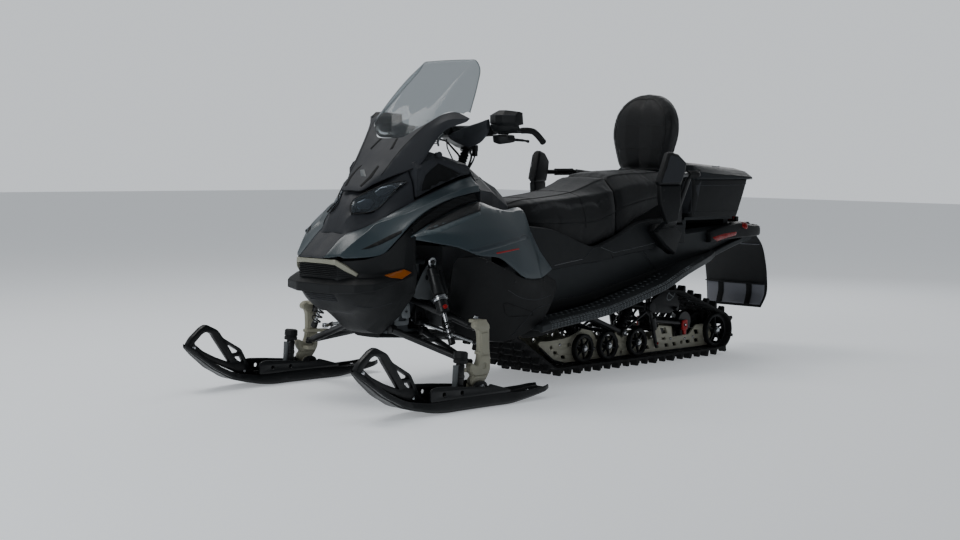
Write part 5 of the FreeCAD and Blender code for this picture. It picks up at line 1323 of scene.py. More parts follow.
# switch block, lever perch, lever
ctl.append(loft("switch_block", [
    [(610, 228, 1112), (610, 228, 1146), (582, 228, 1150), (576, 228, 1116)],
    [(612, 248, 1106), (614, 248, 1148), (578, 248, 1154), (570, 248, 1110)],
    [(606, 272, 1108), (608, 272, 1146), (574, 272, 1150), (566, 272, 1112)]], BLACK, ST, nu=3, bev=4, angle=30))
ctl.append(loft("thumb_block", [
    [(608, 284, 1076), (614, 284, 1108), (568, 284, 1112), (560, 284, 1080)],
    [(612, 324, 1068), (616, 324, 1106), (564, 324, 1112), (556, 324, 1074)],
    [(596, 366, 1076), (600, 366, 1104), (556, 366, 1110), (550, 366, 1080)]], BLACK, ST, nu=3, bev=6, angle=30))
ctl.append(pipe("lever_tip", [(566, 356, 1090), (550, 378, 1088), (530, 394, 1086), (508, 402, 1082)], [7, 6.5, 6, 5, 6.5], BLACK, ST, n=6, seg=12))
for k in range(3):
    ctl.append(turned("switch_%d" % k, (572, 236 + 12 * k, 1124 + 4 * k), (561, 236 + 12 * k, 1126 + 4 * k), [(0, 5), (0.6, 5), (0.8, 4), (1, 2)], (GREY_LINE, RED_PAINT, GREY_LINE)[k], ST, seg=14))
controls = join("bar_controls_left", ctl)
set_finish(controls, "black_plastic")
mirrored(controls, "bar_controls_right", ST)

# hand guards: a hollow faceted hood round each grip, open to the rear, with a paler top plate
sec, top_rows = [], []
for y in (288.5, 300, 330, 369, 408, 430, 455.5):
    xf = min(683.5, 620 + (y - 270) * 84 / 130, 704 - (y - 380) * 64 / 90)
    xt = xf - 22
    zt = min(1213, 1202 + (xt - 606) * 11 / 56) - 0.8
    sec.append([(601, y, 1153), (min(668, xf - 15), y, 1146.5), (xf, y, 1160), (xf, y, 1192), (xt, y, zt), (607, y, 1201.6)])
    top_rows.append([(606, y, 1202), (xt - 1, y, zt + 0.6)])
guard = sheet("hand_guard_shell_left", sec, BLACK, ST, t=6, nu=4, nv=4, crown=0.0, out=(1, 0, 0.6), bev=2.4, angle=26, straight=True, slot="black_plastic")
caps_o = [plate("guard_cap", [(p[0], p[2]) for p in s0], y - 1.6, y + 1.6, BLACK, ST, rnd=5, bev=1.2) for s0, y in ((sec[0], 290), (sec[-1], 454))]
caps_o.append(loft("guard_mount", [
    [(590, 298, 1140), (634, 298, 1140), (640, 298, 1152), (600, 298, 1154)],
    [(584, 322, 1118), (648, 322, 1122), (660, 322, 1153), (598, 322, 1155)],
    [(580, 380, 1116), (650, 380, 1122), (664, 380, 1153), (598, 380, 1155)],
    [(590, 428, 1134), (628, 428, 1138), (640, 428, 1152), (600, 428, 1154)]], BLACK, ST, nu=4, bev=4, angle=30))
stay = turned("guard_stay", (640, 330, 1152), (593, 276, 1130), [(0, 7), (0.1, 7), (0.15, 6.5), (0.85, 6.5), (0.9, 9), (1, 9)], STEEL, ST)
caps_o.append(sheet("guard_top", top_rows, CHARCOAL, ST, t=3, nu=4, nv=3, out=(0, 0, 1), bev=0.8, angle=26, straight=True))
caps_o.append(pipe("guard_line", [(s[3][0] + 0.6, s[3][1], s[3][2] - 1.4) for s in sec], 1.5, CHARCOAL, ST, n=3, seg=8, smooth=False))
caps = join("hand_guard_ends_left", caps_o + [stay])
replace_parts(guard, "hand_guards")
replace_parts(mirrored(guard, "hand_guard_shell_right", ST), "hand_guards")
mirrored(caps, "hand_guard_ends_right", ST)

# display pod over the bar: wedge housing, dark screen and the rails below it
pod = loft("gauge_pod_housing", [
    [(642, -77, 1098), (674, -77, 1110), (661, -77, 1172), (616, -77, 1174)],
    [(640, -58, 1096), (676, -58, 1110), (663, -58, 1175.5), (612, -58, 1175.5)],
    [(640, 58, 1096), (676, 58, 1110), (663, 58, 1175.5), (612, 58, 1175.5)],
    [(642, 77, 1098), (674, 77, 1110), (661, 77, 1172), (616, 77, 1174)]], BLACK, ST, nu=3, bev=5, angle=30, slot="black_plastic")
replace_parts(pod, "gauge_pod")
# the pod's wings, swept up to the hand guards
wing_rows = ((70, 1090, 1118), (112, 1073, 1128), (150, 1062, 1142), (186, 1056, 1150), (246, 1073, 1164), (284, 1104, 1174), (299, 1122, 1177))
pod_wing = loft("pod_wing_left", [[(646, y, zt), (662, y, zt - 6), (668, y, zt * 0.4 + zl * 0.6), (656, y, zl), (644, y, zl + 2), (640, y, (zt + zl) / 2)] for y, zl, zt in wing_rows], CHARCOAL, ST, nu=4, angle=26, bev=2.5)
pair_wing = mirrored(pod_wing, "pod_wing_right", ST)
face = plate("display_face", ((-66, 2), (66, 2), (66, 66), (-66, 66)), 0, 3, SCREEN_DARK, ST, axis="z", rnd=8, bev=1)
# lay the display on the housing's rear slope
a, b = Vector((640, 0, 1098)), Vector((612, 0, 1175))
up = (b - a).normalized()
nrm = Vector((-up.z, 0, up.x)).normalized()
m = Matrix.Identity(4)
for i in range(3):
    m[i][0], m[i][1], m[i][2], m[i][3] = (0, -1, 0)[i], up[i], nrm[i], (a[i] + up[i] * 4 + nrm[i] * -0.5) * MM
face.data.transform(m)
rails = []
for sg in (1, -1):
    rails.append(pipe("rail%d" % sg, [(676, 50 * sg, 1112), (694, 48 * sg, 1096), (700, 40 * sg, 1078), (690, 34 * sg, 1060)], 5.0, GREY_LINE, ST, n=5, seg=10))
for k in range(5):
    rails.append(pipe("rung%d" % k, [(688 + k * 2.4, -42, 1102 - k * 8), (690 + k * 2.4, 0, 1101 - k * 8), (688 + k * 2.4, 42, 1102 - k * 8)], 2.2, GREY_LINE, ST, n=3, seg=8))
wedge = []
for sg in (1, -1):
    wedge.append(loft("pod_wing", [
        [(600, 80 * sg, 1120), (656, 80 * sg, 1118), (660, 80 * sg, 1146), (606, 80 * sg, 1150)],
        [(596, 130 * sg, 1126), (640, 130 * sg, 1124), (642, 130 * sg, 1144), (600, 130 * sg, 1150)],
        [(590, 190 * sg, 1134), (616, 190 * sg, 1132), (618, 190 * sg, 1146), (594, 190 * sg, 1150)]], BLACK, ST, nu=3, bev=3, angle=30))
wd = join("pod_wings", wedge)
# steering stem: bellows and bolts
stem = []
ux, uz = -0.42, 0.9075
for k in range(7):
    s = -70 + k * 13
    c = (500 + ux * s, 0, 1010 + uz * s)
    e = (500 + ux * (s + 12), 0, 1010 + uz * (s + 12))
    stem.append(turned("bel%d" % k, c, e, [(0, 17), (0.5, 21), (1, 17)], GRIP, ST, seg=20))
for y in (-22, 22):
    stem.append(bolt("stem_bolt", (612, y, 1148), (0.42, 0, 0.9), 7, ALLOY, ST, h=6))
    stem.append(bolt("stem_bolt2", (486, y, 1092), (-0.42, 0, 0.9), 7, ALLOY, ST, h=6))
jj = join("stem_fittings", stem)
harness = [pipe("har%d" % k, [(520 - 3 * k, 40 + 6 * k, 1080), (486, 46 + 5 * k, 1052 - 4 * k), (470 + 4 * k, 38 + 4 * k, 1010), (506 + 3 * k, 34, 950), (545, 30, 880)], 3.2, BRAID, ST, n=6, seg=8) for k in range(3)]
harness += [brick("connector%d" % k, (462 + 6 * k, 34 + 8 * k, 1016 + 22 * k), (482 + 6 * k, 54 + 8 * k, 1044 + 22 * k), BLACK, ST, bev=3) for k in range(2)]
hn = join("wiring_bundle", harness)
# console: key switch and its dial
kn, kd = onto(console_tree, 437.5, 156)
kk = kn / MM
key = [turned("key_base", tuple(kk - kd * 2), tuple(kk + kd * 6), [(0, 17), (0.6, 17), (1, 14)], BLACK), turned("key_cap", tuple(kk + kd * 5), tuple(kk + kd * 22), [(0, 10), (0.1, 12.5), (0.8, 11.5), (1, 8)], CHARCOAL, seg=18)]
join("console_key_switch", key)
# console: sections of the upper housing behind the windshield base; no piece is built from this table
CONSOLE_FRONT = {
    702: ((236, 940), (228, 975), (205, 985), (0, 990)),
    760: ((240, 932), (228, 985), (200, 1001), (0, 1006)),
    900: ((228, 884), (225, 990), (200, 1032), (0, 1040)),
    990: ((212, 842), (212, 960), (190, 985), (0, 990)),
}
# ================================================================ rear: covers, boards, guards, box, bumper, flap
def tub(name, rings, mat, body="chassis", t=6, bottom=True, top=False, bev=3, nu=3, angle=30, slot=None):
    """An open shell from closed rings (low to high), its wall t thick inside."""
    K = len(rings[0])
    dense = []
    for a, b in zip(rings, rings[1:]):
        for i in range(nu):
            dense.append([Vector(p).lerp(Vector(q), i / nu) for p, q in zip(a, b)])
    dense.append([Vector(p) for p in rings[-1]])
    verts = [tuple(v) for r in dense for v in r]
    R = len(dense)
    faces = [(i * K + j, i * K + (j + 1) % K, (i + 1) * K + (j + 1) % K, (i + 1) * K + j) for i in range(R - 1) for j in range(K)]
    if bottom:
        faces.append(tuple(range(K - 1, -1, -1)))
    if top:
        faces.append(tuple((R - 1) * K + j for j in range(K)))
    ob = make(name, verts, faces, mat, body, angle, slot)
    me = ob.data
    mid = Vector((0, 0, 0))
    for v in me.vertices:
        mid += v.co
    mid /= len(me.vertices)
    side_sum = sum((p.center - mid).dot(p.normal) * p.area for p in me.polygons)
    if side_sum < 0:
        flip_mesh(me)
        finish_mesh(me, mat, angle)
    solidify(ob, t)
    bevel(ob, bev, 3, angle)
    return ob


def stitch(name, pts, tree, r, mat, body="chassis", n=8, lift=0.0, smooth=True, closed=False):
    """A thin line that follows the nearest surface under the 3-D points (mm)."""
    line = cat(pts, n, closed) if smooth else [Vector(p) for p in pts]
    out = []
    for p in line:
        q, nn, i, d = tree.find_nearest(Vector(p) * MM)
        if nn.dot(Vector(p) * MM - q) < 0:
            nn = -nn
        out.append(tuple(q / MM + nn * lift))
    return pipe(name, out, r, mat, body, n=1, seg=6, smooth=False, closed=closed)


H = 210
COVER = ((340, 470, 712), (150, 500, 690), (-60, 520, 622), (-150, 525, 604), (-240, 535, 626), (-330, 548, 656), (-455, 560, 706), (-700, 588, 724), (-765, 592, 696), (-830, 596, 694))
cover = sheet("side_cover_left", [[(x, H + 2, lo), (x, H + 34, lo + 6), (x, H + 28, hi - 6), (x, H + 2, hi)] for x, lo, hi in COVER], COVER_MAT, t=5, nu=5, nv=4, crown=0.02, out=(0, 1, 0), bev=2.2, angle=30, slot="black_plastic")
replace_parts(cover, "side_covers")
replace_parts(pair(cover, "side_cover_right"), "side_covers")
BOARD = ((395, 398, 250), (330, 402, 260), (148, 404, 278), (-80, 404, 304), (-281, 402, 345), (-493, 396, 394), (-692, 370, 453), (-972, 298, 506), (-1090, 240, 522))
board = loft("running_board_left", [[(x, H + 0.5, z + 4), (x, y - 22, z + 4), (x, y - 14, z - 6), (x, y, z), (x, y, z + 26), (x, y - 24, z + 34), (x, H + 0.5, z + 22)] for x, y, z in BOARD], DARK_ALLOY, nu=5, angle=24, bev=2.0, slot="dark_alloy")
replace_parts(board, "running_boards")
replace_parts(pair(board, "running_board_right"), "running_boards")


def board_at(x):
    for a, b in zip(BOARD, BOARD[1:]):
        if b[0] <= x <= a[0]:
            k = (a[0] - x) / (a[0] - b[0])
            return a[1] + (b[1] - a[1]) * k, a[2] + (b[2] - a[2]) * k
    return BOARD[-1][1:]


verts, faces = [], []


def tooth(c, nrm, along, size, h):
    """A small four-sided tooth on a face."""
    c, nrm, along = Vector(c), Vector(nrm).normalized(), Vector(along).normalized()
    across = nrm.cross(along)
    b = len(verts)
    for s, t in ((-1, -1), (1, -1), (1, 1), (-1, 1)):
        verts.append(tuple(c + along * s * size + across * t * size - nrm * 1.2))
    for s, t in ((-1, -1), (1, -1), (1, 1), (-1, 1)):
        verts.append(tuple(c + along * s * size * 0.45 + across * t * size * 0.45 + nrm * h))
    faces.extend([(b, b + 3, b + 2, b + 1), (b + 4, b + 5, b + 6, b + 7)] + [(b + i, b + (i + 1) % 4, b + 4 + (i + 1) % 4, b + 4 + i) for i in range(4)])


x = 335
row = 0
while x > -905:
    y, z = board_at(x)
    y2, z2 = board_at(x - 10)
    along = Vector((-10, y2 - y, z2 - z))
    off = 4 if row % 2 else 0
    for j in range(3):
        tooth((x - off, y, z + 5 + j * 8), (0, 1, 0), along, 3.0, 3.0)
    for j in range(2):
        tooth((x - off, y - 6 - j * 9, z + 28.5 + j * 3.2), (0, 0.32, 0.95), along, 3.0, 3.2)
    x -= 11
    row += 1
grip = make("board_grip_left", verts, faces, STUD_MAT, "chassis", 20, "dark_alloy", weld=False)
pair(grip, "board_grip_right")
# tread openings across the board: raised rings
verts, faces = [], []
x = 300
while x > -620:
    y, z = board_at(x)
    for yy in (H + 50, H + 95, H + 140):
        if yy < y - 34:
            tooth((x, yy, z + 30 - (yy - H) * 0.02), (0, 0, 1), (1, 0, 0.1), 7, 3)
    x -= 36
tread = make("board_tread_left", verts, faces, STUD_MAT, "chassis", 20, "dark_alloy", weld=False)
pair(tread, "board_tread_right")
cover_tree = tree_of(cover, board)
lines = [
    seam("c1", [(554.4, 265.6), (568, 262.4), (582.5, 259.3)], cover_tree, 1.3, ALLOY, smooth=False),
    seam("c2", [(595.7, 244.8), (604, 248.6), (613.9, 252.6), (634, 248.2), (655.4, 242.8)], cover_tree, 1.1, GREY_LINE, smooth=False),
    seam("c3", [(582.5, 259.7), (590, 252), (596, 246)], cover_tree, 1.4, CHARCOAL, smooth=False),
    seam("c4", [(612, 253.6), (618, 262), (636, 266), (660, 258)], cover_tree, 1.4, CHARCOAL),
]
for k, (u, v) in enumerate(((593.2, 262.6), (613, 257.2), (636, 252.6))):
    p, n = onto(cover_tree, u, v)
    lines.append(bolt("c_b%d" % k, tuple(p / MM), tuple(n), 6, STEEL, h=2.5))
cl = join("cover_lines_left", lines)
pair(cl, "cover_lines_right")

# closing flange from the board's root up behind the tunnel's lower edge
TUNNEL_LOW = ((430, 330), (200, 318), (-130, 345), (-600, 430), (-1000, 500), (-1450, 600))


def tunnel_low(x):
    for (a, za), (b, zb) in zip(TUNNEL_LOW, TUNNEL_LOW[1:]):
        if b <= x <= a:
            return za + (zb - za) * (a - x) / (a - b)
    return TUNNEL_LOW[-1][1]


TAIL = ((-1050, 244, 512, 536), (-1120, 240, 530, 558), (-1220, 238, 556, 586), (-1330, 236, 584, 612))
tail = loft("board_tail_left", [[(x, H + 1, lo + 3), (x, y - 6, lo), (x, y, lo + 5), (x, y, hi - 4), (x, y - 6, hi), (x, H + 1, hi)] for x, y, lo, hi in TAIL], DARK_ALLOY, nu=4, angle=26, bev=2)
pair(tail, "board_tail_right")
fl = sheet("board_flange_left", [[(x, H + 1.2, board_at(x)[1] + 16), (x, H + 6, (board_at(x)[1] + tunnel_low(x)) / 2 + 14), (x, H + 2.2, tunnel_low(x) + 34)] for x in (392, 330, 240, 148, 30, -80, -180, -281, -390, -493, -600, -692, -830, -972)], BLACK, t=2.5, nu=2, nv=3, out=(0, 1, 0), bev=0.8)
pair(fl, "board_flange_right")

# passenger guards: faceted upper shield, waist and foot
GP = ((-388, 905), (-413, 971), (-440, 1044), (-458, 1049), (-506, 1038), (-555, 997), (-549, 954), (-524, 891), (-395, 890))
lean_c, lean_s = math.cos(math.radians(16)), math.sin(math.radians(16))


def lean(x, y, z):
    """The shield's frame: turned about the upright line through its middle."""
    return (-470 + (x + 470) * lean_c + (y - 421) * lean_s, 421 - (x + 470) * lean_s + (y - 421) * lean_c, z)


def inward(pts, k):
    """The outline drawn in towards its middle by about k mm."""
    cx, cz = sum(p[0] for p in pts) / len(pts), sum(p[1] for p in pts) / len(pts)
    out = []
    for x, z in pts:
        d = math.hypot(x - cx, z - cz)
        out.append((cx + (x - cx) * (d - k) / d, cz + (z - cz) * (d - k) / d))
    return out


gp = []
gp.append(loft("gp_up", [[lean(x, y, z) for x, z in inward(GP, k)] for y, k in ((399, 9), (406, 1.5), (424, 0), (433, 3), (443, 16))], BLACK, nu=3, straight=True, angle=24, bev=2.5))
SHAFT = ((-398, 892), (-522, 893), (-527, 802), (-507, 717), (-448, 706), (-404, 805))
gp.append(loft("gp_shaft", [[lean(x, y, z) for x, z in inward(SHAFT, k)] for y, k in ((404, 6), (409, 1), (430, 1), (438, 9))], BLACK, nu=3, straight=True, angle=24, bev=2.5))
gp.append(loft("gp_arm", [
    [(-440, 400, 720), (-508, 414, 730), (-508, 444, 730), (-440, 426, 720)],
    [(-470, 340, 690), (-568, 346, 700), (-568, 388, 700), (-470, 380, 690)],
    [(-530, 252, 652), (-664, 252, 664), (-664, 306, 684), (-530, 306, 672)]], BLACK, nu=5, angle=30, bev=6))
FOOT_P = ((-523, 662), (-551, 700), (-658, 699), (-743, 657), (-683, 545), (-602, 587))
gp.append(loft("gp_foot", [[(x, y, z) for x, z in inward(FOOT_P, k)] for y, k in ((246, 2), (286, 1), (299, 14))], BLACK, nu=3, straight=True, angle=24, bev=3))
front_face = [lean(x, 443.6, z) for x, z in inward([p for p in GP if p[1] > 0], 17)]
gp.append(make("gp_pad", front_face + [lean(x, 441, z) for x, z in inward(GP, 19)], [tuple(range(len(GP)))[::-1], tuple(range(len(GP), 2 * len(GP)))] + [(i, (i + 1) % len(GP), len(GP) + (i + 1) % len(GP), len(GP) + i) for i in range(len(GP))], CHARCOAL, angle=24))
gp.append(pipe("gp_line", [lean(-400, 443.5, 905), lean(-424, 444, 968), lean(-446, 444, 1026)], 1.6, DEEP, n=3, seg=6, smooth=False))
for z in (820, 870):
    gp.append(bolt("gp_bolt", lean(-418, 436, z), (0.3, 0.9, 0), 6, STEEL, h=3))
shield = join("passenger_guard_left", gp)
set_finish(shield, "black_plastic")
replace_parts(shield, "passenger_guards")
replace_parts(pair(shield, "passenger_guard_right"), "passenger_guards")
pg0, pg1 = Vector((-596, 422.2, 940.6)), Vector((-706, 397, 941.8))
pgrip = turned("passenger_grip_left", tuple(pg0), tuple(pg1), [(0, 13), (0.02, 18), (0.06, 18)] + [(0.08 + 0.84 * (k + 0.5 * j) / 12, 16.6 + 1.2 * j) for k in range(12) for j in (0, 1)] + [(0.94, 18), (0.98, 18), (1, 13)], GRIP)
pair(pgrip, "passenger_grip_right")

# cargo box and lid
BOX = ((-886, -1350, 240, 724), (-886, -1390, 252, 840), (-886, -1412, 258, 912))
LID = ((-890, -1418, 264, 914), (-894, -1456, 264, 950), (-904, -1438, 228, 984), (-930, -1400, 182, 996))


def box_ring(xf, xr, w, z, t=0.0, front_r=18):
    xf, xr, w = xf - t, xr + t, w - t
    c = 46 - t * 0.6
    ring = [(xf, -w + front_r, z), (xf, w - front_r, z), (xf - front_r * 0.3, w - front_r * 0.3, z), (xf - front_r, w, z), (xr + c + 40, w, z), (xr + c * 0.4, w - c, z), (xr, w - 2 * c, z), (xr, -w + 2 * c, z), (xr + c * 0.4, -w + c, z), (xr + c + 40, -w, z), (xf - front_r, -w, z), (xf - front_r * 0.3, -w + front_r * 0.3, z)]
    return ring


box = tub("cargo_box_tub", [box_ring(*r) for r in BOX], BLACK, t=7, bev=3, nu=2, slot="charcoal_plastic")
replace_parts(box, "cargo_box")
def droop(ring, low_edge):
    """The lid's rear falls away: points behind x -1040 are lowered, less so near its bottom edge."""
    out = []
    for x, y, z in ring:
        k = max(0.0, (-1040 - x) / 400)
        out.append((x, y, z - low_edge * (8 * k + 44 * k * k)))
    return out


lid = tub("cargo_lid_shell", [droop(box_ring(*r), k) for r, k in zip(LID, (0.0, 0.72, 0.9, 0.95))], LID_MAT, "cargo_lid", t=6, bottom=False, top=True, bev=4, nu=2, slot="charcoal_plastic")
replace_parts(lid, "cargo_lid")
box_tree = tree_of(box)
lid_tree = tree_of(lid)
bx = []
bx.append(stitch("bxl", [(-900, 262, 884), (-1100, 262, 884), (-1260, 262, 886), (-1370, 250, 888)], box_tree, 1.8, CHARCOAL, n=5))
bx.append(stitch("bxm", [(-900, 262, 748), (-1100, 262, 748), (-1250, 262, 750), (-1330, 250, 752)], box_tree, 1.6, BLACK, n=5))
bx.append(inlay("bx_band", [(683, 178), (701.5, 180), (694.5, 214), (679, 213)], box_tree, 1.2, CHARCOAL, depth=3, step=5, bev=0.6))
boxr = join("cargo_box_ribs_left", bx)
pair(boxr, "cargo_box_ribs_right")
lx = [stitch("lid_seam", [(-912, 250, 962), (-1000, 262, 938), (-1180, 262, 936), (-1330, 262, 928), (-1400, 226, 925), (-1450, 130, 925), (-1452, 0, 925)], lid_tree, 2.4, BLACK, "cargo_lid", n=10),
      stitch("lid_top_line", [(-935, 150, 996), (-1100, 158, 996), (-1290, 152, 996), (-1368, 110, 996), (-1376, 0, 996)], lid_tree, 2.0, CHARCOAL, "cargo_lid", n=8),
      stitch("lid_low", [(-900, 268, 922), (-1100, 268, 922), (-1320, 268, 922)], lid_tree, 2.0, CHARCOAL, "cargo_lid", n=6)]
lidl = join("cargo_lid_lines_left", lx)
mirrored(lidl, "cargo_lid_lines_right", "cargo_lid")
latch = []
p, n = onto(lid_tree, 715.6, 164.6)
latch = [inlay("latch_plate", [(711.5, 163), (719.4, 163.4), (719.4, 167.2), (711.8, 166.6)], lid_tree, 3, LATCH_MAT, "cargo_lid", depth=5, step=2.5, bev=1)]
ll = join("lid_latch_left", latch)
mirrored(ll, "lid_latch_right", "cargo_lid")
rear_latch = [brick("rl0", (-1462, -34, 916), (-1440, 34, 952), BLACK, "cargo_lid", bev=4), brick("rl1", (-1466, -20, 922), (-1452, 20, 938), LATCH_MAT, "cargo_lid", bev=3)]
join("lid_rear_latch", rear_latch)

# rear bumper wings and cross piece, lights
BUMP_R = ((-1050, 240, 592, 654), (-1200, 246, 604, 686), (-1330, 246, 610, 696), (-1400, 244, 612, 682), (-1500, 226, 616, 678), (-1560, 190, 620, 674))
bw = loft("bw", [[(x, H + 0.5 if x > -1400 else y - 40, lo), (x, y - 4, lo + 1), (x, y, lo + 8), (x, y, (lo + hi) / 2), (x, y - 4, hi - 10), (x, H + 0.5 if x > -1400 else y - 44, hi)] for x, y, lo, hi in BUMP_R], BLACK, nu=5, angle=28, bev=4)
bl = join("rear_bumper_left", [bw])
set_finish(bl, "black_plastic")
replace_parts(bl, "rear_bumper")
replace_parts(pair(bl, "rear_bumper_right"), "rear_bumper")
cross = loft("rear_bumper_cross", [[(-1456, y, 624), (xr, y, 622), (xr - 6, y, 646), (xr, y, 672), (-1456, y, 679)] for y, xr in ((-210, -1500), (-168, -1560), (-90, -1569), (0, -1571), (90, -1569), (168, -1560), (210, -1500))], BLACK, nu=4, angle=28, bev=4, slot="black_plastic")
bump_tree = tree_of(bl, cross)
dome = turned("tail_dome_left", (-1338, 236, 672), (-1338, 249, 688), [(0, 24), (0.3, 24), (0.6, 20), (0.85, 13), (1, 4)], RED, seg=24)
pair(dome, "tail_dome_right")
refl = inlay("side_reflector_left", [(712.4, 237.4), (724, 233.6), (736.8, 231.6), (736, 235), (724, 238.6), (713, 242.4)], bump_tree, 1.6, RED, depth=3.5, step=3, bev=0.6, slot="red_lens")
pair(refl, "side_reflector_right")
bar_l = brick("tail_light_lens", (-1440, -118, 694), (-1414, 118, 720), RED, bev=5, slot="red_lens")
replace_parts(bar_l, "tail_light")
brick("tail_light_housing", (-1450, -128, 690), (-1424, 128, 716), BLACK, bev=4)

# snow flap: bent sheet, lighter lower panel, two straps
FLAP = ((-1500, 196, 622), (-1560, 200, 560), (-1596, 201, 470), (-1612, 200, 400), (-1620, 196, 300), (-1596, 176, 226))
flap = sheet("snow_flap_sheet", [[(x - 3, -w, z), (x, -w * 0.5, z), (x + 1, 0, z), (x, w * 0.5, z), (x - 3, w, z)] for x, w, z in FLAP], FLAP_MAT, t=6, nu=6, nv=4, out=(1, 0, 0), bev=2, angle=40, slot="flap_rubber")
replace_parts(flap, "snow_flap")
FL2 = ((-1617, 188, 346), (-1619, 187, 325), (-1618, 185, 295), (-1600, 172, 240))
fpan = sheet("flap_lower_panel", [[(x + 4, -w, z), (x + 6, -w * 0.5, z), (x + 7, 0, z), (x + 6, w * 0.5, z), (x + 4, w, z)] for x, w, z in FL2], FLAP_PALE, t=4, nu=5, nv=4, out=(1, 0, 0), bev=1.6, angle=40)
straps = []
for yc in (-92, 92):
    straps.append(sheet("strap", [[(x + 11, yc - 17, z), (x + 11, yc + 17, z)] for x, w, z in FL2], DEEP, t=4, nu=5, nv=2, out=(1, 0, 0), bev=1.2))
straps.append(pipe("flap_fold", [(-1608, -196, 352), (-1606, 0, 352), (-1608, 196, 352)], 3.0, FLAP_MAT, n=6, seg=8))
straps.append(pipe("flap_fold2", [(-1556, -188, 566), (-1554, 0, 566), (-1556, 188, 566)], 2.6, FLAP_PALE, n=6, seg=8))
for y in (-150, -50, 50, 150):
    straps.append(bolt("flap_bolt", (-1510, y, 612), (0.7, 0, -0.5), 8, STEEL))
join("flap_straps", straps)
# ================================================================ track and what runs inside it
TRACK_HALF, BELT_T, LUG_H, PITCH = 192.0, 9.0, 32.0, 72.6
LOOP4 = ((392, 352, 92), (-870, 262, 84), (-1222, 130, 89), (40, 122, 81))


def belt_runs():
    n, out, tangents = len(LOOP4), [], []
    for i in range(n):
        (x0, z0, r0), (x1, z1, r1) = LOOP4[i], LOOP4[(i + 1) % n]
        d = math.hypot(x1 - x0, z1 - z0)
        tangents.append(math.atan2(z1 - z0, x1 - x0) - math.acos((r0 - r1) / d))
    for i in range(n):
        (x0, z0, r0), (x1, z1, r1) = LOOP4[i], LOOP4[(i + 1) % n]
        a = tangents[i]
        p = (x0 + r0 * math.cos(a), z0 + r0 * math.sin(a))
        q = (x1 + r1 * math.cos(a), z1 + r1 * math.sin(a))
        out.append(("run", math.hypot(q[0] - p[0], q[1] - p[1]), p, q, a))
        sweep = (tangents[(i + 1) % n] - a) % (2 * math.pi)
        out.append(("arc", r1 * sweep, (x1, z1), r1, a, sweep))
    return out


RUNS = belt_runs()
BELT_LENGTH = sum(r[1] for r in RUNS)
LUGS = round(BELT_LENGTH / PITCH)


def on_belt(s, lift):
    """Point and outward angle at length s round the belt."""
    s %= BELT_LENGTH
    for r in RUNS:
        if s <= r[1] + 1e-9:
            if r[0] == "run":
                k = s / r[1]
                return r[2][0] + (r[3][0] - r[2][0]) * k + lift * math.cos(r[4]), r[2][1] + (r[3][1] - r[2][1]) * k + lift * math.sin(r[4]), r[4]
            a = r[4] + r[5] * s / r[1]
            return r[2][0] + (r[3] + lift) * math.cos(a), r[2][1] + (r[3] + lift) * math.sin(a), a
        s -= r[1]
    return on_belt(0.0, lift)


class Mesh:
    """Collects many small closed forms into one piece."""

    def __init__(self):
        self.v, self.f = [], []

    def solid(self, rings):
        b, k = len(self.v), len(rings[0])
        for r in rings:
            self.v += [tuple(p) for p in r]
        for i in range(len(rings) - 1):
            for j in range(k):
                n = (j + 1) % k
                self.f.append((b + i * k + j, b + i * k + n, b + (i + 1) * k + n, b + (i + 1) * k + j))
        self.f.append(tuple(b + j for j in reversed(range(k))))
        self.f.append(tuple(b + (len(rings) - 1) * k + j for j in range(k)))

    def piece(self, name, mat, body="chassis", angle=28, slot=None):
        me = bpy.data.meshes.new(name)
        me.from_pydata([tuple(c * MM for c in p) for p in self.v], [], self.f)
        bm = bmesh.new()
        bm.from_mesh(me)
        bmesh.ops.recalc_face_normals(bm, faces=bm.faces)
        bm.to_mesh(me)
        bm.free()
        finish_mesh(me, mat, angle)
        ob = bpy.data.objects.new(name, me)
        COLL.objects.link(ob)
        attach(ob, body)
        if slot:
            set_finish(ob, slot)
        return ob


# belt: a closed band, windows left open between the lugs near the rails
step = BELT_LENGTH / LUGS
N = LUGS * 6
bm = bmesh.new()
ys = [-192, -188, -128, -96, -34, 34, 96, 128, 188, 192]
ring_out, ring_in = [], []
for i in range(N):
    s = BELT_LENGTH * i / N
    ox, oz, a = on_belt(s, BELT_T)
    ix, iz, _ = on_belt(s, 0.0)
    ring_out.append([bm.verts.new((ox * MM, y * MM, oz * MM)) for y in ys])
    ring_in.append([bm.verts.new((ix * MM, y * MM, iz * MM)) for y in ys])


def hole(i, j):
    """Windows in the belt beside each rail, one between each two lug rows."""
    return (i % 6) in (2, 3) and j in (2, 6)


for i in range(N):
    k = (i + 1) % N
    for j in range(len(ys) - 1):
        if hole(i, j):
            continue
        bm.faces.new((ring_out[i][j], ring_out[k][j], ring_out[k][j + 1], ring_out[i][j + 1]))
        bm.faces.new((ring_in[i][j + 1], ring_in[k][j + 1], ring_in[k][j], ring_in[i][j]))
        # walls round the windows and along the edges
        if j == 0 or hole(i, j - 1):
            bm.faces.new((ring_out[k][j], ring_out[i][j], ring_in[i][j], ring_in[k][j]))
        if j == len(ys) - 2 or hole(i, j + 1):
            bm.faces.new((ring_out[i][j + 1], ring_out[k][j + 1], ring_in[k][j + 1], ring_in[i][j + 1]))
        if hole(k, j):
            bm.faces.new((ring_out[k][j], ring_in[k][j], ring_in[k][j + 1], ring_out[k][j + 1]))
        if hole((i - 1) % N, j):
            bm.faces.new((ring_in[i][j], ring_out[i][j], ring_out[i][j + 1], ring_in[i][j + 1]))
bmesh.ops.recalc_face_normals(bm, faces=bm.faces)
me = bpy.data.meshes.new("track_belt")
bm.to_mesh(me)
bm.free()
finish_mesh(me, RUBBER, 35)
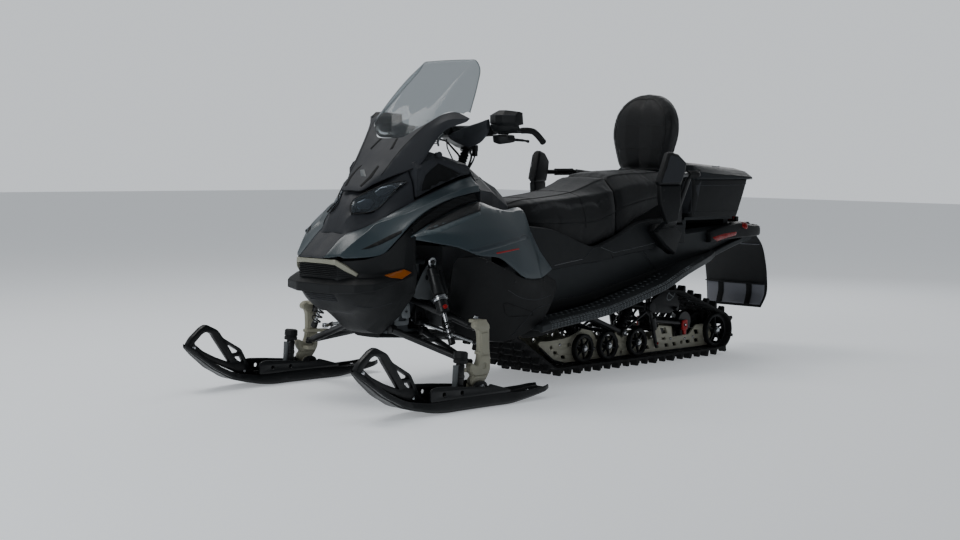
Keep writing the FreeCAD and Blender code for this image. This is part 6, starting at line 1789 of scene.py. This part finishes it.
belt_ob = bpy.data.objects.new("track_belt", me)
COLL.objects.link(belt_ob)
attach(belt_ob, "chassis")
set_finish(belt_ob, "track_rubber")
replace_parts(belt_ob, "track")


def frame_at(s):
    x, z, a = on_belt(s, BELT_T)
    n = Vector((math.cos(a), 0, math.sin(a)))
    t = Vector((-math.sin(a), 0, math.cos(a)))
    return Vector((x, 0, z)), n, t


lugs, clips, rods_ = Mesh(), Mesh(), Mesh()
for k in range(LUGS):
    s = k * step
    c, n, t = frame_at(s)
    # alternating blocks across the width; each is tapered with a cupped face
    cells = ((-188, -140, 1.0), (-126, -66, 0.94), (-52, -6, 1.0), (6, 52, 1.0), (66, 126, 0.94), (140, 188, 1.0)) if k % 2 == 0 else ((-188, -150, 0.92), (-138, -92, 1.0), (-80, -18, 0.94), (-10, 10, 0.6), (18, 80, 0.94), (92, 138, 1.0), (150, 188, 0.92))
    for y0, y1, hgt in cells:
        h = (LUG_H - 1.0) * hgt
        rings = []
        for lift, half_t, dy in ((-1.0, 12.5, 0.0), (3.0, 10.0, 1.0), (h * 0.55, 7.8, 2.5), (h - 2.5, 6.6, 4.0), (h, 5.2, 5.5)):
            rings.append([c + n * lift + t * half_t + Vector((0, y0 + dy, 0)), c + n * lift + t * (half_t - 2.0) + Vector((0, (y0 + y1) / 2, 0)), c + n * lift + t * half_t + Vector((0, y1 - dy, 0)),
                          c + n * lift - t * half_t + Vector((0, y1 - dy, 0)), c + n * lift - t * (half_t - 2.0) + Vector((0, (y0 + y1) / 2, 0)), c + n * lift - t * half_t + Vector((0, y0 + dy, 0))])
        lugs.solid(rings)
    # fibreglass rod's swelling across the belt, and the drive lugs inside
    inner = c - n * BELT_T
    for y0, y1 in ((-190, -130), (-94, 94), (130, 190)):
        rods_.solid([[inner + t * 9 + n * 1 + Vector((0, y, 0)), inner + t * 5 - n * 2.6 + Vector((0, y, 0)), inner - t * 5 - n * 2.6 + Vector((0, y, 0)), inner - t * 9 + n * 1 + Vector((0, y, 0))] for y in (y0, y1)])
    for yc in (-52, 52):
        rods_.solid([[inner + t * a + n * 1 + Vector((0, yc - w, 0)), inner + t * a + n * 1 + Vector((0, yc + w, 0)), inner - t * a + n * 1 + Vector((0, yc + w, 0)), inner - t * a + n * 1 + Vector((0, yc - w, 0))] if lv == 0 else
                     [inner + t * a - n * lv + Vector((0, yc - w, 0)), inner + t * a - n * lv + Vector((0, yc + w, 0)), inner - t * a - n * lv + Vector((0, yc + w, 0)), inner - t * a - n * lv + Vector((0, yc - w, 0))] for lv, a, w in ((0, 11, 9), (9, 8, 7), (17, 4, 5))])
    # bright clip folded over the belt beside each window
    cc = inner + t * (step * 0.0)
    for yc in (-112, 112):
        clips.solid([[cc + t * 13 + n * (BELT_T + 1.6) + Vector((0, yc - w, 0)), cc + t * 13 - n * 2.6 + Vector((0, yc - w, 0)), cc - t * 13 - n * 2.6 + Vector((0, yc - w, 0)), cc - t * 13 + n * (BELT_T + 1.6) + Vector((0, yc - w, 0))] for w in (14, -14)])
    for yc in (-182, 182):
        if k % 3 == 0:
            clips.solid([[cc + t * 6 - n * 2.4 + Vector((0, yc - w, 0)), cc + t * 6 - n * 0.2 + Vector((0, yc - w, 0)), cc - t * 6 - n * 0.2 + Vector((0, yc - w, 0)), cc - t * 6 - n * 2.4 + Vector((0, yc - w, 0))] for w in (5, -5)])
lug_ob = lugs.piece("track_lugs", RUBBER, slot="track_rubber")
rod_ob = rods_.piece("track_inner_lugs", RUBBER, slot="track_rubber")
clip_ob = clips.piece("track_clips", ALLOY, slot="bright_alloy")

# rails
RAIL = ((-1250, 96), (-1236, 46), (-70, 46), (10, 70), (96, 134), (112, 150), (100, 162), (50, 158), (-68, 163), (-146, 177), (-206, 201), (-273, 186), (-310, 140), (-420, 140),
        (-465, 178), (-505, 178), (-540, 150), (-590, 120), (-740, 112), (-764, 150), (-797, 178), (-900, 166), (-909, 112), (-1048, 116), (-1103, 161), (-1205, 160), (-1240, 156))
HOLES = ((-206, 162, 13), (-246, 150, 9), (-500, 148, 12), (-500, 66, 8), (-470, 96, 12), (-985, 78, 10), (-108, 132, 11), (20, 128, 9), (-1222, 130, 12))
SLOTS = ((-10, 100, 26, 16), (-66, 76, 30, 16), (-836, 148, 46, 30), (-836, 108, 30, 12), (-700, 74, 30, 18), (-780, 72, 30, 18), (-862, 72, 30, 18), (-925, 74, 26, 18), (-1040, 78, 34, 18), (-1112, 80, 34, 18), (-1112, 124, 36, 24))
cuts = list(HOLES) + [((x - l / 2 - h / 4, z - h / 2), (x + l / 2 - h / 4, z - h / 2), (x + l / 2 + h / 4, z + h / 2), (x - l / 2 + h / 4, z + h / 2)) for x, z, l, h in SLOTS]
rail_core = plate("rail_core", RAIL, 107, 117, RAIL_CREAM, rnd=9, bev=1.4, holes=cuts, hole_rnd=3)
flange = plate("rail_flange", ((-1240, 47), (-74, 47), (8, 71), (94, 135), (88, 142), (2, 79), (-76, 56), (-1240, 56)), 103.5, 118, RAIL_CREAM, rnd=2, bev=1.2)
shoe = plate("rail_shoe", ((-1238, 42.4), (-70, 42.4), (12, 66), (100, 129), (96, 136), (6, 72), (-74, 49), (-1238, 49)), 104.5, 119, BLACK, rnd=2, bev=1.2)
rb = [bolt("rail_bolt", (x, 117.5, z), (0, 1, 0), 7.5, ALLOY, h=5) for x, z in ((-40, 136), (-150, 150), (-290, 100), (-420, 104), (-540, 104), (-640, 92), (-760, 100), (-890, 104), (-1010, 96), (-1080, 100), (-1170, 140), (-1190, 74))]
rail_l = join("slide_rail_left", [rail_core, flange, shoe] + rb)
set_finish(rail_l, "cream_paint")
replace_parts(rail_l, "slide_rails")
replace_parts(pair(rail_l, "slide_rail_right"), "slide_rails")


def idler(name, x, z, r, y0, y1, spokes=6, face=1):
    """A spoked wheel with a rubber tyre; the face argument is not used."""
    ps = []
    w = y1 - y0
    ym = (y0 + y1) / 2
    ps.append(hoop("tyre", (x, y0, z), (x, y1, z), [(0, r - 11), (0, r - 4), (0.08, r - 1.2), (0.25, r), (0.75, r), (0.92, r - 1.2), (1, r - 4), (1, r - 11)], TYRE_MAT, seg=48))
    ps.append(hoop("rim", (x, y0 + 1, z), (x, y1 - 1, z), [(0.12, r - 17), (0.04, r - 10.5), (0.96, r - 10.5), (0.88, r - 17)], WHEEL, seg=48))
    for k in range(spokes):
        a = math.tau * k / spokes + 0.3
        ca, sa = math.cos(a), math.sin(a)
        cb, sb = -sa, ca
        rings = []
        for rr, wd, th in ((14, 8, 8), (r * 0.45, 5.0, 6), (r * 0.7, 4.5, 5.5), (r - 15, 8, 7)):
            rings.append([(x + ca * rr + cb * q * wd, ym + p * th, z + sa * rr + sb * q * wd) for p, q in ((-1, -1), (-1, 1), (1, 0.62), (1, -0.62))])
        ps.append(loft("spoke", rings, WHEEL, nu=3, angle=30, bev=1.0))
    ps.append(turned("hub", (x, y0 - 1, z), (x, y1 + 1, z), [(0, 9), (0, 18), (0.06, 21), (0.94, 21), (1, 18), (1, 9)], WHEEL, seg=28))
    ps.append(turned("bearing", (x, y0 - 2.5, z), (x, y1 + 2.5, z), [(0, 8.2), (0, 13), (0.5, 13), (1, 13), (1, 8.2)], ALLOY, seg=24))
    return join(name, ps)


WHEELS = ((-176, 112, 70), (-358, 112, 70), (-584, 112, 70))
for k, (x, z, r) in enumerate(WHEELS):
    w = idler("lower_wheel_left_%d" % k, x, z, r, 130, 158)
    cap = turned("lower_axle_left_%d" % k, (x, 119, z), (x, 166, z), [(0, 8), (0.9, 8), (0.91, 11), (0.97, 11), (1, 8)], ALLOY, seg=16)
    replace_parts(w, "lower_wheels")
    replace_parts(cap, "lower_wheels")
    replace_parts(pair(w, "lower_wheel_right_%d" % k), "lower_wheels")
    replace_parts(pair(cap, "lower_axle_right_%d" % k), "lower_wheels")
w = idler("rear_wheel_left", -1222, 130, 88, 136, 166, spokes=5)
w2 = idler("rear_wheel_inner_left", -1222, 130, 88, 14, 40, spokes=5)
ax = turned("rear_axle", (-1222, -176, 130), (-1222, 176, 130), [(0, 9), (0.01, 12), (0.99, 12), (1, 9)], ALLOY)
for o in (w, w2, ax, pair(w, "rear_wheel_right"), pair(w2, "rear_wheel_inner_right")):
    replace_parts(o, "rear_wheels")
w = idler("upper_wheel_left", -870, 262, 83, 60, 86)
ax = turned("upper_axle", (-870, -176, 262), (-870, 176, 262), [(0, 8), (0.01, 11), (0.99, 11), (1, 8)], STEEL)
for o in (w, ax, pair(w, "upper_wheel_right")):
    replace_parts(o, "upper_wheels")
dr = []
for y in (36, 120):
    dr.append(hoop("sprocket", (392, y, 352), (392, y + 26, 352), [(0, 62), (0, 80), (0.08, 84), (0.92, 84), (1, 80), (1, 62)], WHEEL, seg=54))
    dr.append(turned("sprocket_hub", (392, y, 352), (392, y + 26, 352), [(0, 26), (0.1, 30), (0.9, 30), (1, 26)], WHEEL, seg=32))
    for k in range(6):
        a = math.tau * k / 6
        ca, sa = math.cos(a), math.sin(a)
        dr.append(loft("sprocket_arm", [[(392 + ca * rr - sa * q * wd, y + 13 + p_ * 8, 352 + sa * rr + ca * q * wd) for p_, q in ((-1, -1), (-1, 1), (1, 1), (1, -1))] for rr, wd in ((26, 9), (45, 7), (66, 9))], WHEEL, nu=2, angle=30, bev=1))
    for k in range(9):
        a = math.tau * k / 9
        dr.append(turned("cog", (392 + 84 * math.cos(a), y - 0.0, 352 + 84 * math.sin(a)), (392 + 84 * math.cos(a), y + 26, 352 + 84 * math.sin(a)), [(0, 4), (0.08, 6.4), (0.92, 6.4), (1, 4)], WHEEL, seg=12))
sp = join("drive_sprockets_left", dr)
ax = turned("drive_shaft", (392, -203, 352), (392, 203, 352), [(0, 12), (0.01, 16), (0.99, 16), (1, 12)], STEEL, seg=24)
for o in (sp, ax, pair(sp, "drive_sprockets_right")):
    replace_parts(o, "drive_axle")

# details on the arms: drum's red adjuster, oval ring on the cheek plate, springs and rollers
ad = []
ad.append(plate("adj_block", ((-992, 148), (-948, 146), (-948, 196), (-990, 198)), 140, 150, RED_PAINT, rnd=7, bev=2.5, holes=((-970, 172, 9),)))
ad.append(plate("adj_tab", ((-980, 122), (-962, 121), (-958, 152), (-984, 152)), 140, 148, RED_PAINT, rnd=4, bev=1.5))
ad.append(turned("adj_screw", (-970, 138, 172), (-970, 154, 172), [(0, 8), (0.7, 8), (1, 5)], ALLOY, seg=6))
for k in range(5):
    ad.append(turned("drum_rib", (-994, 101 + k * 5.6, 186), (-994, 104.4 + k * 5.6, 186), [(0, 50), (0.5, 53), (1, 50)], BLACK, seg=48))
adj = join("spring_adjuster_left", ad)
pair(adj, "spring_adjuster_right")
ring_pts = [(-840 + 31 * math.cos(a) - 6 * math.sin(a), 152.5, 331 + 23 * math.sin(a) - 8 * math.cos(a)) for a in [math.tau * k / 20 for k in range(20)]]
oval = join("cheek_ring_left", [plate("cheek_cover", ((-650, 262), (-650, 300), (-700, 316), (-780, 352), (-846, 364), (-888, 346), (-914, 270), (-835, 242), (-699, 250)), 151.2, 154.2, BLACK, rnd=10, bev=1.2),
    pipe("ov", ring_pts, 3.4, GREY_LINE, n=2, seg=8, closed=True), pipe("ov2", [(-862, 154, 322), (-840, 154, 332), (-818, 154, 344)], 2.8, GREY_LINE, n=3, seg=8),
    bolt("cheek_bolt", (-700, 151, 284), (0, 1, 0), 9, ALLOY), bolt("cheek_bolt2", (-778, 151, 262), (0, 1, 0), 8, STEEL)])
pair(oval, "cheek_ring_right")
rl = join("arm_rollers_left", [
    turned("roll", (-668, 151, 282), (-668, 176, 282), [(0, 14), (0.05, 24), (0.3, 26), (0.7, 26), (0.95, 24), (1, 12)], BLACK, seg=32),
    turned("knuckle", (-479, 146, 166), (-479, 156, 166), [(0, 18), (0.6, 18), (1, 12)], STEEL, seg=24),
    bolt("knuckle_bolt", (-479, 155, 166), (0, 1, 0), 8, ALLOY),
    bolt("red_tip", (-758, 141, 92), (0, 1, 0), 6, RED_PAINT),
    turned("upright_collar", (-722, 131, 226), (-740, 131, 158), [(0, 9), (0.1, 16), (0.9, 16), (1, 9)], STEEL, seg=20),
])
pair(rl, "arm_rollers_right")
cs = coil("front_spring", (-150, 0, 271), (-300, 0, 140), 36, 5, 6.5, STEEL)
cs2 = coil("rear_spring", (-684, 0, 246), (-596, 0, 130), 34, 5, 5, STEEL)
join("skid_springs", [cs, cs2])
# ================================================================ seats and backrest
def inflate(ob, voxel, pressure=4.0, cap=10.0, frames=20, mat=None):
    """Cloth pass: remesh, let pressure round the form, keep each point within cap of its start, apply."""
    apply_all(ob)
    me = ob.data
    r = modify(ob, "REMESH", mode="VOXEL", voxel_size=voxel * MM, use_smooth_shade=True)
    apply_all(ob, 180)
    start = np.empty(len(ob.data.vertices) * 3)
    ob.data.vertices.foreach_get("co", start)
    start = start.reshape(-1, 3)
    c = modify(ob, "CLOTH")
    c.settings.quality = 4
    c.settings.mass = 0.3
    c.settings.tension_stiffness = 18
    c.settings.compression_stiffness = 18
    c.settings.shear_stiffness = 8
    c.settings.bending_stiffness = 1.5
    c.settings.use_pressure = True
    c.settings.uniform_pressure_force = pressure
    c.settings.effector_weights.gravity = 0
    c.collision_settings.use_collision = False
    c.collision_settings.use_self_collision = False
    c.point_cache.frame_start = 1
    c.point_cache.frame_end = frames
    sc = bpy.context.scene
    for f in range(1, frames + 1):
        sc.frame_set(f)
    apply_all(ob, 180)
    sc.frame_set(1)
    now = np.empty(len(ob.data.vertices) * 3)
    ob.data.vertices.foreach_get("co", now)
    now = now.reshape(-1, 3)
    if now.shape == start.shape and np.isfinite(now).all():
        d = now - start
        L = np.linalg.norm(d, axis=1, keepdims=True)
        limit = cap * MM
        # a soft limit keeps the surface even
        soft = limit * np.tanh(L / limit)
        d = np.where(L > 1e-9, d * (soft / np.maximum(L, 1e-9)), 0)
        now = start + d
        ob.data.vertices.foreach_set("co", now.ravel())
    else:
        ob.data.vertices.foreach_set("co", start.ravel())
    sm = modify(ob, "SMOOTH", factor=0.5, iterations=3)
    apply_all(ob, 180)
    finish_mesh(ob.data, mat, 180)
    return ob


def half_body(table):
    rings = []
    for x in sorted(table):
        h = table[x]
        rings.append([(x, y, z) for y, z in h] + [(x, -y, z) for y, z in reversed(h) if y > 0])
    return rings


RIDER = {
    -345: ((0, 690), (150, 690), (203, 650), (203, 780), (188, 858), (124, 922), (0, 928)),
    -222: ((0, 640), (150, 640), (200, 614), (200, 740), (182, 847), (114, 882), (0, 888)),
    -128: ((0, 620), (150, 620), (197, 598), (197, 730), (176, 839), (110, 854), (0, 858)),
    -20: ((0, 640), (140, 640), (193, 622), (193, 730), (166, 829), (108, 837), (0, 841)),
    118: ((0, 662), (130, 662), (183, 655), (183, 728), (156, 817), (102, 822), (0, 825)),
    237: ((0, 700), (110, 700), (155, 687), (155, 736), (134, 805), (90, 814), (0, 816)),
    318: ((0, 742), (70, 742), (101, 740), (101, 764), (94, 793), (68, 804), (0, 806)),
}
PASSENGER = {
    -760: ((0, 800), (150, 800), (186, 800), (193, 850), (184, 907), (138, 946), (0, 954)),
    -600: ((0, 770), (150, 770), (197, 755), (201, 830), (188, 902), (138, 944), (0, 952)),
    -470: ((0, 730), (150, 730), (201, 704), (203, 810), (188, 887), (136, 940), (0, 948)),
    -349: ((0, 692), (150, 692), (202, 652), (203, 782), (189, 861), (126, 925), (0, 932)),
}


def end_rounded(table, ends):
    """Adds a smaller ring close to each end so that the ends are rounded."""
    out = dict(table)
    xs = sorted(table)
    for x_end, inner in ((xs[0], xs[1]), (xs[-1], xs[-2])):
        if x_end in ends:
            d = 1 if inner > x_end else -1
            ring = table[x_end]
            zc = sum(z for y, z in ring) / len(ring)
            out[x_end + d * 16] = ring
            out[x_end] = tuple((y * 0.94, zc + (z - zc) * 0.92) for y, z in ring)
    return out


rider = loft("rider_seat_pad", half_body(end_rounded(RIDER, (-345, 318))), VINYL, nu=5, angle=180)
inflate(rider, 7.0, pressure=4.0, cap=5.0, mat=VINYL)
passenger = loft("passenger_seat_pad", half_body(end_rounded(PASSENGER, (-349, -760))), VINYL, nu=5, angle=180)
inflate(passenger, 7.0, pressure=4.0, cap=5.0, mat=VINYL)
rings = []
for z, w, xf, xb in ((957, 134, -768, -828), (966, 146, -754, -840), (1040, 174, -749, -850), (1140, 193, -751, -864), (1230, 181, -761, -872), (1290, 142, -778, -878), (1322, 98, -794, -876), (1335, 62, -806, -872), (1339, 36, -818, -862)):
    g = 3
    rings.append([(xf - g - 4, 0, z)] + [(xf - g, w * 0.45, z), (xf - g - 6, w * 0.78, z), (xf - 22, w - g, z), (xb + 24, w - g, z), (xb + g, w * 0.7, z), (xb + g, 0, z), (xb + g, -w * 0.7, z), (xb + 24, -w + g, z), (xf - 22, -w + g, z), (xf - g - 6, -w * 0.78, z), (xf - g, -w * 0.45, z)])
back = loft("backrest_pad", rings, VINYL, nu=4, angle=180)
inflate(back, 6.0, pressure=4.0, cap=6.0, mat=VINYL)


def paint_top_light(ob, mat):
    """Painted light: a paler copy of the vinyl on faces that look up, standing in for light from above."""
    ob.data.materials.append(mat)
    for p in ob.data.polygons:
        if p.normal.z > 0.42:
            p.material_index = 1


# the seats' upward faces get the paler vinyl: painted light from above
paint_top_light(rider, VINYL_LIT)
paint_top_light(passenger, VINYL_LIT)
for o, node in ((rider, "rider_seat"), (passenger, "passenger_seat"), (back, "backrest")):
    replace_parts(o, node)
    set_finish(o, "seat_vinyl")
seat_tree = tree_of(rider)
pass_tree = tree_of(passenger)
back_tree = tree_of(back)


def double_seam(name, pts, tree, n=10, gap=4.5):
    """A welt with a stitch line beside it."""
    a = stitch(name + "_w", pts, tree, 2.0, VINYL, n=n, lift=-0.4)
    b = stitch(name + "_t", [(x, y + (gap if y > 0 else -gap if y < 0 else 0), z - gap * 0.8) for x, y, z in pts], tree, 0.9, THREAD, n=n, lift=0.2)
    return [a, b]


sl = []
for sg in (1, -1):
    top = [(x, RIDER[x][5][0] * sg * 0.99, RIDER[x][5][1]) for x in sorted(RIDER)]
    sl += double_seam("rs%d" % sg, top, seat_tree)
    lowline = [(x, RIDER[x][3][0] * sg, RIDER[x][3][1] - 14) for x in sorted(RIDER)]
    sl += double_seam("rl%d" % sg, lowline, seat_tree)
    sl.append(stitch("rv%d" % sg, [(-100, 109 * sg, 850), (-106, 170 * sg, 838), (-112, 197 * sg, 750), (-118, 198 * sg, 690)], seat_tree, 1.8, VINYL, n=8, lift=-0.4))
sl.append(stitch("rc", [(-100, -109, 851), (-98, -40, 856), (-98, 40, 856), (-100, 109, 851)], seat_tree, 1.8, VINYL, n=10, lift=-0.4))
sl.append(stitch("rc2", [(150, -98, 822), (152, -40, 826), (152, 40, 826), (150, 98, 822)], seat_tree, 1.8, VINYL, n=10, lift=-0.4))
join("rider_seat_seams", sl)
sl = []
for sg in (1, -1):
    sl += double_seam("ps%d" % sg, [(x, PASSENGER[x][5][0] * sg, PASSENGER[x][5][1]) for x in sorted(PASSENGER)], pass_tree)
    sl += double_seam("pl%d" % sg, [(x, PASSENGER[x][3][0] * sg, PASSENGER[x][3][1] - 10) for x in sorted(PASSENGER)], pass_tree)
for x in (-470, -560, -650):
    sl.append(stitch("pc%d" % x, [(x, -136, 946), (x + 4, -50, 956), (x + 4, 50, 956), (x, 136, 946)], pass_tree, 1.7, VINYL, n=10, lift=-0.4))
join("passenger_seat_seams", sl)
sl = []
edge = [(-756, 126, 982), (-748, 152, 1050), (-750, 168, 1140), (-760, 156, 1228), (-778, 114, 1288), (-800, 56, 1316)]
loop_pts = edge + [(x, -y, z) for x, y, z in reversed(edge)]
sl.append(stitch("bw", [(x + 12, y, z) for x, y, z in loop_pts], back_tree, 2.1, VINYL, n=8, lift=-0.3))
sl.append(stitch("bt", [(x + 12, y * 0.955, z - 5) for x, y, z in loop_pts], back_tree, 0.9, THREAD, n=8, lift=0.2))
for z in (1060, 1180):
    sl.append(stitch("bh%d" % z, [(-740, -150, z), (-738, -60, z + 6), (-738, 60, z + 6), (-740, 150, z)], back_tree, 1.6, VINYL, n=10, lift=-0.5))
join("backrest_seams", sl)
# hard shell and posts behind the backrest
bs = [loft("shell", [[(-842 - d, -w, z), (-842 - d, w, z), (-866 - d * 0.5, w * 0.9, z), (-866 - d * 0.5, -w * 0.9, z)] for z, w, d in ((985, 118, 2), (1060, 140, 6), (1150, 150, 10), (1230, 136, 12), (1280, 96, 8))], BLACK, nu=5, angle=30, bev=4)]
bs += [pipe("post%d" % sg, [(-812, 92 * sg, 800), (-826, 92 * sg, 900), (-852, 92 * sg, 1000), (-862, 92 * sg, 1080)], 10, STEEL, n=6, seg=14) for sg in (1, -1)]
join("backrest_frame", bs)

# ================================================================ floor
floor_mat = material("studio_floor", (0.80, 0.83, 0.86), rough=0.85, vary=0.02, vary_scale=0.6, emission=0.36)
bm = bmesh.new()
bmesh.ops.create_grid(bm, x_segments=2, y_segments=2, size=30)
me = bpy.data.meshes.new("floor")
bm.to_mesh(me)
bm.free()
me.materials.append(floor_mat)
floor = bpy.data.objects.new("floor", me)
COLL.objects.link(floor)
floor.location = (0, 0, -0.001)
floor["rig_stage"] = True


def plain(v):
    if isinstance(v, (int, float)):
        return float(v)
    return [plain(c) for c in v]


{"cad": plain(BOX_CAD), "visual": plain(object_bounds())}
